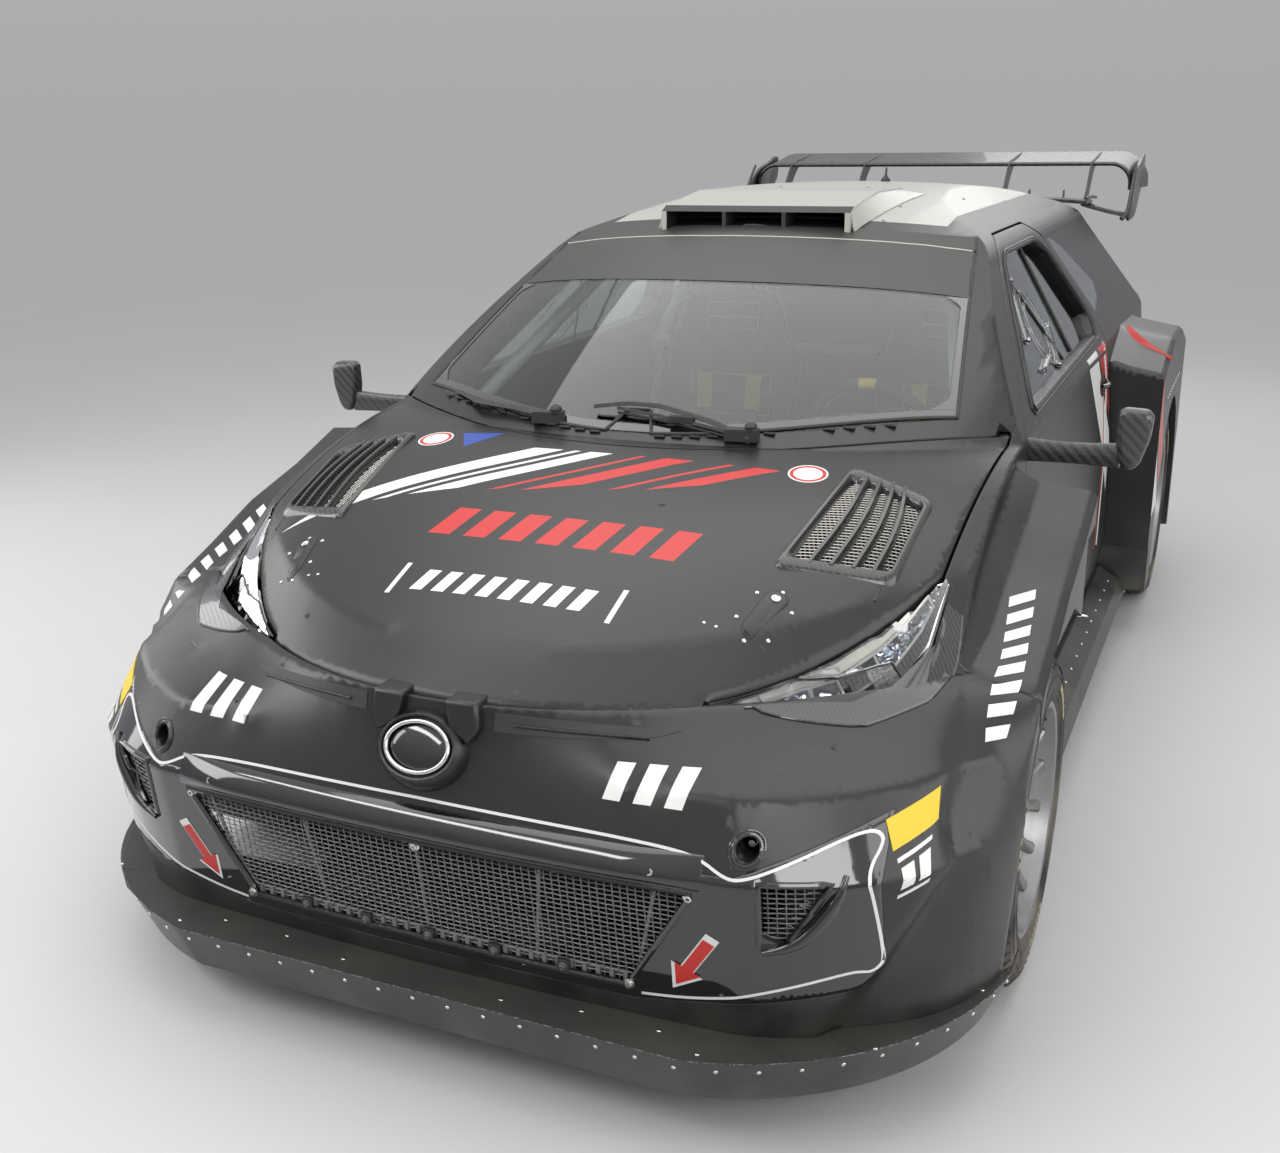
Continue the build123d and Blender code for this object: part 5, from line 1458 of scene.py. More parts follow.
def makeVents(plan):
    deck = ("bonnet", "bonnet_vents")
    outline = roundedOutline(plan["outline"], 0.022, 5)
    middle = (sum(p[0] for p in outline) / len(outline), sum(p[1] for p in outline) / len(outline))

    def ring(scale, lift):
        made = [topPoint(deck, u, v)[0] + Vector((0, 0, lift)) for u, v in scaled(outline, middle, scale)]
        return made

    frameShape = Shape()
    frameShape.add(ringsMesh([ring(1.14, -0.001), ring(1.13, 0.005), ring(1.06, 0.010), ring(0.99, 0.009),
                              ring(0.94, 0.0), ring(0.92, -0.016), ring(0.96, -0.018), ring(1.04, -0.012)],
                             caps=False, around=True))
    (x1, y1), (x2, y2), (x5, y5), (x4, y4) = (0.478,
                                              -1.550), (0.655, -1.482), (0.622, -1.215), (0.510, -1.192)
    for share in plan["ribs"]:
        start = Vector((x1 + (x2 - x1) * share, y1 + (y2 - y1) * share + 0.004))
        end = Vector((x4 + (x5 - x4) * share * 1.12, y4 + (y5 - y4) * share * 1.12 - 0.004))
        rings = []
        for n in range(13):
            x, y = start.lerp(end, n / 12)
            x += 0.012 * math.sin(math.pi * n / 12)
            centre, _ = topPoint(deck, x, y)
            rings.append([centre + Vector(o)
                          for o in ((-0.0062, 0, -0.014), (-0.0062, 0, 0.002), (-0.002, 0, 0.009),
                                    (0.004, 0, 0.008), (0.0066, 0, -0.008))])
        frameShape.add(ringsMesh(rings))
    made = frameShape.mirrored().piece("ventFrames", ["carbonGloss"], "carbon", "bonnet_lid", smooth=45)
    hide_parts("bonnet_vents")
    mesh = Shape()
    cell = plan["cell"]
    lean = (x2 - x1, y2 - y1)
    size = math.hypot(*lean)
    lean = (lean[0] / size, lean[1] / size)
    for turn in (lean, (-lean[1], lean[0])):
        other = (-turn[1], turn[0])
        for k in range(-30, 31):
            run = []
            for n in range(-44, 45):
                x = middle[0] + other[0] * k * cell + turn[0] * n * 0.006
                y = middle[1] + other[1] * k * cell + turn[1] * n * 0.006
                if insidePlan(plan["outline"], x, y, -0.004):
                    run.append(topPoint(deck, x, y)[0] + Vector((0, 0, -0.012)))
            if len(run) > 3:
                mesh.add(tubeMesh([run[0], *run[3:-3:4], run[-1]], 0.00125, 4))
    mesh.mirrored().piece("ventMesh", ["ventWire"], "mesh", "bonnet_lid")
    # ducts under the mesh: sloping vanes that close the view
    vanes = Shape()
    for k in range(7):
        y = -1.52 + 0.052 * k
        left, right = 0.492 + 0.004 * k, 0.645 - 0.005 * k
        place, _ = topPoint(deck, (left + right) / 2, y)
        vanes.add(boxMesh(place + Vector((0, 0, -0.030)), (right - left, 0.040, 0.002),
                          Matrix.Rotation(0.45, 3, "X")))
    vanes.mirrored().piece("ventVanes", ["moulded"], "carbon", "bonnet_lid")


makeFinish("ventWire", (0.46, 0.45, 0.41), 0.34, metallic=0.75, grain=0.2, bump=0.05)
makeVents(ventPlan)

latchPlan = {"centres": ((0.480, -1.670), (-0.484, -1.675)), "reach": 0.040, "half": 0.0185}


def makeLatches(plan):
    plates, pins = Shape(), Shape()
    for (x, y), side in zip(plan["centres"], (1, -1)):
        ahead = Vector((side * 0.27, 0.96)).normalized()
        cross = Vector((ahead.y, -ahead.x))
        outline = []
        for angle in turns(36):
            reach = plan["reach"] if math.sin(angle) > 0 else -plan["reach"]
            half = plan["half"] * (1.12 if math.sin(angle) > 0 else 0.72)
            point = ahead * (reach + half * math.sin(angle)) + cross * (half * math.cos(angle))
            outline.append((x + point.x, y + point.y))
        plates.add(ringsMesh([[topPoint("bonnet", u, v, lift)[0] for u, v in scaled(outline, (x, y), scale)]
                              for scale, lift in ((1.06, -0.001), (1.06, 0.0008), (1.0, 0.0012),
                                                  (0.985, 0.0002), (0.97, 0.0018), (0.90, 0.0030))]))
        head, normal = topPoint("bonnet", x + ahead.x * plan["reach"], y + ahead.y * plan["reach"], 0.003)
        pins.add(latheMesh([(0.0085, -0.001), (0.0085, 0.002), (0.0055, 0.003), (0.0045, 0.0015),
                            (0.0005, 0.0015)],
                           head, normal, 20))
        for along, across in ((0.062, 0.0), (0.036, 0.036), (0.032, -0.034), (-0.030, 0.032),
                              (-0.036, -0.030), (-0.062, 0.004)):
            spot = ahead * along + cross * across
            place, up = topPoint("bonnet", x + spot.x, y + spot.y)
            pins.add(domeMesh(place, up, 0.0042, 0.0022, 10))
        for shift in (0.0, 0.022):
            place, up = topPoint("bonnet", x - side * (0.085 - shift), y - 0.062)
            pins.add(domeMesh(place, up, 0.0034, 0.0018, 8))
    plates.piece("bonnetLatches", ["satinBlack"], "body_paint", "bonnet_lid", smooth=40)
    pins.piece("bonnetPins", ["brightMetal"], "steel", "bonnet_lid", smooth=60)


makeLatches(latchPlan)
print("bonnet dressed")


# windscreen: band, border, wipers and the strip below it
screenPlan = {
    # lower corner, upper corner and the two middles, in plan
    "low": ((0.640, -0.872), (0.0, -1.142)),
    "high": ((0.538, -0.222), (0.0, -0.322)),
    "band": 0.335,
    "border": (0.032, 0.972),
}


def screenPoint(plan, across, up, lift):
    # across runs from -1 to 1, up from 0 at the bonnet to 1 at the roof
    lines = []
    for corner, middle in (plan["low"], plan["high"]):
        x = corner[0] * across
        bulge = (corner[1] - middle[1]) / corner[0] ** 2
        lines.append(Vector((x, middle[1] + bulge * x * x, 0)))
    point = lines[0].lerp(lines[1], up)
    return press("windscreen", (point.x, point.y, 1.15), (0, 0, -1), lift, 0.6)


def screenPatch(plan, acrossRange, upRange, counts, lift, depth=0.0008):
    rows = []
    for n in range(counts[1] + 1):
        up = upRange[0] + (upRange[1] - upRange[0]) * n / counts[1]
        rows.append([screenPoint(plan, acrossRange[0] + (acrossRange[1] - acrossRange[0]) * k / counts[0],
                                 up, lift)
                     for k in range(counts[0] + 1)])
    rings = [[p for p, _ in row] + [p - normal * depth for p, normal in reversed(row)] for row in rows]
    return ringsMesh(rings)


def bandLow(plan, across):
    return 1 - plan["band"] - 0.065 * across * across


def makeScreenTrim(plan):
    trim = Shape()
    rings = []
    for n in range(13):
        share = n / 12
        row = []
        for k in range(49):
            across = 0.995 * (2 * k / 48 - 1)
            low = bandLow(plan, across)
            row.append(screenPoint(plan, across, low + (0.997 - low) * share, 0.0012))
        rings.append([p for p, _ in row] + [p - normal * 0.0008 for p, normal in reversed(row)])
    trim.add(ringsMesh(rings))
    frit = Shape()
    low, side = plan["border"]
    frit.add(screenPatch(plan, (-0.995, 0.995), (0.003, low), (48, 2), 0.0012))
    for start, end in ((-0.995, -side), (side, 0.995)):
        frit.add(screenPatch(plan, (start, end), (low, bandLow(plan, 1)), (2, 24), 0.0012))
    for hand in (-1, 1):
        # rounded inner corners of the border
        for up, step in ((low, 1), (bandLow(plan, 1), -1)):
            for n in range(6):
                reach = 0.05 * (1 - math.sin(math.pi * n / 12))
                ends = sorted((hand * side, hand * (side - reach)))
                ups = sorted((up + step * 0.010 * n, up + step * 0.010 * (n + 1)))
                frit.add(screenPatch(plan, ends, ups, (2, 1), 0.0012))
    trim.piece("screenBand", ["bandGrey"], "dark_plastic", smooth=60)
    frit.piece("screenBorder", ["glossBlack"], "dark_plastic", smooth=60)
    seal = Shape()
    edge = [screenPoint(plan, -1 + 2 * k / 48, 0.0, 0.001)[0] for k in range(49)]
    edge += [screenPoint(plan, 1, n / 24, 0.001)[0] for n in range(1, 25)]
    edge += [screenPoint(plan, 1 - 2 * k / 48, 1.0, 0.001)[0] for k in range(1, 49)]
    edge += [screenPoint(plan, -1, 1 - n / 24, 0.001)[0] for n in range(1, 24)]
    seal.add(tubeMesh(edge, 0.0042, 8, closed=True))
    seal.piece("screenSeal", ["moulded"], "dark_plastic", smooth=60)
    lip = Shape()
    lip.add(tubeMesh([screenPoint(plan, -0.97 + 1.94 * k / 40, 1.012, 0.003)[0] for k in range(41)], 0.005,
                     8))
    lip.piece("screenTopLip", ["roofWhite"], "white_paint", smooth=60)


makeFinish("bandGrey", (0.030, 0.029, 0.027), 0.42, grain=0.15, bump=0.03)
makeScreenTrim(screenPlan)


def makeWipers():
    shape = Shape()
    skin = ("windscreen", "body_shell")
    for pivot, bend, tip, arm in (((0.25, -1.125), (0.05, -1.08), (-0.10, -1.085), 1),
                                  ((-0.20, -1.12), (-0.40, -1.06), (-0.615, -0.955), 2)):
        base, _ = press(skin, (pivot[0], pivot[1], 1.0), (0, 0, -1), 0.0, 0.4)
        knee, _ = press(skin, (bend[0], bend[1], 1.0), (0, 0, -1), 0.022, 0.4)
        end, _ = press(skin, (tip[0], tip[1], 1.0), (0, 0, -1), 0.014, 0.4)
        shape.add(boxMesh(base + Vector((0, 0, 0.012)), (0.070, 0.030, 0.026),
                          Matrix.Rotation(0.12 * arm, 3, "Z")))
        shape.add(latheMesh([(0.013, 0.0), (0.013, 0.012), (0.009, 0.016), (0.004, 0.016)],
                            base + Vector((0.02, 0, 0.022)), (0, -0.2, 1), 16))
        arms = [base + Vector((-0.02, 0, 0.018)), base.lerp(knee, 0.4) + Vector((0, 0, 0.012)), knee,
                knee.lerp(end, 0.5) + Vector((0, 0, 0.006)), end]
        line = evenly(arms, 16)
        rings = []
        for n, point in enumerate(line):
            half = 0.011 * (1 - 0.5 * n / 15)
            rings.append([point + Vector((0, -half, -0.003)), point + Vector((0, half, -0.003)),
                          point + Vector((0, half * 0.6, 0.005)),
                          point + Vector((0, -half * 0.6, 0.005))])
        shape.add(ringsMesh(rings))
        # blade, its spine and end caps
        run = []
        for n in range(25):
            t = n / 24
            x = pivot[0] - 0.30 * t * 1.05 + (0.02 if arm == 1 else -0.14)
            y = pivot[1] - 0.008 + (0.115 * t if arm == 2 else 0.045 * t)
            run.append(press(skin, (x, y, 1.0), (0, 0, -1), 0.004, 0.4)[0])
        shape.add(tubeMesh(run, 0.0034, 6))
        spine = [p + Vector((0, -0.002, 0.009)) for p in run]
        shape.add(ringsMesh([[p + Vector((0, -0.005, -0.002)), p + Vector((0, 0.005, -0.002)),
                              p + Vector((0, 0.003, 0.004)), p + Vector((0, -0.003, 0.005))]
                              for p in spine]))
        middle = spine[12]
        shape.add(boxMesh(middle + Vector((0, 0, 0.004)), (0.055, 0.016, 0.014)))
    shape.piece("wipers", ["moulded"], "dark_plastic", smooth=40, bevel=0.0015)
    # louvred strip between bonnet and glass
    strip = Shape()
    for k in range(33):
        x = -0.60 + 1.20 * k / 32
        y = -1.150 + 0.27 * (x / 0.66) ** 2
        place, _ = press(skin, (x, y, 1.0), (0, 0, -1), 0.002, 0.4)
        if 0.30 > abs(x) > 0.06 or 0.56 > abs(x) > 0.40:
            strip.add(boxMesh(place, (0.024, 0.010, 0.004)))
    strip.piece("cowlSlots", ["moulded"], "dark_plastic", bevel=0.001)


makeWipers()
print("windscreen dressed")


# roof: scoop, its side walls and vanes, pins and antenna
def scoopTop(y):
    corners = ((-0.332, 1.388), (-0.300, 1.402), (-0.060, 1.428), (0.200, 1.424))
    for (y1, z1), (y2, z2) in zip(corners, corners[1:]):
        if y <= y2:
            return z1 + (z2 - z1) * (y - y1) / (y2 - y1)
    return corners[-1][1]


def makeScoop():
    made = softPanel("roof_scoop", 30)
    made.data.materials.clear()
    for finish in ("roofWhite", "moulded"):
        made.data.materials.append(finishes[finish])
    for face in made.data.polygons:
        x, y, z = face.center
        hidden = abs(x) < 0.2365 and y < -0.066 and z < scoopTop(y) - 0.006
        face.material_index = 1 if hidden or (y < -0.325 and abs(x) < 0.238) else 0
    softEdges(made, 0.003, 30)
    made.modifiers.move(1, 0)
    skirt = Shape()
    for side in (-1, 1):
        # sloping side walls that run out on the roof
        top = [Vector((side * 0.2495, -0.318 + 0.50 * n / 12, scoopTop(-0.318 + 0.50 * n / 12) - 0.004))
               for n in range(13)]
        low = [press(("roof_panel", "windscreen", "body_shell"),
                     (side * (0.262 + 0.05 * n / 12), -0.322 + 0.54 * n / 12, 1.35), (0, 0, -1), 0.001)[0]
               for n in range(13)]
        skirt.add(ringsMesh([[a, b, b - Vector((side * 0.006, 0, 0.0005)),
                              a - Vector((side * 0.008, 0, 0.002))] for a, b in zip(top, low)]))
    skirt.piece("scoopSides", ["roofWhite"], "white_paint", smooth=40, bevel=0.0015)
    pins = Shape()
    for side in (-1, 1):
        for y in (-0.20, -0.02, 0.12):
            place, up = press(("roof_panel", "body_shell"), (side * 0.30, y, 1.4), (0, 0, -1), 0.0005)
            pins.add(domeMesh(place, up, 0.004, 0.002, 10))
        for x in (0.13, 0.40):
            place, up = press(("roof_panel",), (side * x, 0.30, 1.4), (0, 0, -1), 0.0005)
            pins.add(domeMesh(place, up, 0.004, 0.002, 10))
    pins.piece("roofPins", ["castSteel"], "steel")
    mouth = Shape()
    for k in range(3):
        z = 1.352 + 0.012 * k
        for low, high in ((-0.234, -0.086), (-0.072, 0.072), (0.086, 0.234)):
            mouth.add(boxMesh(((low + high) / 2, -0.20, z), (high - low, 0.03, 0.0018),
                              Matrix.Rotation(0.35, 3, "X")))
    mouth.piece("scoopVanes", ["moulded"], "dark_plastic")
    rod = Shape()
    place, up = press("roof_panel", (0.10, 0.62, 1.4), (0, 0, -1))
    rod.add(latheMesh([(0.014, -0.001), (0.014, 0.006), (0.006, 0.014), (0.0035, 0.022), (0.003, 0.040),
                       (0.001, 0.042)], place, up, 14))
    rod.piece("roofAntenna", ["moulded"], "dark_plastic", smooth=50)


makeScoop()


# rear wing
wingPlan = {
    "profile": [(2.074, 1.469), (2.030, 1.463), (1.960, 1.4545), (1.890, 1.447), (1.830, 1.441),
                (1.800, 1.4375), (1.791, 1.432), (1.797, 1.4255), (1.812, 1.4245), (1.870, 1.4285),
                (1.930, 1.4365), (1.990, 1.4465), (2.040, 1.456), (2.070, 1.463)],
    "flat": 0.625,
    "bend": 0.085,
    "end": [(1.640, 1.240), (1.860, 1.246), (2.074, 1.380), (2.080, 1.455), (2.040, 1.462), (1.960, 1.440),
            (1.830, 1.420), (1.700, 1.340)],
    "stays": (-0.560, -0.270, 0.270, 0.560),
}


def makeWing(plan):
    shape = Shape()
    profile, flat, bend = plan["profile"], plan["flat"], plan["bend"]
    path = [(flat * n / 6, 0.0, 0.0) for n in range(7)]
    for n in range(1, 13):
        angle = math.pi / 2 * n / 12
        path.append((flat + bend * math.sin(angle), -bend * (1 - math.cos(angle)), angle))
    path.append((flat + bend, -bend - 0.02, math.pi / 2))
    pivot = 1.447
    rings = []
    for x, drop, angle in path:
        ring = []
        for y, z in profile:
            high = z - pivot
            ring.append((x + high * math.sin(angle), y, pivot + drop + high * math.cos(angle)))
        rings.append(ring)
    left = [[(-x, y, z) for x, y, z in ring] for ring in reversed(rings[1:])]
    shape.add(ringsMesh(left + rings))
    # raised trailing lip
    lip = [Vector((x, 2.070, pivot + 0.0178)) for x, _, _ in path[:7]]
    lip = [Vector((-p.x, p.y, p.z)) for p in reversed(lip[1:])] + lip
    shape.add(tubeMesh(lip, 0.0038, 8))
    made = shape.piece("wingPlane", ["carbonDark"], "carbon", "tailgate_lid", smooth=35)
    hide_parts("rear_wing")
    ends = Shape()
    outline = roundedOutline(plan["end"], 0.045, 6)
    middle = (1.90, 1.36)
    ends.add(ringsMesh([[(x, u, v) for u, v in scaled(outline, middle, scale)]
                        for x, scale in ((0.7045, 0.985), (0.7065, 1.0), (0.7135, 1.0), (0.7155, 0.985))]))
    # rolled leading edge of the endplate and its foot
    edge = alongCurve([(0.711, 1.800, 1.432), (0.711, 1.735, 1.385), (0.711, 1.690, 1.322),
                       (0.708, 1.655, 1.262), (0.690, 1.640, 1.250)], 24)
    ends.add(tubeMesh(edge, [0.0045 + 0.004 * n / 23 for n in range(24)], 10))
    arm = alongCurve([(0.706, 1.690, 1.262), (0.660, 1.672, 1.272), (0.600, 1.660, 1.288),
                      (0.555, 1.650, 1.302)], 14)
    ends.add(ringsMesh([[p + Vector((0, -0.045, -0.006)), p + Vector((0, 0.045, -0.006)),
                         p + Vector((0, 0.045, 0.004)),
                         p + Vector((0, -0.020, 0.010)), p + Vector((0, -0.045, 0.004))] for p in arm]))
    ends.mirrored().piece("wingEnds", ["carbonDark"], "carbon", "tailgate_lid", smooth=40, bevel=0.0015)
    stays = Shape()
    for x in plan["stays"]:
        front = alongCurve([(x, 1.606, 1.300), (x, 1.690, 1.330), (x, 1.745, 1.400), (x, 1.800, 1.445),
                            (x, 1.900, 1.457), (x, 2.040, 1.4678)], 26)
        back = alongCurve([(x, 1.716, 1.300), (x, 1.770, 1.345), (x, 1.835, 1.402), (x, 1.890, 1.428),
                           (x, 1.960, 1.441), (x, 2.060, 1.460)], 26)
        stays.add(ringsMesh([[a + Vector((-0.0032, 0, 0)), b + Vector((-0.0032, 0, 0)),
                              b + Vector((0.0032, 0, 0)), a + Vector((0.0032, 0, 0)), a + (a - b) * 0.02]
                              for a, b in zip(front, back)]))
        stays.add(boxMesh((x, 1.660, 1.309), (0.034, 0.10, 0.006)))
        for y in (1.625, 1.695):
            stays.add(domeMesh((x + 0.012, y, 1.312), (0, 0, 1), 0.0042, 0.003, 8))
            stays.add(domeMesh((x - 0.012, y, 1.312), (0, 0, 1), 0.0042, 0.003, 8))
    stays.piece("wingStays", ["carbonDark"], "carbon", "tailgate_lid", smooth=40, bevel=0.001)
    deck = Shape()
    rows = []
    for n in range(13):
        y = 1.412 + 0.326 * n / 12
        z = 1.334 - 0.016 * (n / 12) ** 2
        half = 0.598 - 0.02 * (n / 12) ** 2
        top = [(half * (-1 + 2 * k / 24), y, z - 0.010 * (abs(-1 + 2 * k / 24)) ** 6) for k in range(25)]
        low = [(px, py, pz - 0.012) for px, py, pz in reversed(top)]
        rows.append(top + low)
    deck.add(ringsMesh(rows))
    for side in (-1, 1):
        deck.add(tubeMesh([(side * 0.592, 1.43 + 0.28 * n / 8, 1.332 - 0.012 * (n / 8) ** 2)
                           for n in range(9)], 0.006, 8))
    deck.piece("wingDeck", ["carbonDark"], "carbon", "tailgate_lid", smooth=40, bevel=0.002)
    ribs = Shape()
    for k in range(9):
        x = -0.48 + 0.12 * k
        ribs.add(ringsMesh([[(x - 0.0016, 1.70 - 0.002, 1.322), (x + 0.0016, 1.70, 1.322),
                             (x + 0.0016, 1.70, 1.345), (x - 0.0016, 1.70, 1.345)],
                            [(x - 0.0016, 1.735, 1.314), (x + 0.0016, 1.735, 1.314),
                             (x + 0.0016, 1.735, 1.348), (x - 0.0016, 1.735, 1.348)]]))
    ribs.piece("deckFins", ["carbonDark"], "carbon", "tailgate_lid")


makeFinish("carbonDark", (0.011, 0.011, 0.0115), 0.34, coat=0.25, grain=0.1, weave=0.010, bump=0.05)
makeWing(wingPlan)
print("roof and wing made")


# mirrors
mirrorPlan = {
    "foot": (-0.7335, 0.920),
    "middle": (0.985, 0.960),
    "blade": [(0.950, 1.016), (0.962, 1.023), (1.008, 1.021), (1.020, 1.008), (1.016, 0.960), (1.000, 0.908),
              (0.988, 0.893), (0.970, 0.892), (0.955, 0.908), (0.947, 0.960)],
}


def makeMirrors(plan):
    (footY, footZ), middle = plan["foot"], plan["middle"]
    for side, name in ((1, "left"), (-1, "right")):
        shape = Shape()
        rings = []
        for n in range(17):
            t = n / 16
            x = 0.747 + 0.212 * t
            low = 0.8935 + 0.003 * math.sin(math.pi * t)
            high = 0.9455 - 0.005 * math.sin(math.pi * t)
            rings.append([(x, y, z) for y, z in (
                (-0.7465, low + 0.004), (-0.7425, low), (-0.7245, low + 0.001), (-0.7205, low + 0.006),
                (-0.7210, high - 0.006),
                (-0.7250, high - 0.001), (-0.7415, high), (-0.7470, high - 0.006),
                (-0.7475, (low + high) / 2))])
        shape.add(ringsMesh(rings))
        outline = roundedOutline([Vector(p) for p in plan["blade"]], 0.012, 4)
        shape.add(ringsMesh([[(u, y, v) for u, v in scaled(outline, middle, scale)]
                             for y, scale in ((-0.7555, 0.62), (-0.7545, 0.86), (-0.750, 0.965),
                                              (-0.742, 1.0), (-0.726, 1.0), (-0.7185, 0.975))]))
        shape.add(tubeMesh(alongCurve([(0.930, -0.733, 0.932), (0.952, -0.733, 0.930),
                                       (0.968, -0.734, 0.912), (0.985, -0.734, 0.900)], 14), 0.010, 10))
        made = shape.piece(f"mirrorShell_{name}", ["carbonWide"], "carbon", f"door_{name}_body",
                           smooth=45, flip=side < 0)
        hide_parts(f"mirror_{name}")
        face = Shape()
        face.add(ringsMesh([[(u, y, v) for u, v in scaled(outline, middle, scale)]
                            for y, scale in ((-0.7188, 0.95), (-0.7172, 0.94), (-0.7174, 0.90),
                                             (-0.7182, 0.88))]))
        face.add(ringsMesh([[(u, y, v) for u, v in scaled(outline, middle, s)]
                            for y, s in ((-0.7184, 0.87), (-0.7176, 0.86))]), 1)
        foot = [(0.752 + 0.001 * math.cos(a), footY + 0.022 * math.cos(a), footZ + 0.032 * math.sin(a))
                for a in turns(20)]
        face.add(ringsMesh([[(x - 0.010, y, z) for x, y, z in foot], [(x, y, z) for x, y, z in foot],
                            [(x + 0.004, footY + (y - footY) * 0.8, footZ + (z - footZ) * 0.9)
                             for x, y, z in foot]]))
        for a in (0.6, 2.5, 3.8, 5.6):
            face.add(domeMesh((0.755, footY + 0.018 * math.cos(a), footZ + 0.026 * math.sin(a)), (1, 0, 0),
                              0.0025, 0.002, 8), 1)
        face.piece(f"mirrorFace_{name}", ["glossBlack", "mirrorBright"], "carbon", f"door_{name}_body",
                   smooth=45, flip=side < 0)


makeMirrors(mirrorPlan)
print("mirrors made")


# doors: window frame, hatch, handle, seals, stripes
doorPlan = {
    "window": [(-0.560, 0.975), (0.600, 0.985), (0.640, 1.040), (0.480, 1.232), (0.360, 1.272),
               (-0.070, 1.272), (-0.130, 1.250)],
    "ring": (-0.02, 1.085),
    "handle": (0.614, 0.838),
}


def sidePoint(names, y, z, lift=0.0):
    return press(names, (0.75, y, z), (-1, 0, 0), lift, 0.5)


def sideRibbon(shape, points, names, width, count, lift=0.001, slot=0, depth=0.002):
    shape.add(ribbonMesh([(0.75, y, z) for y, z in points], names, (-1, 0, 0), width, count, lift, depth),
              slot)


def makeDoor(plan, name):
    side = 1 if name == "left" else -1
    skin, glass = "door_left", "door_glass_left"

    def fit(shape, label, finishNames, slotName, **more):
        shape.piece(f"{label}_{name}", finishNames, slotName, f"door_{name}_body", flip=side < 0, **more)

    ring = [Vector((0.75, y, z)) for y, z in roundedOutline([Vector(p) for p in plan["window"]], 0.05, 6)]
    middle = Vector((0.75, 0.10, 1.12))
    frameShape = Shape()
    for scale, radius, slot in ((1.035, 0.0042, 0), (1.075, 0.0030, 1)):
        edge = []
        for p in evenly(ring, 120, closed=True):
            q = middle + (p - middle) * scale
            edge.append(sidePoint(("door_left", "body_shell"), q.y, q.z, 0.0012)[0])
        frameShape.add(tubeMesh(edge, radius, 6, closed=True), slot)
    fit(frameShape, "windowSeals", ["moulded", "satinBlack"], "dark_plastic", smooth=60)
    # clear sliding pane with its round hatch
    y0, z0 = plan["ring"]
    clear = Shape()
    for radius in (0.098, 0.070):
        clear.add(tubeMesh([sidePoint(glass, y0 + radius * math.cos(a), z0 + radius * 0.92 * math.sin(a),
                                      0.003)[0] for a in turns(40)], 0.0028, 6, closed=True))
    for a, b in (((-0.20, 1.075), (-0.075, 1.205)), ((0.02, 0.985), (0.115, 1.075)),
                 ((-0.18, 1.00), (-0.06, 1.015))):
        line = [sidePoint(glass, a[0] + (b[0] - a[0]) * n / 8, a[1] + (b[1] - a[1]) * n / 8, 0.004)[0]
                for n in range(9)]
        clear.add(tubeMesh(line, 0.0065, 8))
        clear.add(domeMesh(line[0], (1, 0, 0.1), 0.009, 0.007, 12))
        clear.add(domeMesh(line[-1], (1, 0, 0.1), 0.009, 0.007, 12))
    fit(clear, "windowHatch", ["lampGlass"], "clear_glass", smooth=60)
    rods = Shape()
    rods.add(tubeMesh([sidePoint(glass, -0.115 + 0.23 * n / 10, 1.255 - 0.27 * n / 10, 0.002)[0]
                       for n in range(11)], 0.0028, 6))
    rods.add(tubeMesh([sidePoint(glass, 0.26 - 0.02 * n / 10, 0.985 + 0.28 * n / 10, 0.003)[0]
                       for n in range(11)], 0.005, 6))
    fit(rods, "windowBars", ["moulded"], "dark_plastic", smooth=60)
    # handle in its recess
    handle, (y0, z0) = Shape(), plan["handle"]
    rim = [(y0 + 0.062 * math.cos(a), z0 + 0.030 * math.sin(a)) for a in turns(30)]
    handle.add(ringsMesh([[sidePoint(skin, y, z, lift)[0] for y, z in scaled(rim, plan["handle"], scale)]
                          for scale, lift in ((1.12, 0.0002), (1.06, 0.0022), (0.98, 0.0018), (0.90, -0.004),
                                              (0.60, -0.009), (0.15, -0.010))]))
    handle.add(tubeMesh([sidePoint(skin, 0.560 + 0.108 * n / 10, 0.842 - 0.006 * math.sin(math.pi * n / 10),
                                   0.006 + 0.010 * math.sin(math.pi * n / 10))[0] for n in range(11)],
                                   [0.005 + 0.004 * math.sin(math.pi * n / 10) for n in range(11)], 10), 1)
    handle.add(domeMesh(sidePoint(skin, 0.695, 0.842, 0.0)[0], (1, 0, 0.1), 0.009, 0.004, 16), 2)
    fit(handle, "doorHandle", ["moulded", "glossBlack", "brightMetal"], "dark_plastic", smooth=50)
    # pressed crease and seam strip along the door
    trims = Shape()
    sideRibbon(trims, [(-0.72, 0.905), (-0.30, 0.925), (0.30, 0.935), (0.70, 0.925)], skin,
               0.012, 40, 0.0016)
    fit(trims, "doorBelt", ["satinBlack"], "body_paint", smooth=60)
    stripes = Shape()
    sideRibbon(stripes, [(0.66, 0.955), (0.70, 0.86), (0.655, 0.70), (0.60, 0.52), (0.56, 0.36)], skin,
               0.030, 40, 0.0006, 0, 0.001)
    sideRibbon(stripes, [(0.615, 0.955), (0.645, 0.86), (0.60, 0.70), (0.545, 0.52), (0.50, 0.36)], skin,
               0.010, 40, 0.0006, 1, 0.001)
    fit(stripes, "doorStripes", ["stripeWhite", "stripeRed"], "body_paint")


makeDoor(doorPlan, "left")
makeDoor(doorPlan, "right")
print("doors dressed")


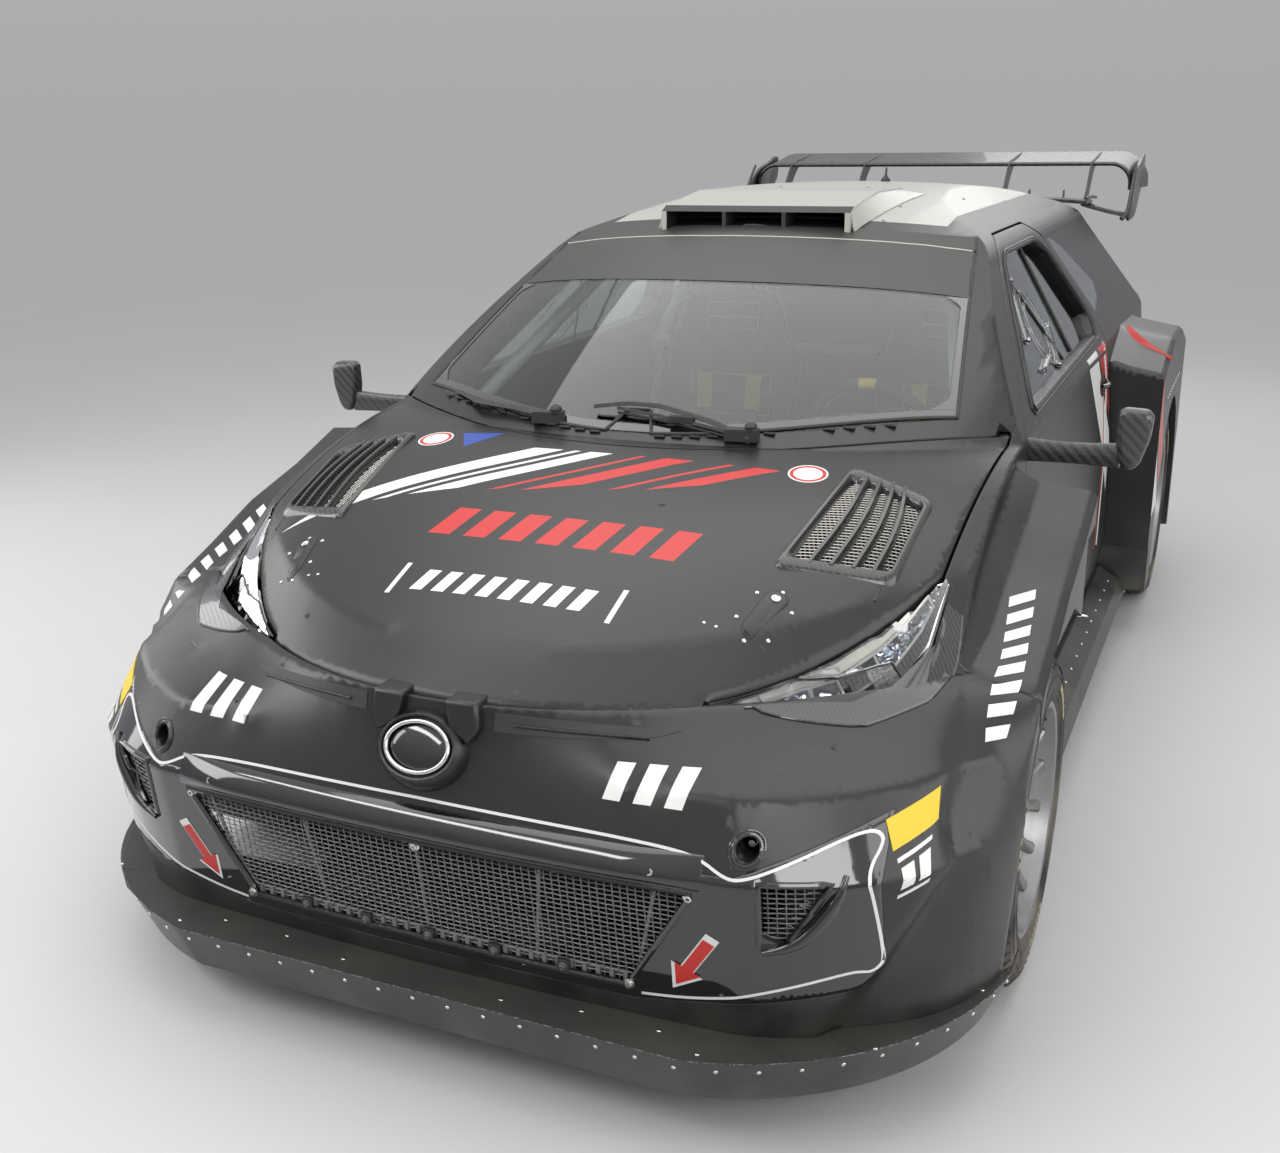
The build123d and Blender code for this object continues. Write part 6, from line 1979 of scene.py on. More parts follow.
# wheels and tyres
wheelPlan = {
    "axleZ": 0.322,
    "frontY": -1.302,
    "rearY": 1.328,
    "spokes": 15,
    "rim": [(0.2285, 0.697), (0.2285, 0.706), (0.219, 0.709), (0.213, 0.722), (0.205, 0.740), (0.205, 0.862),
            (0.212, 0.876), (0.219, 0.905), (0.2285, 0.908), (0.2285, 0.9175), (0.224, 0.9195),
            (0.218, 0.917), (0.214, 0.905), (0.208, 0.885), (0.199, 0.870), (0.1985, 0.738), (0.207, 0.716),
            (0.212, 0.700), (0.2185, 0.6965)],
    "tyre": [(0.2290, 0.6985), (0.236, 0.6935), (0.250, 0.6915), (0.272, 0.6905), (0.290, 0.6930),
             (0.302, 0.6990), (0.3105, 0.710), (0.3150, 0.728), (0.3170, 0.765), (0.3175, 0.8075),
             (0.3170, 0.850), (0.3150, 0.887), (0.3105, 0.905), (0.302, 0.916), (0.290, 0.922),
             (0.272, 0.9245), (0.250, 0.9235), (0.236, 0.9215), (0.2290, 0.9165)],
}


def turned(at, profile, sides):
    return [[at(radius, a, x) for a in turns(sides)] for radius, x in profile]


blockFaces = [(0, 1, 2, 3), (4, 7, 6, 5), (0, 4, 5, 1), (1, 5, 6, 2), (2, 6, 7, 3), (3, 7, 4, 0)]


def wheelFrame(y):
    z = wheelPlan["axleZ"]
    return lambda radius, angle, x: Vector((x, y + radius * math.cos(angle), z + radius * math.sin(angle)))


def makeWheel(plan, name, side, y, tail):
    at = wheelFrame(y)
    rim = Shape()
    sides = 72
    rings = [[at(r, a, x) for a in turns(sides)] for r, x in plan["rim"]]
    rim.add(ringsMesh(rings, caps=False, around=True))
    for n in range(plan["spokes"]):
        middle = 2 * math.pi * n / plan["spokes"] + 0.1
        rings = []
        for radius, half, front, back in ((0.040, 0.0085, 0.8655, 0.842), (0.070, 0.0080, 0.8690, 0.842),
                                          (0.110, 0.0066, 0.8740, 0.846), (0.150, 0.0064, 0.8810, 0.852),
                                          (0.180, 0.0078, 0.8900, 0.860), (0.2075, 0.0125, 0.8990, 0.868)):
            turn = half / radius
            rings.append([at(radius, middle - turn, back), at(radius, middle + turn, back),
                          at(radius, middle + turn, front - 0.004),
                          at(radius, middle + turn * 0.55, front), at(radius, middle - turn * 0.55, front),
                          at(radius, middle - turn, front - 0.004)])
        rim.add(ringsMesh(rings))
    hub = [(0.003, 0.858), (0.030, 0.858), (0.034, 0.8635), (0.058, 0.8655), (0.0615, 0.862),
           (0.0615, 0.838), (0.003, 0.838)]
    rim.add(ringsMesh(turned(at, hub, 48)))
    made = rim.piece(f"rim_{tail}", ["rimSilver"], "rim", name, smooth=35, flip=side < 0)
    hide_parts(tail)
    parts = Shape()
    for n in range(5):
        a = 2 * math.pi * n / 5 + 0.3
        place = at(0.0455, a, 0.8645)
        parts.add(latheMesh([(0.0115, -0.003), (0.0115, 0.001), (0.0088, 0.0015), (0.0088, 0.0030),
                             (0.0062, 0.0035), (0.0055, 0.0005), (0.0008, 0.0005)],
                            place, (1, 0, 0), 12))
    parts.add(latheMesh([(0.024, 0.0), (0.023, 0.0055), (0.018, 0.0075), (0.0008, 0.0085)], at(0, 0, 0.8578),
                        (1, 0, 0), 32), 1)
    parts.add(latheMesh([(0.0035, -0.002), (0.0035, 0.014), (0.0024, 0.015), (0.0005, 0.015)],
                        at(0.2065, 0.8, 0.889), (1, 0, 0.1), 10), 2)
    # slotted brake disc and its hat
    disc = [(0.080, 0.7995), (0.082, 0.8005), (0.1575, 0.8005), (0.1590, 0.7995), (0.1590, 0.7915),
            (0.1560, 0.7905), (0.1560, 0.7830), (0.1590, 0.7820), (0.1590, 0.7740), (0.1575, 0.7730),
            (0.080, 0.7740)]
    parts.add(ringsMesh(turned(at, disc, 60)), 3)
    parts.add(ringsMesh(turned(at, ((0.0860, 0.800), (0.0855, 0.828), (0.080, 0.8345), (0.040, 0.836),
                                    (0.003, 0.836)), 48)), 4)
    for n in range(12):
        a = 2 * math.pi * n / 12
        parts.add(tubeMesh([at(0.092 + 0.058 * k / 5, a + 0.20 * k / 5, 0.8008) for k in range(6)], 0.0013,
                           4), 4)
    parts.piece(f"hub_{tail}", ["castSteel", "moulded", "moulded", "discSteel", "castSteel"], "steel", name,
                smooth=40, flip=side < 0)


def makeTyre(plan, name, side, y, tail):
    at = wheelFrame(y)
    tyre = Shape()
    sides = 96
    rings = [[at(r, a, x) for a in turns(sides)] for r, x in plan["tyre"]]
    inner = [(0.2290, 0.905), (0.236, 0.880), (0.290, 0.860), (0.300, 0.8075), (0.290, 0.755),
             (0.236, 0.735), (0.2290, 0.710)]
    rings += turned(at, inner, sides)
    tyre.add(ringsMesh(rings, caps=False, around=True))
    # tread blocks: staggered rows across the crown and the shoulders
    blocks = 64
    rows = ((0.7180, 0.020, 0.3195, 0.0, 0.62, 0.18), (0.7490, 0.024, 0.3212, 0.5, 0.66, 0.12),
            (0.7790, 0.022, 0.3217, 0.0, 0.70, 0.08), (0.8075, 0.020, 0.3218, 0.5, 0.74, 0.0),
            (0.8360, 0.022, 0.3217, 0.0, 0.70, -0.08), (0.8660, 0.024, 0.3212, 0.5, 0.66, -0.12),
            (0.8970, 0.020, 0.3195, 0.0, 0.62, -0.18))
    step = 2 * math.pi / blocks
    for x, width, top, shift, fill, slant in rows:
        for k in range(blocks):
            middle = (k + shift) * step
            half = step * fill / 2
            corners = []
            for radius, scale in ((0.3120, 1.04), (top, 0.94)):
                for u, v in ((-1, -1), (1, -1), (1, 1), (-1, 1)):
                    corners.append(at(radius, middle + half * scale * u + slant * step * v,
                                      x + width / 2 * scale * v))
            tyre.add((corners, blockFaces))
    # shoulder lugs and raised rings on the outer wall
    for k in range(blocks):
        middle = (k + 0.25) * step
        for x1, x2, r1, r2 in ((0.9080, 0.9205, 0.3140, 0.2960), (0.7070, 0.6945, 0.3140, 0.2960)):
            corners = []
            for lift in (0.0, 0.0022):
                for radius, x, u in ((r1, x1, -1), (r1, x1, 1), (r2, x2, 1), (r2, x2, -1)):
                    out = lift if x > 0.8 else -lift
                    corners.append(at(radius + lift * 0.5, middle + step * 0.24 * u, x + out))
            tyre.add((corners, blockFaces))
    for radius, x in ((0.2800, 0.9240), (0.2520, 0.9240), (0.2400, 0.9225)):
        tyre.add(tubeMesh([at(radius, a, x) for a in turns(72)], 0.0011, 4, closed=True))
    # bars round the wall in place of lettering
    for start in (0.5, 2.6, 4.7):
        for k in range(6):
            a = start + 0.085 * k
            corners = []
            for lift in (0.0, 0.0012):
                for radius, u in ((0.2585, -1), (0.2585, 1), (0.2730, 1), (0.2730, -1)):
                    corners.append(at(radius, a + 0.024 * u, 0.9242 + lift))
            tyre.add((corners, blockFaces), 1)
    made = tyre.piece(f"tread_{tail}", ["rubber", "wallMark"], "tyre", name, smooth=38, flip=side < 0)
    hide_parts(tail)


makeFinish("wallMark", (0.33, 0.30, 0.16), 0.7, grain=0.3, bump=0.2, dust=0.5, dustTop=0.9)
for side, hand in ((1, "left"), (-1, "right")):
    for place, y in (("front", wheelPlan["frontY"]), ("rear", wheelPlan["rearY"])):
        makeWheel(wheelPlan, f"wheel_{place}_{hand}", side, y, f"{place}_wheel_{hand}")
        makeTyre(wheelPlan, f"wheel_{place}_{hand}", side, y, f"{place}_tyre_{hand}")
print("wheels and tyres made")


# seats: shells, simulated pads, belts
seatPlan = {
    "across": 0.345,
    # inside line of pan and back, and the front edge of the wings, as (y, z)
    "inside": [(-0.105, 0.288), (0.02, 0.275), (0.15, 0.260), (0.27, 0.247), (0.36, 0.240), (0.412, 0.262),
               (0.435, 0.34), (0.462, 0.46), (0.488, 0.58), (0.505, 0.68), (0.515, 0.78), (0.524, 0.88),
               (0.532, 0.97), (0.541, 1.06), (0.546, 1.092)],
    "wings": [(-0.080, 0.385), (0.03, 0.398), (0.16, 0.410), (0.25, 0.418), (0.30, 0.425), (0.325, 0.475),
              (0.348, 0.535), (0.385, 0.625), (0.415, 0.695), (0.440, 0.762), (0.462, 0.83), (0.488, 0.90),
              (0.462, 0.975), (0.468, 1.050), (0.505, 1.082)],
    "half": [0.212] * 10 + [0.214, 0.205, 0.180, 0.160, 0.125],
    "profile": [(1.0, 1.0), (1.0, 0.75), (0.99, 0.48), (0.96, 0.26), (0.90, 0.10), (0.80, 0.025),
                (0.55, 0.0), (0.25, 0.0)],
    # pads: first and last station, half width, thickness, how far a point may move
    "pads": {"pan": (0.5, 3.7, 0.158, 0.026, 0.011), "lumbar": (5.6, 8.2, 0.140, 0.022, 0.009),
             "shoulder": (8.5, 10.6, 0.150, 0.020, 0.008), "head": (11.9, 13.4, 0.095, 0.026, 0.009)},
}


def seatSpot(plan, station, x=0.0, height=0.0):
    line = plan["inside"]
    n = min(len(line) - 2, int(station))
    (y1, z1), (y2, z2) = line[n], line[n + 1]
    t = station - n
    along = Vector((0, y2 - y1, z2 - z1)).normalized()
    out = Vector((0, -along.z, along.y))
    return Vector((x, y1 + (y2 - y1) * t, z1 + (z2 - z1) * t)) + out * height, out


def makeSeatShell(plan):
    rings, rims = [], []
    for n, ((cy, cz), (ty, tz), half) in enumerate(zip(plan["inside"], plan["wings"], plan["half"])):
        centre, wing = Vector((0, cy, cz)), Vector((0, ty - cy, tz - cz))
        out = seatSpot(plan, min(n, 13.9))[1]
        inner, outer = [], []
        shares = plan["profile"] + [(0.0, 0.0)] + [(-x, h) for x, h in reversed(plan["profile"])]
        for x, h in shares:
            point = centre + wing * h + Vector((x * half, 0, 0))
            inner.append(point)
            outer.append(point - out * 0.008
                         * (1 - h) + Vector((math.copysign(0.009 * abs(x) ** 3, x), 0, 0)))
        rings.append(inner + outer[::-1])
        rims.append((inner[0] + Vector((0.0045, 0, 0)), inner[-1] - Vector((0.0045, 0, 0))))
    shell = Shape()
    shell.add(ringsMesh(rings))
    edge = [a for a, _ in rims] + [b for _, b in reversed(rims)]
    shell.add(tubeMesh(alongCurve(edge, 90), 0.0075, 8), 1)
    shell.add(tubeMesh([seatSpot(plan, 0.0, x)[0] for x in [-0.20 + 0.40 * k / 12 for k in range(13)]],
                       0.0075, 8), 1)
    # belt openings with their trims
    for x, station, wide, high in ((-0.085, 11.35, 0.034, 0.020), (0.085, 11.35, 0.034, 0.020),
                                   (0.0, 2.55, 0.036, 0.018)):
        loop = [seatSpot(plan, station + math.sin(a) * high / 0.1, x + wide * math.cos(a), 0.002)[0]
                for a in turns(24)]
        shell.add(tubeMesh(loop, 0.0045, 6, closed=True), 1)
        shell.add(ringsMesh([loop, [p * 0.999 + Vector((x, 0, 0)) * 0.001 for p in loop]]), 2)
    # brackets that carry the shell on the floor
    for hand in (-1, 1):
        side = [(-0.02, 0.166), (0.36, 0.166), (0.36, 0.180), (0.33, 0.240), (0.34, 0.330), (0.28, 0.345),
                (0.24, 0.262), (0.08, 0.272), (0.03, 0.350), (-0.03, 0.345), (0.0, 0.250), (-0.02, 0.180)]
        shell.add(ringsMesh([[(x, y, z) for y, z in roundedOutline([Vector(p) for p in side], 0.012, 3)]
                             for x in (hand * 0.2225, hand * 0.2265)]), 3)
        shell.add(boxMesh((hand * 0.205, 0.17, 0.1675), (0.040, 0.38, 0.004)), 3)
        for y, z in ((0.0, 0.325), (0.31, 0.315)):
            shell.add(boltMesh((hand * 0.2265, y, z), (hand, 0, 0), 0.008, 0.007), 3)
    return shell


def puffed(mesh, cap, seed):
    # voxel skin, blown up by cloth pressure, each point held to its cap
    data = bpy.data.meshes.new("padBase")
    data.from_pydata([Vector(c) for c in mesh[0]], [], mesh[1])
    sorter = bmesh.new()
    sorter.from_mesh(data)
    bmesh.ops.recalc_face_normals(sorter, faces=sorter.faces)
    sorter.to_mesh(data)
    sorter.free()
    pad = placed("padBase", data)
    remesh = pad.modifiers.new("voxels", "REMESH")
    remesh.mode = "VOXEL"
    remesh.voxel_size = 0.006
    bpy.context.view_layer.update()
    skin = bpy.data.meshes.new_from_object(pad.evaluated_get(bpy.context.evaluated_depsgraph_get()))
    pad.modifiers.clear()
    pad.data = skin
    start = [v.co.copy() for v in skin.vertices]
    cloth = pad.modifiers.new("padCloth", "CLOTH")
    cloth.settings.use_pressure = True
    cloth.settings.uniform_pressure_force = 4.0
    cloth.settings.effector_weights.gravity = 0.0
    cloth.settings.quality = 4
    scene = bpy.context.scene
    for step in range(1, 21):
        scene.frame_set(step)
    blown = bpy.data.meshes.new_from_object(pad.evaluated_get(bpy.context.evaluated_depsgraph_get()))
    pad.modifiers.clear()
    for vertex, first, moved in zip(skin.vertices, start, blown.vertices):
        step = moved.co - first
        if step.length > cap:
            step *= cap / step.length
        vertex.co = first + step
    bpy.data.meshes.remove(blown)
    scene.frame_set(1)
    sorter = bmesh.new()
    sorter.from_mesh(skin)
    for _ in range(3):
        bmesh.ops.smooth_vert(sorter, verts=sorter.verts, factor=0.5, use_axis_x=True, use_axis_y=True,
                              use_axis_z=True)
    # a faint, repeatable unevenness of the stuffing
    dice = random.Random(seed)
    shift = [dice.uniform(0, 6.3) for _ in range(3)]
    for vertex in sorter.verts:
        wave = math.sin(vertex.co.x * 31 + shift[0]) * math.sin((vertex.co.y + vertex.co.z) * 27 + shift[1])
        vertex.co += vertex.normal * wave * 0.0012
    sorter.to_mesh(skin)
    sorter.free()
    made = ([v.co.copy() for v in skin.vertices], [tuple(f.vertices) for f in skin.polygons])
    bpy.data.objects.remove(pad)
    return made


def strapMesh(points, outs, width, thick=0.0024):
    rings = []
    for n, (point, out) in enumerate(zip(points, outs)):
        ahead = (points[min(n + 1, len(points) - 1)] - points[max(n - 1, 0)]).normalized()
        across = ahead.cross(out).normalized() * (width / 2)
        lift = across.cross(ahead).normalized() * (thick / 2)
        rings.append([point - across - lift * 0.6, point + across - lift * 0.6, point + across + lift * 0.6,
                      point + across * 0.9 + lift,
                      point - across * 0.9 + lift, point - across + lift * 0.6])
    return ringsMesh(rings)


def beltRun(plan, stations, xs, height, count=40):
    spots = alongCurve([seatSpot(plan, s, x, h)[0] for s, x, h in zip(stations, xs, height)], count)
    outs = []
    for p in spots:
        near = min(range(140), key=lambda k: (seatSpot(plan, k / 10)[0] - Vector((0, p.y, p.z))).length)
        outs.append(seatSpot(plan, near / 10)[1])
    return spots, outs


def makeBelts(plan):
    belts = Shape()
    buckle, out = seatSpot(plan, 3.9, 0.0, 0.062)
    for hand in (-1, 1):
        stations = [11.35, 11.1, 10.6, 9.6, 8.0, 6.6, 5.6, 4.9, 4.3, 4.0]
        xs = [hand * x for x in (0.085, 0.085, 0.083, 0.080, 0.074, 0.066, 0.056, 0.044, 0.032, 0.022)]
        height = [0.004, 0.022, 0.038, 0.040, 0.042, 0.044, 0.050, 0.062, 0.062, 0.060]
        spots, outs = beltRun(plan, stations, xs, height, 54)
        belts.add(strapMesh(spots, outs, 0.046))
        belts.add(strapMesh([p + o * 0.0022 for p, o in zip(spots[7:17], outs[7:17])], outs[7:17],
                            0.049, 0.003), 1)
        belts.add(strapMesh([p + o * 0.0016 for p, o in zip(spots[36:41], outs[36:41])], outs[36:41],
                            0.050, 0.006), 2)
        # behind the shell, up to the cross bar
        back = [seatSpot(plan, 11.35, hand * 0.085)[0], Vector((hand * 0.085, 0.575, 0.925)),
                Vector((hand * 0.088, 0.628, 0.930))]
        belts.add(strapMesh(back, [Vector((0, 0.1, 1))] * 3, 0.046))
        lap = [seatSpot(plan, 5.0, hand * 0.196, 0.060)[0], seatSpot(plan, 4.6, hand * 0.150, 0.066)[0],
               seatSpot(plan, 4.2, hand * 0.090, 0.064)[0], seatSpot(plan, 3.95, hand * 0.026, 0.060)[0]]
        run = alongCurve(lap, 18)
        belts.add(strapMesh(run, [out] * 18, 0.046))
        belts.add(strapMesh([p + out * 0.0016 for p in run[6:10]], [out] * 4, 0.050, 0.006), 2)
        leg = alongCurve([seatSpot(plan, 2.55, hand * 0.012, 0.004)[0],
                          seatSpot(plan, 2.7, hand * 0.014, 0.046)[0],
                          seatSpot(plan, 3.3, hand * 0.014, 0.056)[0],
                          seatSpot(plan, 3.8, hand * 0.014, 0.058)[0]], 16)
        belts.add(strapMesh(leg, [out] * 16, 0.028))
    disc = [(0.002, -0.010), (0.030, -0.010), (0.033, -0.006), (0.033, 0.004), (0.029, 0.007),
            (0.020, 0.0075), (0.018, 0.011), (0.004, 0.012)]
    belts.add(latheMesh(disc, buckle, out, 30), 2)
    belts.add(boxMesh(buckle + out * 0.012, (0.030, 0.008, 0.004)), 1)
    return belts


def shiftedPiece(shape, name, finishNames, slotName, x, smooth=40, bevel=0.0):
    moved = Shape()
    moved.corners = [corner + Vector((x, 0, 0)) for corner in shape.corners]
    moved.faces, moved.slots = list(shape.faces), list(shape.slots)
    return moved.piece(name, finishNames, slotName, smooth=smooth, bevel=bevel)


def makeSeats(plan):
    shell, belts = makeSeatShell(plan), makeBelts(plan)
    pads = {}
    for seed, (label, (low, high, half, thick, cap)) in enumerate(plan["pads"].items()):
        rings = []
        for n in range(13):
            station = low + (high - low) * n / 12
            squeeze = 1 - 0.10 * (abs(n - 6) / 6) ** 3
            rings.append([seatSpot(plan, station, x * squeeze, h)[0] for x, h in
                          ((-half, 0.003), (-half * 0.5, 0.003), (half * 0.5, 0.003), (half, 0.003),
                           (half * 0.97, thick),
                           (half * 0.5, thick + 0.004), (-half * 0.5, thick + 0.004),
                           (-half * 0.97, thick))])
        mesh = puffed(ringsMesh(rings), cap, seed)
        skin = BVHTree.FromPolygons(mesh[0], mesh[1])
        seams = Shape()

        def onPad(station, x, skin=skin):
            above, out = seatSpot(plan, station, x, 0.12)
            hit, normal, _, _ = skin.ray_cast(above, -out)
            return hit + normal * 0.0002 if hit is not None else seatSpot(plan, station, x, 0.02)[0]

        inset, margin = 0.88, (high - low) * 0.07
        stops = (-half * inset, 0.0, half * inset)
        loop = [(low + margin, x) for x in stops] + [(high - margin, x) for x in stops[::-1]]
        track = []
        for (s1, x1), (s2, x2) in zip(loop, loop[1:] + loop[:1]):
            track += [onPad(s1 + (s2 - s1) * k / 14, x1 + (x2 - x1) * k / 14) for k in range(14)]
        seams.add(tubeMesh(track, 0.0016, 6, closed=True))
        for share in (0.33, 0.66):
            station = low + (high - low) * share
            seams.add(tubeMesh([onPad(station, half * 0.86 * (2 * k / 24 - 1)) for k in range(25)], 0.0013,
                               6))
        pads[label] = (Shape().add(mesh), seams)
        print("pad", label, len(mesh[0]))
    for hand, side in ((1, "driver"), (-1, "navigator")):
        x = plan["across"] * hand
        made = shiftedPiece(shell, f"seatShell_{side}", ["carbonDark", "beltCloth", "moulded", "castSteel"],
                            "seat_fabric", x, 42)
        if hand > 0:
            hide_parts("seats")
        for label, (pad, seams) in pads.items():
            cover = shiftedPiece(pad, f"seatPad_{label}_{side}", ["seatCloth"], "seat_fabric", x, 180)
            shiftedPiece(seams, f"seatSeams_{label}_{side}", ["stitching"], "seat_fabric", x, 60)
        shiftedPiece(belts, f"belts_{side}", ["beltCloth", "tagYellow", "brightMetal"], "seat_fabric", x, 40)


makeFinish("stitching", (0.22, 0.22, 0.22), 0.7, grain=0.2, cloth=0.002, bump=0.3)
makeSeats(seatPlan)
print("seats made")


# steering wheel and its column
helmPlan = {"foot": (0.345, -0.760, 0.720), "centre": (0.345, -0.428, 0.846),
            "radius": 0.152, "grip": 0.0135}


def makeHelm(plan):
    foot, centre = Vector(plan["foot"]), Vector(plan["centre"])
    axis = (centre - foot).normalized()
    level = Vector((1, 0, 0))
    up = level.cross(axis) * -1 if level.cross(axis).z < 0 else level.cross(axis)

    def at(angle, radius, push):
        return centre + level * (radius * math.cos(angle)) + up * (radius * math.sin(angle)) + axis * push

    rim, track, thick = Shape(), [], []
    for angle in turns(96):
        flat = plan["radius"] * 0.86 / max(0.30, -math.sin(angle)) if math.sin(angle) < -0.5 else 9.0
        track.append(at(angle, min(plan["radius"], flat), 0.012))
        side = abs(math.cos(angle))
        thick.append(plan["grip"] * (1.0 + 0.18 * max(0.0, side - 0.75) / 0.25))
    rim.add(tubeMesh(track, thick, 12, closed=True))
    rim.add(tubeMesh([p + (centre - p).normalized() * 0.0140 for p in track], 0.0011, 4, closed=True), 1)
    mark = track[22:27]
    rim.add(tubeMesh(mark, [plan["grip"] * 1.05] * 5, 12), 2)
    rim.piece("helmRim", ["suede", "stitching", "tagYellow"], "dark_plastic",
              "steering_wheel_body", smooth=60)
    hub = Shape()
    for middle, wide in ((0.12, 0.30), (math.pi - 0.12, 0.30), (-math.pi / 2, 0.24)):
        rings = []
        for n in range(9):
            radius = 0.034 + (plan["radius"] * (0.98 if middle > -1 else 0.86) - 0.034) * n / 8
            half = wide * (0.032 + 0.010 * abs(n / 4 - 1)) / radius
            push = 0.004 + 0.008 * n / 8
            rings.append([at(middle - half, radius, push), at(middle + half, radius, push),
                          at(middle + half, radius, push + 0.004),
                          at(middle - half, radius, push + 0.004)])
        hub.add(ringsMesh(rings))
    hub.add(latheMesh([(0.010, -0.045), (0.032, -0.045), (0.034, -0.020), (0.040, -0.012), (0.042, 0.002),
                       (0.046, 0.006), (0.046, 0.013), (0.040, 0.018), (0.020, 0.020), (0.003, 0.0205)],
                       centre, axis, 40), 1)
    for k in range(6):
        hub.add(boltMesh(at(math.pi / 3 * k + 0.5, 0.036, 0.0165), axis, 0.0038, 0.004), 2)
    for angle, radius, slot in ((0.18, 0.078, 3), (0.05, 0.100, 4), (math.pi - 0.18, 0.078, 5),
                                (math.pi - 0.05, 0.100, 3),
                                (-1.40, 0.070, 4), (-1.74, 0.070, 2)):
        hub.add(latheMesh([(0.0095, 0.0), (0.0095, 0.005), (0.0070, 0.0055), (0.0070, 0.009),
                           (0.001, 0.010)], at(angle, radius, 0.010), axis, 18), slot)
    hub.piece("helmHub", ["carbonGloss", "moulded", "brightMetal", "stripeRed", "tagYellow", "stripeWhite"],
              "dark_plastic", "steering_wheel_body", smooth=40, bevel=0.0008)
    column = Shape()
    length = (centre - foot).length
    profile = [(0.003, 0.0), (0.019, 0.0), (0.019, length * 0.55), (0.024, length * 0.56),
               (0.024, length * 0.62), (0.017, length * 0.63),
               (0.017, length - 0.07), (0.030, length - 0.065), (0.030, length - 0.045),
               (0.003, length - 0.044)]
    column.add(latheMesh(profile, foot, axis, 28))
    for hand in (-1, 1):
        paddle = [at(math.pi / 2 - hand * (1.15 + 0.12 * k), 0.060 + 0.045 * math.sin(k * 0.8), -0.022)
                  for k in range(4)]
        column.add(tubeMesh([centre - axis * 0.022, *paddle], 0.004, 6))
    made = column.piece("helmColumn", ["castSteel"], "steel", "steering_wheel_body", smooth=40)
    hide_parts("steering_wheel")


makeHelm(helmPlan)


# dashboard, levers, pedals and what stands on the floor
cabinPlan = {
    "face": (-0.580, 0.805),           # middle of the dashboard's upper face, as (y, z)
    "facing": (0.0, 0.914, 0.406),
    "floor": 0.165,
}


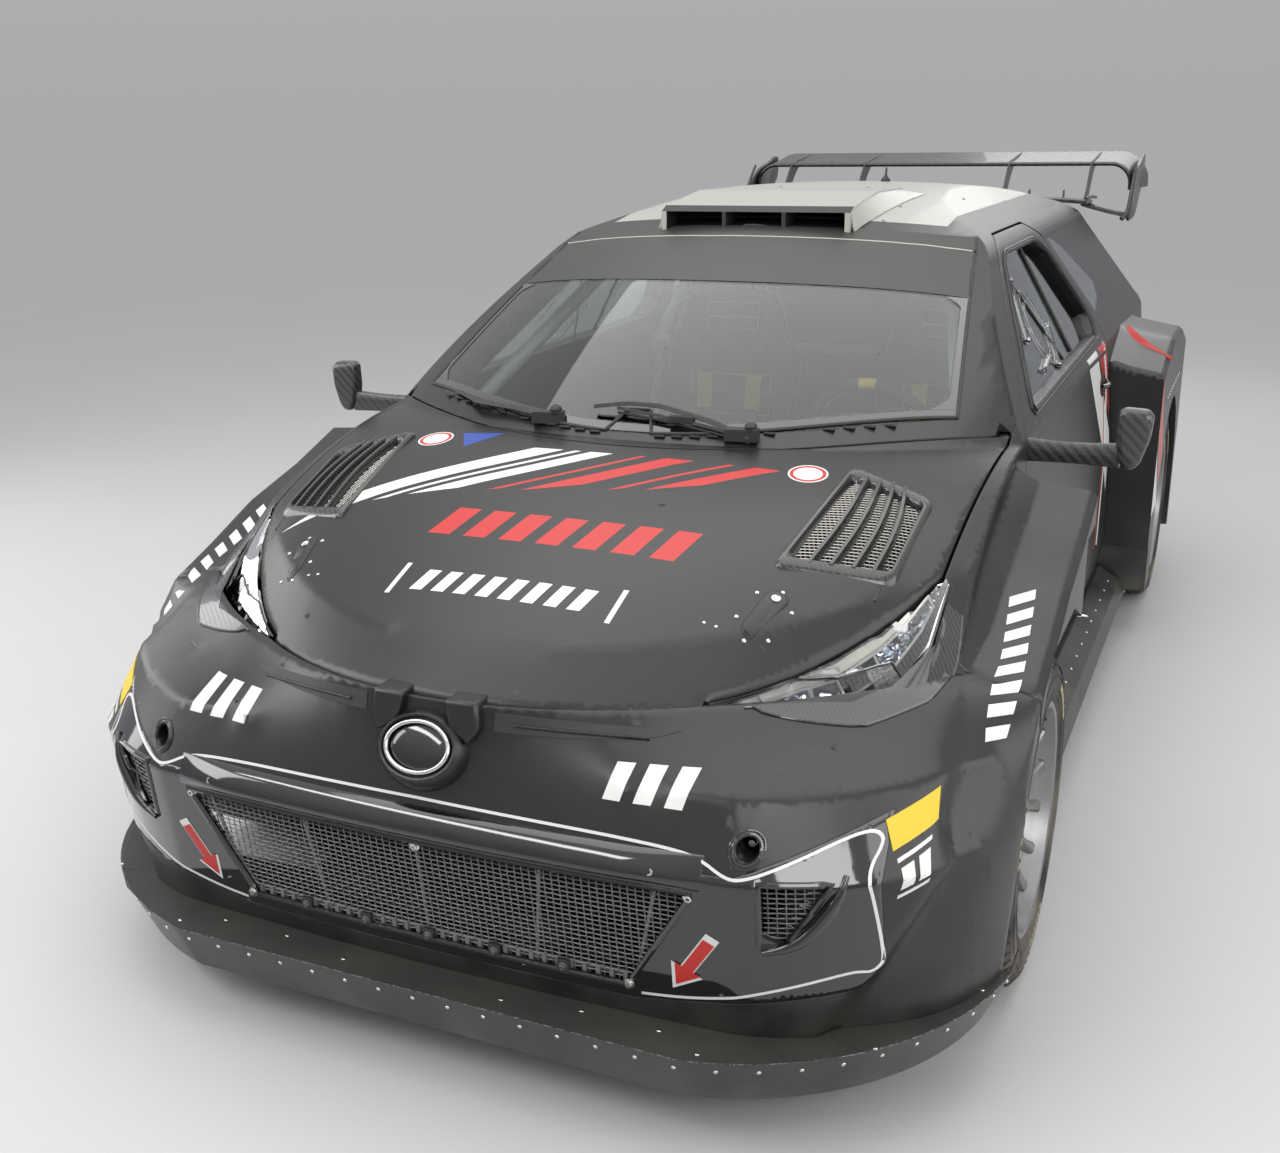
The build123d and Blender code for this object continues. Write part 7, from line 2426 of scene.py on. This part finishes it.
def makeCabin(plan):
    y, z = plan["face"]
    facing = Vector(plan["facing"])
    upward = Vector((0, -facing.z, facing.y))

    def onFace(x, rise, push=0.0):
        return Vector((x, y, z)) + upward * rise + facing * push

    def facePlate(shape, x, rise, wide, high, push, slot):
        outline = roundedOutline([Vector(p)
                                  for p in ((-wide, -high), (wide, -high), (wide, high), (-wide, high))],
                                  0.010, 4)
        shape.add(ringsMesh([[onFace(x + u * s, rise + v * s, q) for u, v in outline]
                             for s, q in ((1.0, 0.0), (1.0, push - 0.002), (0.97, push))]), slot)

    dash = Shape()
    facePlate(dash, 0.0, 0.005, 0.105, 0.044, 0.006, 0)
    facePlate(dash, -0.34, 0.006, 0.120, 0.040, 0.006, 0)
    facePlate(dash, -0.34, 0.006, 0.085, 0.028, 0.010, 1)
    for row in range(2):
        for k in range(6):
            spot = onFace(-0.080 + 0.032 * k, 0.022 - 0.036 * row, 0.006)
            dash.add(latheMesh([(0.0075, 0.0), (0.0075, 0.004), (0.0045, 0.005), (0.001, 0.005)],
                               spot, facing, 14), 2)
            dash.add(tubeMesh([spot + facing * 0.004,
                               spot + facing * 0.018 + upward * (0.006 if k % 2 else -0.006)],
                               [0.0018, 0.0026], 8), 2)
    for x in (-0.53, 0.53, 0.17, -0.17):
        spot = onFace(x, 0.0, 0.0)
        dash.add(latheMesh([(0.036, -0.001), (0.036, 0.008), (0.030, 0.010), (0.028, 0.004), (0.010, 0.003),
                            (0.001, 0.003)], spot, facing, 30), 3)
        for k in range(3):
            dash.add(tubeMesh([spot + Vector((-0.028, 0, 0)) + upward * (0.012 * (k - 1)) + facing * 0.006,
                               spot + Vector((0.028, 0, 0)) + upward * (0.012 * (k - 1)) + facing * 0.006],
                               0.0016, 6), 3)
    # display pod before the driver
    pod = [(-0.095, 0.0), (0.095, 0.0), (0.095, 0.060), (0.060, 0.078), (-0.060, 0.078), (-0.095, 0.060)]
    outline = roundedOutline([Vector(p) for p in pod], 0.016, 4)
    dash.add(ringsMesh([[Vector((0.345 + u * s, -0.690 + q, 0.868 + v * s)) for u, v in outline]
                        for s, q in ((0.90, 0.0), (1.0, 0.02), (1.0, 0.088), (0.95, 0.090), (0.90, 0.080))]),
                        4)
    dash.add(ringsMesh([[Vector((0.345 + u * 0.88, -0.608 + q, 0.871 + v * 0.88)) for u, v in outline]
                        for q in (0.0, 0.0015)]), 1)
    # seam of the skin and fasteners along the top
    dash.add(tubeMesh([Vector((-0.585 + 1.17 * k / 40, -0.762, 0.8895)) for k in range(41)], 0.0022, 6), 5)
    for k in range(9):
        dash.add(domeMesh((-0.56 + 0.14 * k, -0.700, 0.8745), (0, 0.24, 0.97), 0.006, 0.003, 12), 2)
    dash.piece("dashFittings", ["carbonGloss", "glossBlack", "brightMetal", "moulded", "suede", "stitching"],
               "dark_plastic",
               smooth=40, bevel=0.0008)
    floor = plan["floor"]
    stand = Shape()
    # gear lever and handbrake with their bases
    for x, yBase, top, knob in ((0.105, -0.16, (0.150, -0.330, 0.640), 0.020),
                                (0.045, -0.16, (0.075, -0.300, 0.600), 0.014)):
        stand.add(boxMesh((x, yBase, floor + 0.020), (0.040, 0.180, 0.040)), 0)
        line = alongCurve([(x, yBase, floor + 0.03), (x + 0.010, yBase - 0.05, floor + 0.20), Vector(top)],
                          18)
        stand.add(tubeMesh(line, [0.011 - 0.003 * n / 17 for n in range(18)], 12), 0)
        stand.add(latheMesh([(0.004, -0.05), (knob * 0.75, -0.045), (knob, -0.01), (knob * 0.9, 0.012),
                             (knob * 0.4, 0.022), (0.001, 0.023)],
                            Vector(top), (0.1, -0.2, 0.97), 24), 1)
    # pedals and footrests
    for x, high in ((0.265, 0.33), (0.345, 0.33), (0.425, 0.31)):
        stand.add(tubeMesh([(x, -0.640, floor), (x, -0.655, floor + 0.10), (x, -0.648, high)], 0.008, 10), 0)
        stand.add(slabMesh([(x - 0.028, -0.640, high - 0.05), (x + 0.028, -0.640, high - 0.05),
                            (x + 0.026, -0.662, high + 0.05), (x - 0.026, -0.662, high + 0.05)],
                            (0, 0.006, 0)), 2)
        for row in range(4):
            stand.add(tubeMesh([(x - 0.022, -0.633 - 0.005 * row, high - 0.036 + 0.024 * row),
                                (x + 0.022, -0.633 - 0.005 * row, high - 0.036 + 0.024 * row)], 0.003, 6), 2)
    stand.add(slabMesh([(-0.50, -0.560, floor), (-0.19, -0.560, floor), (-0.19, -0.690, floor + 0.20),
                        (-0.50, -0.690, floor + 0.20)], (0, 0.006, 0)), 2)
    for k in range(5):
        stand.add(tubeMesh([(-0.48, -0.570 - 0.024 * k, floor + 0.024 + 0.038 * k),
                            (-0.21, -0.570 - 0.024 * k, floor + 0.024 + 0.038 * k)], 0.004, 6), 0)
    # extinguisher bottle in its cradle and the electronics box behind the seats
    stand.add(latheMesh([(0.001, -0.19), (0.045, -0.185), (0.062, -0.165), (0.065, -0.14), (0.065, 0.13),
                         (0.060, 0.155), (0.035, 0.175), (0.018, 0.180), (0.018, 0.200), (0.001, 0.202)],
                         (0.0, 0.80, floor + 0.072), (1, 0, 0), 32), 3)
    for x in (-0.10, 0.08):
        stand.add(tubeMesh([(x, 0.80 + 0.067 * math.cos(math.pi * k / 12),
                             floor + 0.072 + 0.067 * math.sin(math.pi * k / 12)) for k in range(13)], 0.004,
                             6), 0)
        stand.add(boxMesh((x, 0.80, floor + 0.004), (0.02, 0.16, 0.008)), 0)
    stand.add(boxMesh((-0.30, 0.92, floor + 0.045), (0.24, 0.16, 0.09)), 4)
    for k in range(7):
        stand.add(boxMesh((-0.39 + 0.03 * k, 0.92, floor + 0.092), (0.008, 0.14, 0.008)), 4)
    stand.piece("cabinFittings", ["castSteel", "moulded", "discSteel", "stripeRed", "engineGrey"], "steel",
                smooth=40, bevel=0.001)


makeCabin(cabinPlan)
softPanel("roll_cage", 40)
softPanel("dashboard", 30)
print("cabin dressed")


# tail: lamps, plate, diffuser, exhaust, tow loop, rear glass
tailPlan = {
    "plate": (0.26, 0.515, 0.625),          # half width, low, high
    "diffuser": (0.52, 0.185, 0.345),
    "fins": (-0.42, -0.21, 0.0, 0.21, 0.42),
    "exhaust": (-0.34, 0.262, 0.043),
    "vent": [(0.700, 0.640), (0.772, 0.630), (0.780, 0.470), (0.722, 0.420)],
}


def tailPoint(x, z, lift=0.0, names=("rear_bumper",)):
    return press(names, (x, 2.30, z), (0, -1, 0), lift, 0.6)


def tailPatch(corners, lift, names=("rear_bumper",), columns=14, rows=6, depth=0.002):
    (a, b, c, d) = [Vector((x, 2.30, z)) for x, z in corners]
    top = [a.lerp(b, n / columns) for n in range(columns + 1)]
    low = [d.lerp(c, n / columns) for n in range(columns + 1)]
    return bandMesh(top, low, rows, names, (0, -1, 0), lift, depth, False, 0.6)


def makeTail(plan):
    half, low, high = plan["plate"]
    plate = Shape()
    corners = [(-half, high), (half, high), (half, low), (-half, low)]
    wide = [(-half - 0.008, high + 0.008), (half + 0.008, high + 0.008), (half + 0.008, low - 0.008),
            (-half - 0.008, low - 0.008)]
    plate.add(tailPatch(wide, 0.002), 1)
    plate.add(tailPatch(corners, 0.0032), 0)
    for x in (-half + 0.02, half - 0.02):
        for z in (low + 0.018, high - 0.018):
            place, normal = tailPoint(x, z, 0.003)
            plate.add(domeMesh(place, normal, 0.0055, 0.003, 12), 2)
    plate.piece("rearPlate", ["stripeWhite", "moulded", "brightMetal"], "white_paint", smooth=50)
    half, low, high = plan["diffuser"]
    tray = Shape()
    tray.add(tailPatch([(-half, high), (half, high), (half * 0.92, low), (-half * 0.92, low)],
                       0.0015, columns=40))
    for x in plan["fins"]:
        rings = []
        for n in range(9):
            z = low + 0.002 + (high - low - 0.010) * n / 8
            place, _ = tailPoint(x * (0.93 + 0.07 * n / 8), z)
            reach = 0.018 * math.sin(math.pi * (0.12 + 0.80 * n / 8))
            rings.append([place + Vector(o)
                          for o in ((-0.0022, -0.004, 0), (0.0022, -0.004, 0), (0.0018, reach, 0),
                                    (-0.0018, reach, 0))])
        tray.add(ringsMesh(rings))
    tray.add(tubeMesh([tailPoint(x, high, 0.002)[0] for x in [-half + 2 * half * n / 40 for n in range(41)]],
                      0.005, 8))
    tray.piece("diffuser", ["carbonDark"], "carbon", smooth=40, bevel=0.0006)
    x, z, radius = plan["exhaust"]
    place, _ = tailPoint(x, z)
    pipe = Shape()
    profile = [(radius - 0.003, -0.10), (radius, -0.10), (radius, 0.012), (radius + 0.002, 0.0145),
               (radius - 0.001, 0.017),
               (radius - 0.004, 0.014), (radius - 0.0045, 0.0), (radius - 0.006, -0.09), (0.004, -0.095)]
    pipe.add(latheMesh(profile, place, (0, 1, 0), 40))
    pipe.add(latheMesh([(radius + 0.004, -0.002), (radius + 0.022, 0.001), (radius + 0.024, 0.004),
                        (radius + 0.005, 0.006)], place, (0, 1, 0), 40), 1)
    for k in range(6):
        spot = place + Vector(((radius + 0.014) * math.cos(k * math.pi / 3), 0.003,
                               (radius + 0.014) * math.sin(k * math.pi / 3)))
        pipe.add(domeMesh(spot, (0, 1, 0), 0.004, 0.003, 10), 2)
    pipe.piece("exhaustOutlet", ["exhaustSteel", "moulded", "brightMetal"], "steel", smooth=45)
    # corner vents: woven wire in a frame
    vents = Shape()
    edge = evenly([(x, 2.30, z) for x, z in plan["vent"]], 60, closed=True)
    vents.add(tubeMesh([press("rear_bumper", p, (0, -1, 0), 0.001, 0.6)[0] for p in edge], 0.005, 8,
                       closed=True), 0)
    vents.add(tailPatch(plan["vent"], 0.0006, columns=8, rows=10), 1)
    for k in range(19):
        z = 0.430 + 0.0115 * k
        row = [x for x in [0.700 + 0.005 * n for n in range(18)]
               if insidePlan(plan["vent"][::-1], x, z, 0.001)]
        if len(row) > 2:
            vents.add(tubeMesh([tailPoint(x, z, 0.0035)[0] for x in row], 0.0013, 4), 2)
    for k in range(8):
        x = 0.704 + 0.0105 * k
        row = [z for z in [0.420 + 0.006 * n for n in range(38)]
               if insidePlan(plan["vent"][::-1], x, z, 0.001)]
        if len(row) > 2:
            vents.add(tubeMesh([tailPoint(x, z, 0.0045)[0] for z in row], 0.0013, 4), 2)
    vents.mirrored().piece("rearVents", ["carbonGloss", "moulded", "wire"], "mesh", smooth=50)
    # tow loop with its arrow, rain lamp, rivets and panel joints
    tow = Shape()
    spot, normal = tailPoint(0.40, 0.410)
    tow.add(tubeMesh([spot + Vector((0.019 * math.cos(a), 0.004, 0.028 * math.sin(a))) for a in turns(28)],
                     0.006, 8, closed=True), 0)
    tow.add(tailPatch([(0.340, 0.440), (0.362, 0.440), (0.362, 0.395), (0.340, 0.395)], 0.0014,
                      columns=3, rows=3), 0)
    tow.add(tailPatch([(0.330, 0.395), (0.372, 0.395), (0.3515, 0.372), (0.3505, 0.372)], 0.0014,
                      columns=3, rows=3), 0)
    for k in range(4):
        tow.add(tailPatch([(-0.05, 0.412 - 0.011 * k), (0.05, 0.412 - 0.011 * k), (0.05, 0.403 - 0.011 * k),
                           (-0.05, 0.403 - 0.011 * k)], 0.004,
                          columns=6, rows=1, depth=0.004), 1)
    tow.add(tailPatch([(-0.060, 0.420), (0.060, 0.420), (0.060, 0.362), (-0.060, 0.362)], 0.002,
                      columns=6, rows=4), 2)
    tow.piece("towLoop", ["stripeRed", "redLens", "glossBlack"], "red_lamp", smooth=50)
    rivets = Shape()
    for k in range(15):
        place, normal = tailPoint(0.06 * k, 0.365 if k < 10 else 0.20, 0.0)
        rivets.add(domeMesh(place, normal, 0.0042, 0.0022, 10))
    rows = [("rear_quarters", 1.05 + 0.055 * k, 0.735, 0.0040) for k in range(10)]
    rows += [("side_skirts", -0.86 + 0.105 * k, 0.205, 0.0042) for k in range(17)]
    for name, y, z, radius in rows:
        place, normal = press(name, (1.2, y, z), (-1, 0, 0), 0.0, 0.6)
        rivets.add(domeMesh(place, normal, radius, 0.0020, 10))
    for y, z in ((-0.95, 0.55), (-0.95, 0.42), (-0.93, 0.30), (-0.83, 0.62)):
        place, normal = press("front_wings", (1.2, y, z), (-1, 0, 0), 0.0, 0.6)
        rivets.add(latheMesh([(0.0125, -0.001), (0.0125, 0.0015), (0.0095, 0.0025), (0.0085, 0.0005),
                              (0.005, 0.0005), (0.001, 0.001)], place, normal, 18))
    rivets.mirrored().piece("bodyRivets", ["brightMetal"], "steel", smooth=60)
    joints = Shape()
    joints.add(ribbonMesh([(0.52, 2.30, 0.185), (0.545, 2.30, 0.345), (0.60, 2.30, 0.50),
                           (0.60, 2.30, 0.70)], ("rear_bumper",), (0, -1, 0), 0.003, 40, 0.0004, 0.001))
    joints.add(ribbonMesh([(0.0, 2.30, 0.665), (0.60, 2.30, 0.668), (0.80, 2.30, 0.66)], ("rear_bumper",),
                          (0, -1, 0), 0.0026, 50, 0.0004, 0.001))
    joints.mirrored().piece("tailJoints", ["moulded"], "dark_plastic")
    lamps = Shape()
    facing = Vector((-0.55, -0.83, 0))
    for z, radius, slot in ((0.7385, 0.0032, 0), (0.8075, 0.0032, 0), (0.760, 0.0042, 1),
                            (0.785, 0.0042, 2)):
        lamps.add(tubeMesh([press(("tail_lamps",),
                                  (0.672 + 0.222 * n / 30 if slot == 0 else 0.69 + 0.18 * n / 30,
                                   1.98 - 0.19 * (n / 30) ** 2, z), facing, 0.0012, 0.4)[0]
                                   for n in range(31)], radius, 8), slot)
    lamps.mirrored().piece("tailLampTrims", ["glossBlack", "stripeRed", "lampStrip"], "red_lamp", smooth=60)
    glass = Shape()
    data = [v.co for v in nodes["rear_glass"].data.vertices]
    xs, zs = max(abs(c.x) for c in data), [c.z for c in data]
    lowZ, highZ = min(zs), max(zs)
    edge = [(-xs, lowZ), (xs, lowZ), (xs * 0.86, highZ), (-xs * 0.86, highZ)]
    ring = evenly([(x * 0.975, 2.30, lowZ + (z - lowZ) * 0.96 + 0.006) for x, z in edge], 120, closed=True)
    inner = evenly([(x * 0.89, 2.30, lowZ + (z - lowZ) * 0.80 + 0.034) for x, z in edge], 120, closed=True)
    glass.add(bandMesh(ring, inner, 2, ("rear_glass",), (0, -1, 0), 0.0012, 0.001, True, 1.2))
    for k in range(9):
        z = lowZ + (highZ - lowZ) * (0.18 + 0.075 * k)
        glass.add(tubeMesh([press(("rear_glass",), (xs * 0.78 * (2 * n / 20 - 1), 2.3, z), (0, -1, 0),
                                  0.0006, 1.2)[0] for n in range(21)], 0.0006, 4), 1)
    glass.piece("rearGlassBorder", ["glossBlack", "castSteel"], "dark_plastic", "tailgate_lid")
    latches = Shape()
    for hand in (-1, 1):
        place, normal = press("tailgate", (hand * 0.42, 2.30, 0.80), (0, -1, 0), 0.0, 0.8)
        latches.add(latheMesh([(0.019, -0.001), (0.019, 0.002), (0.014, 0.0035), (0.012, 0.001),
                               (0.007, 0.001), (0.0065, 0.006), (0.001, 0.007)], place, normal, 24))
        fin = [(0.806, 0.955, 0.872), (0.806, 1.000, 0.905), (0.795, 1.075, 0.935), (0.785, 1.130, 0.945)]
        root = [press(("door_left", "rear_quarters"), (1.1, y, z), (-1, 0, 0), -0.002, 0.5)[0]
                for _, y, z in fin]
        tips = [p + Vector((0.004 + 0.030 * math.sin(math.pi * (0.15 + 0.7 * n / 3)), 0, 0.004))
                for n, p in enumerate(root)]
        root, tips = alongCurve(root, 16), alongCurve(tips, 16)
        plates = [[a + Vector((0, 0, -0.0016)), b + Vector((0, 0, -0.001)), b + Vector((0, 0, 0.001)),
                   a + Vector((0, 0, 0.0016))] for a, b in zip(root, tips)]
        sideFin = Shape().add(ringsMesh(plates))
        sideFin.piece(f"sideFin_{'left' if hand > 0 else 'right'}", ["stripeRed"], "body_paint",
                      smooth=50, flip=hand < 0)
    latches.piece("tailgateLatches", ["brightMetal"], "steel", "tailgate_lid", smooth=50)


makeFinish("exhaustSteel", (0.26, 0.22, 0.19), 0.36, metallic=0.95, grain=0.45, grainScale=60, bump=0.1)
softPanel("tail_lamps", 30)
makeTail(tailPlan)
print("tail dressed")


# under the bonnet, axles and the tray
def boxOf(name):
    data = [v.co for v in nodes[name].data.vertices]
    return [min(c[k] for c in data) for k in range(3)], [max(c[k] for c in data) for k in range(3)]


def makeEngineDress():
    (x1, y1, z1), (x2, y2, z2) = boxOf("engine_block")
    midX, midY = (x1 + x2) / 2, (y1 + y2) / 2
    shape = Shape()
    outline = roundedOutline([Vector(p)
                              for p in ((x1 + 0.03, y1 + 0.05), (x2 - 0.03, y1 + 0.05),
                                        (x2 - 0.03, y2 - 0.05), (x1 + 0.03, y2 - 0.05))], 0.03, 4)
    shape.add(ringsMesh([[(u, v, z) for u, v in scaled(outline, (midX, midY), scale)]
                         for scale, z in ((1.0, z2 - 0.002), (1.0, z2 + 0.006), (0.97, z2 + 0.012),
                                          (0.90, z2 + 0.013), (0.88, z2 + 0.009))]), 0)
    for k in range(7):
        x = x1 + 0.07 + (x2 - x1 - 0.14) * k / 6
        shape.add(tubeMesh([(x, y1 + 0.08, z2 + 0.010), (x, y2 - 0.08, z2 + 0.010)], 0.004, 8), 0)
    for x in (x1 + 0.045, x2 - 0.045):
        for y in (y1 + 0.065, midY, y2 - 0.065):
            shape.add(boltMesh((x, y, z2 + 0.011), (0, 0, 1), 0.006, 0.006), 1)
    # charge pipe and coolant hose lying round the block
    for side, radius, slot in ((-1, 0.030, 1), (1, 0.019, 2)):
        x = midX + side * ((x2 - x1) / 2 + radius * 0.9)
        line = alongCurve([(x - side * 0.05, y1 + 0.02, z2 - 0.05), (x, y1 + 0.06, z2 - 0.06),
                           (x, midY, z2 - 0.08), (x - side * 0.01, y2 - 0.06, z2 - 0.10),
                           (x - side * 0.05, y2 - 0.03, z2 - 0.14)], 36)
        shape.add(tubeMesh(line, radius, 16), slot)
        for n in (4, 16, 30):
            ahead = (line[n + 1] - line[n - 1]).normalized()
            shape.add(latheMesh([(radius + 0.0004, -0.007), (radius + 0.0025, -0.007),
                                 (radius + 0.0025, 0.007), (radius + 0.0004, 0.007)], line[n], ahead, 20), 1)
    shape.piece("engineDress", ["engineGrey", "brightMetal", "rubber"], "alloy", smooth=40)
    (x1, y1, z1), (x2, y2, z2) = boxOf("radiator")
    fins = Shape()
    rows = 40
    for k in range(rows):
        z = z1 + 0.012 + (z2 - z1 - 0.024) * k / (rows - 1)
        fins.add(ringsMesh([[(x, y1 - 0.0012, z - 0.0016), (x, y1 - 0.0012, z + 0.0016),
                             (x, y1 + 0.002, z + 0.0016), (x, y1 + 0.002, z - 0.0016)]
                             for x in (x1 + 0.02, x2 - 0.02)]))
    fins.piece("radiatorFins", ["moulded"], "alloy")


makeEngineDress()
for name in ("front_knuckle_left", "front_knuckle_right", "undertray", "steering_rack",
             "rear_axle", "front_axle"):
    rounded = softPanel(name, 32)
    softEdges(rounded, 0.0015)
    rounded.modifiers.move(1, 0)
print("chassis dressed")
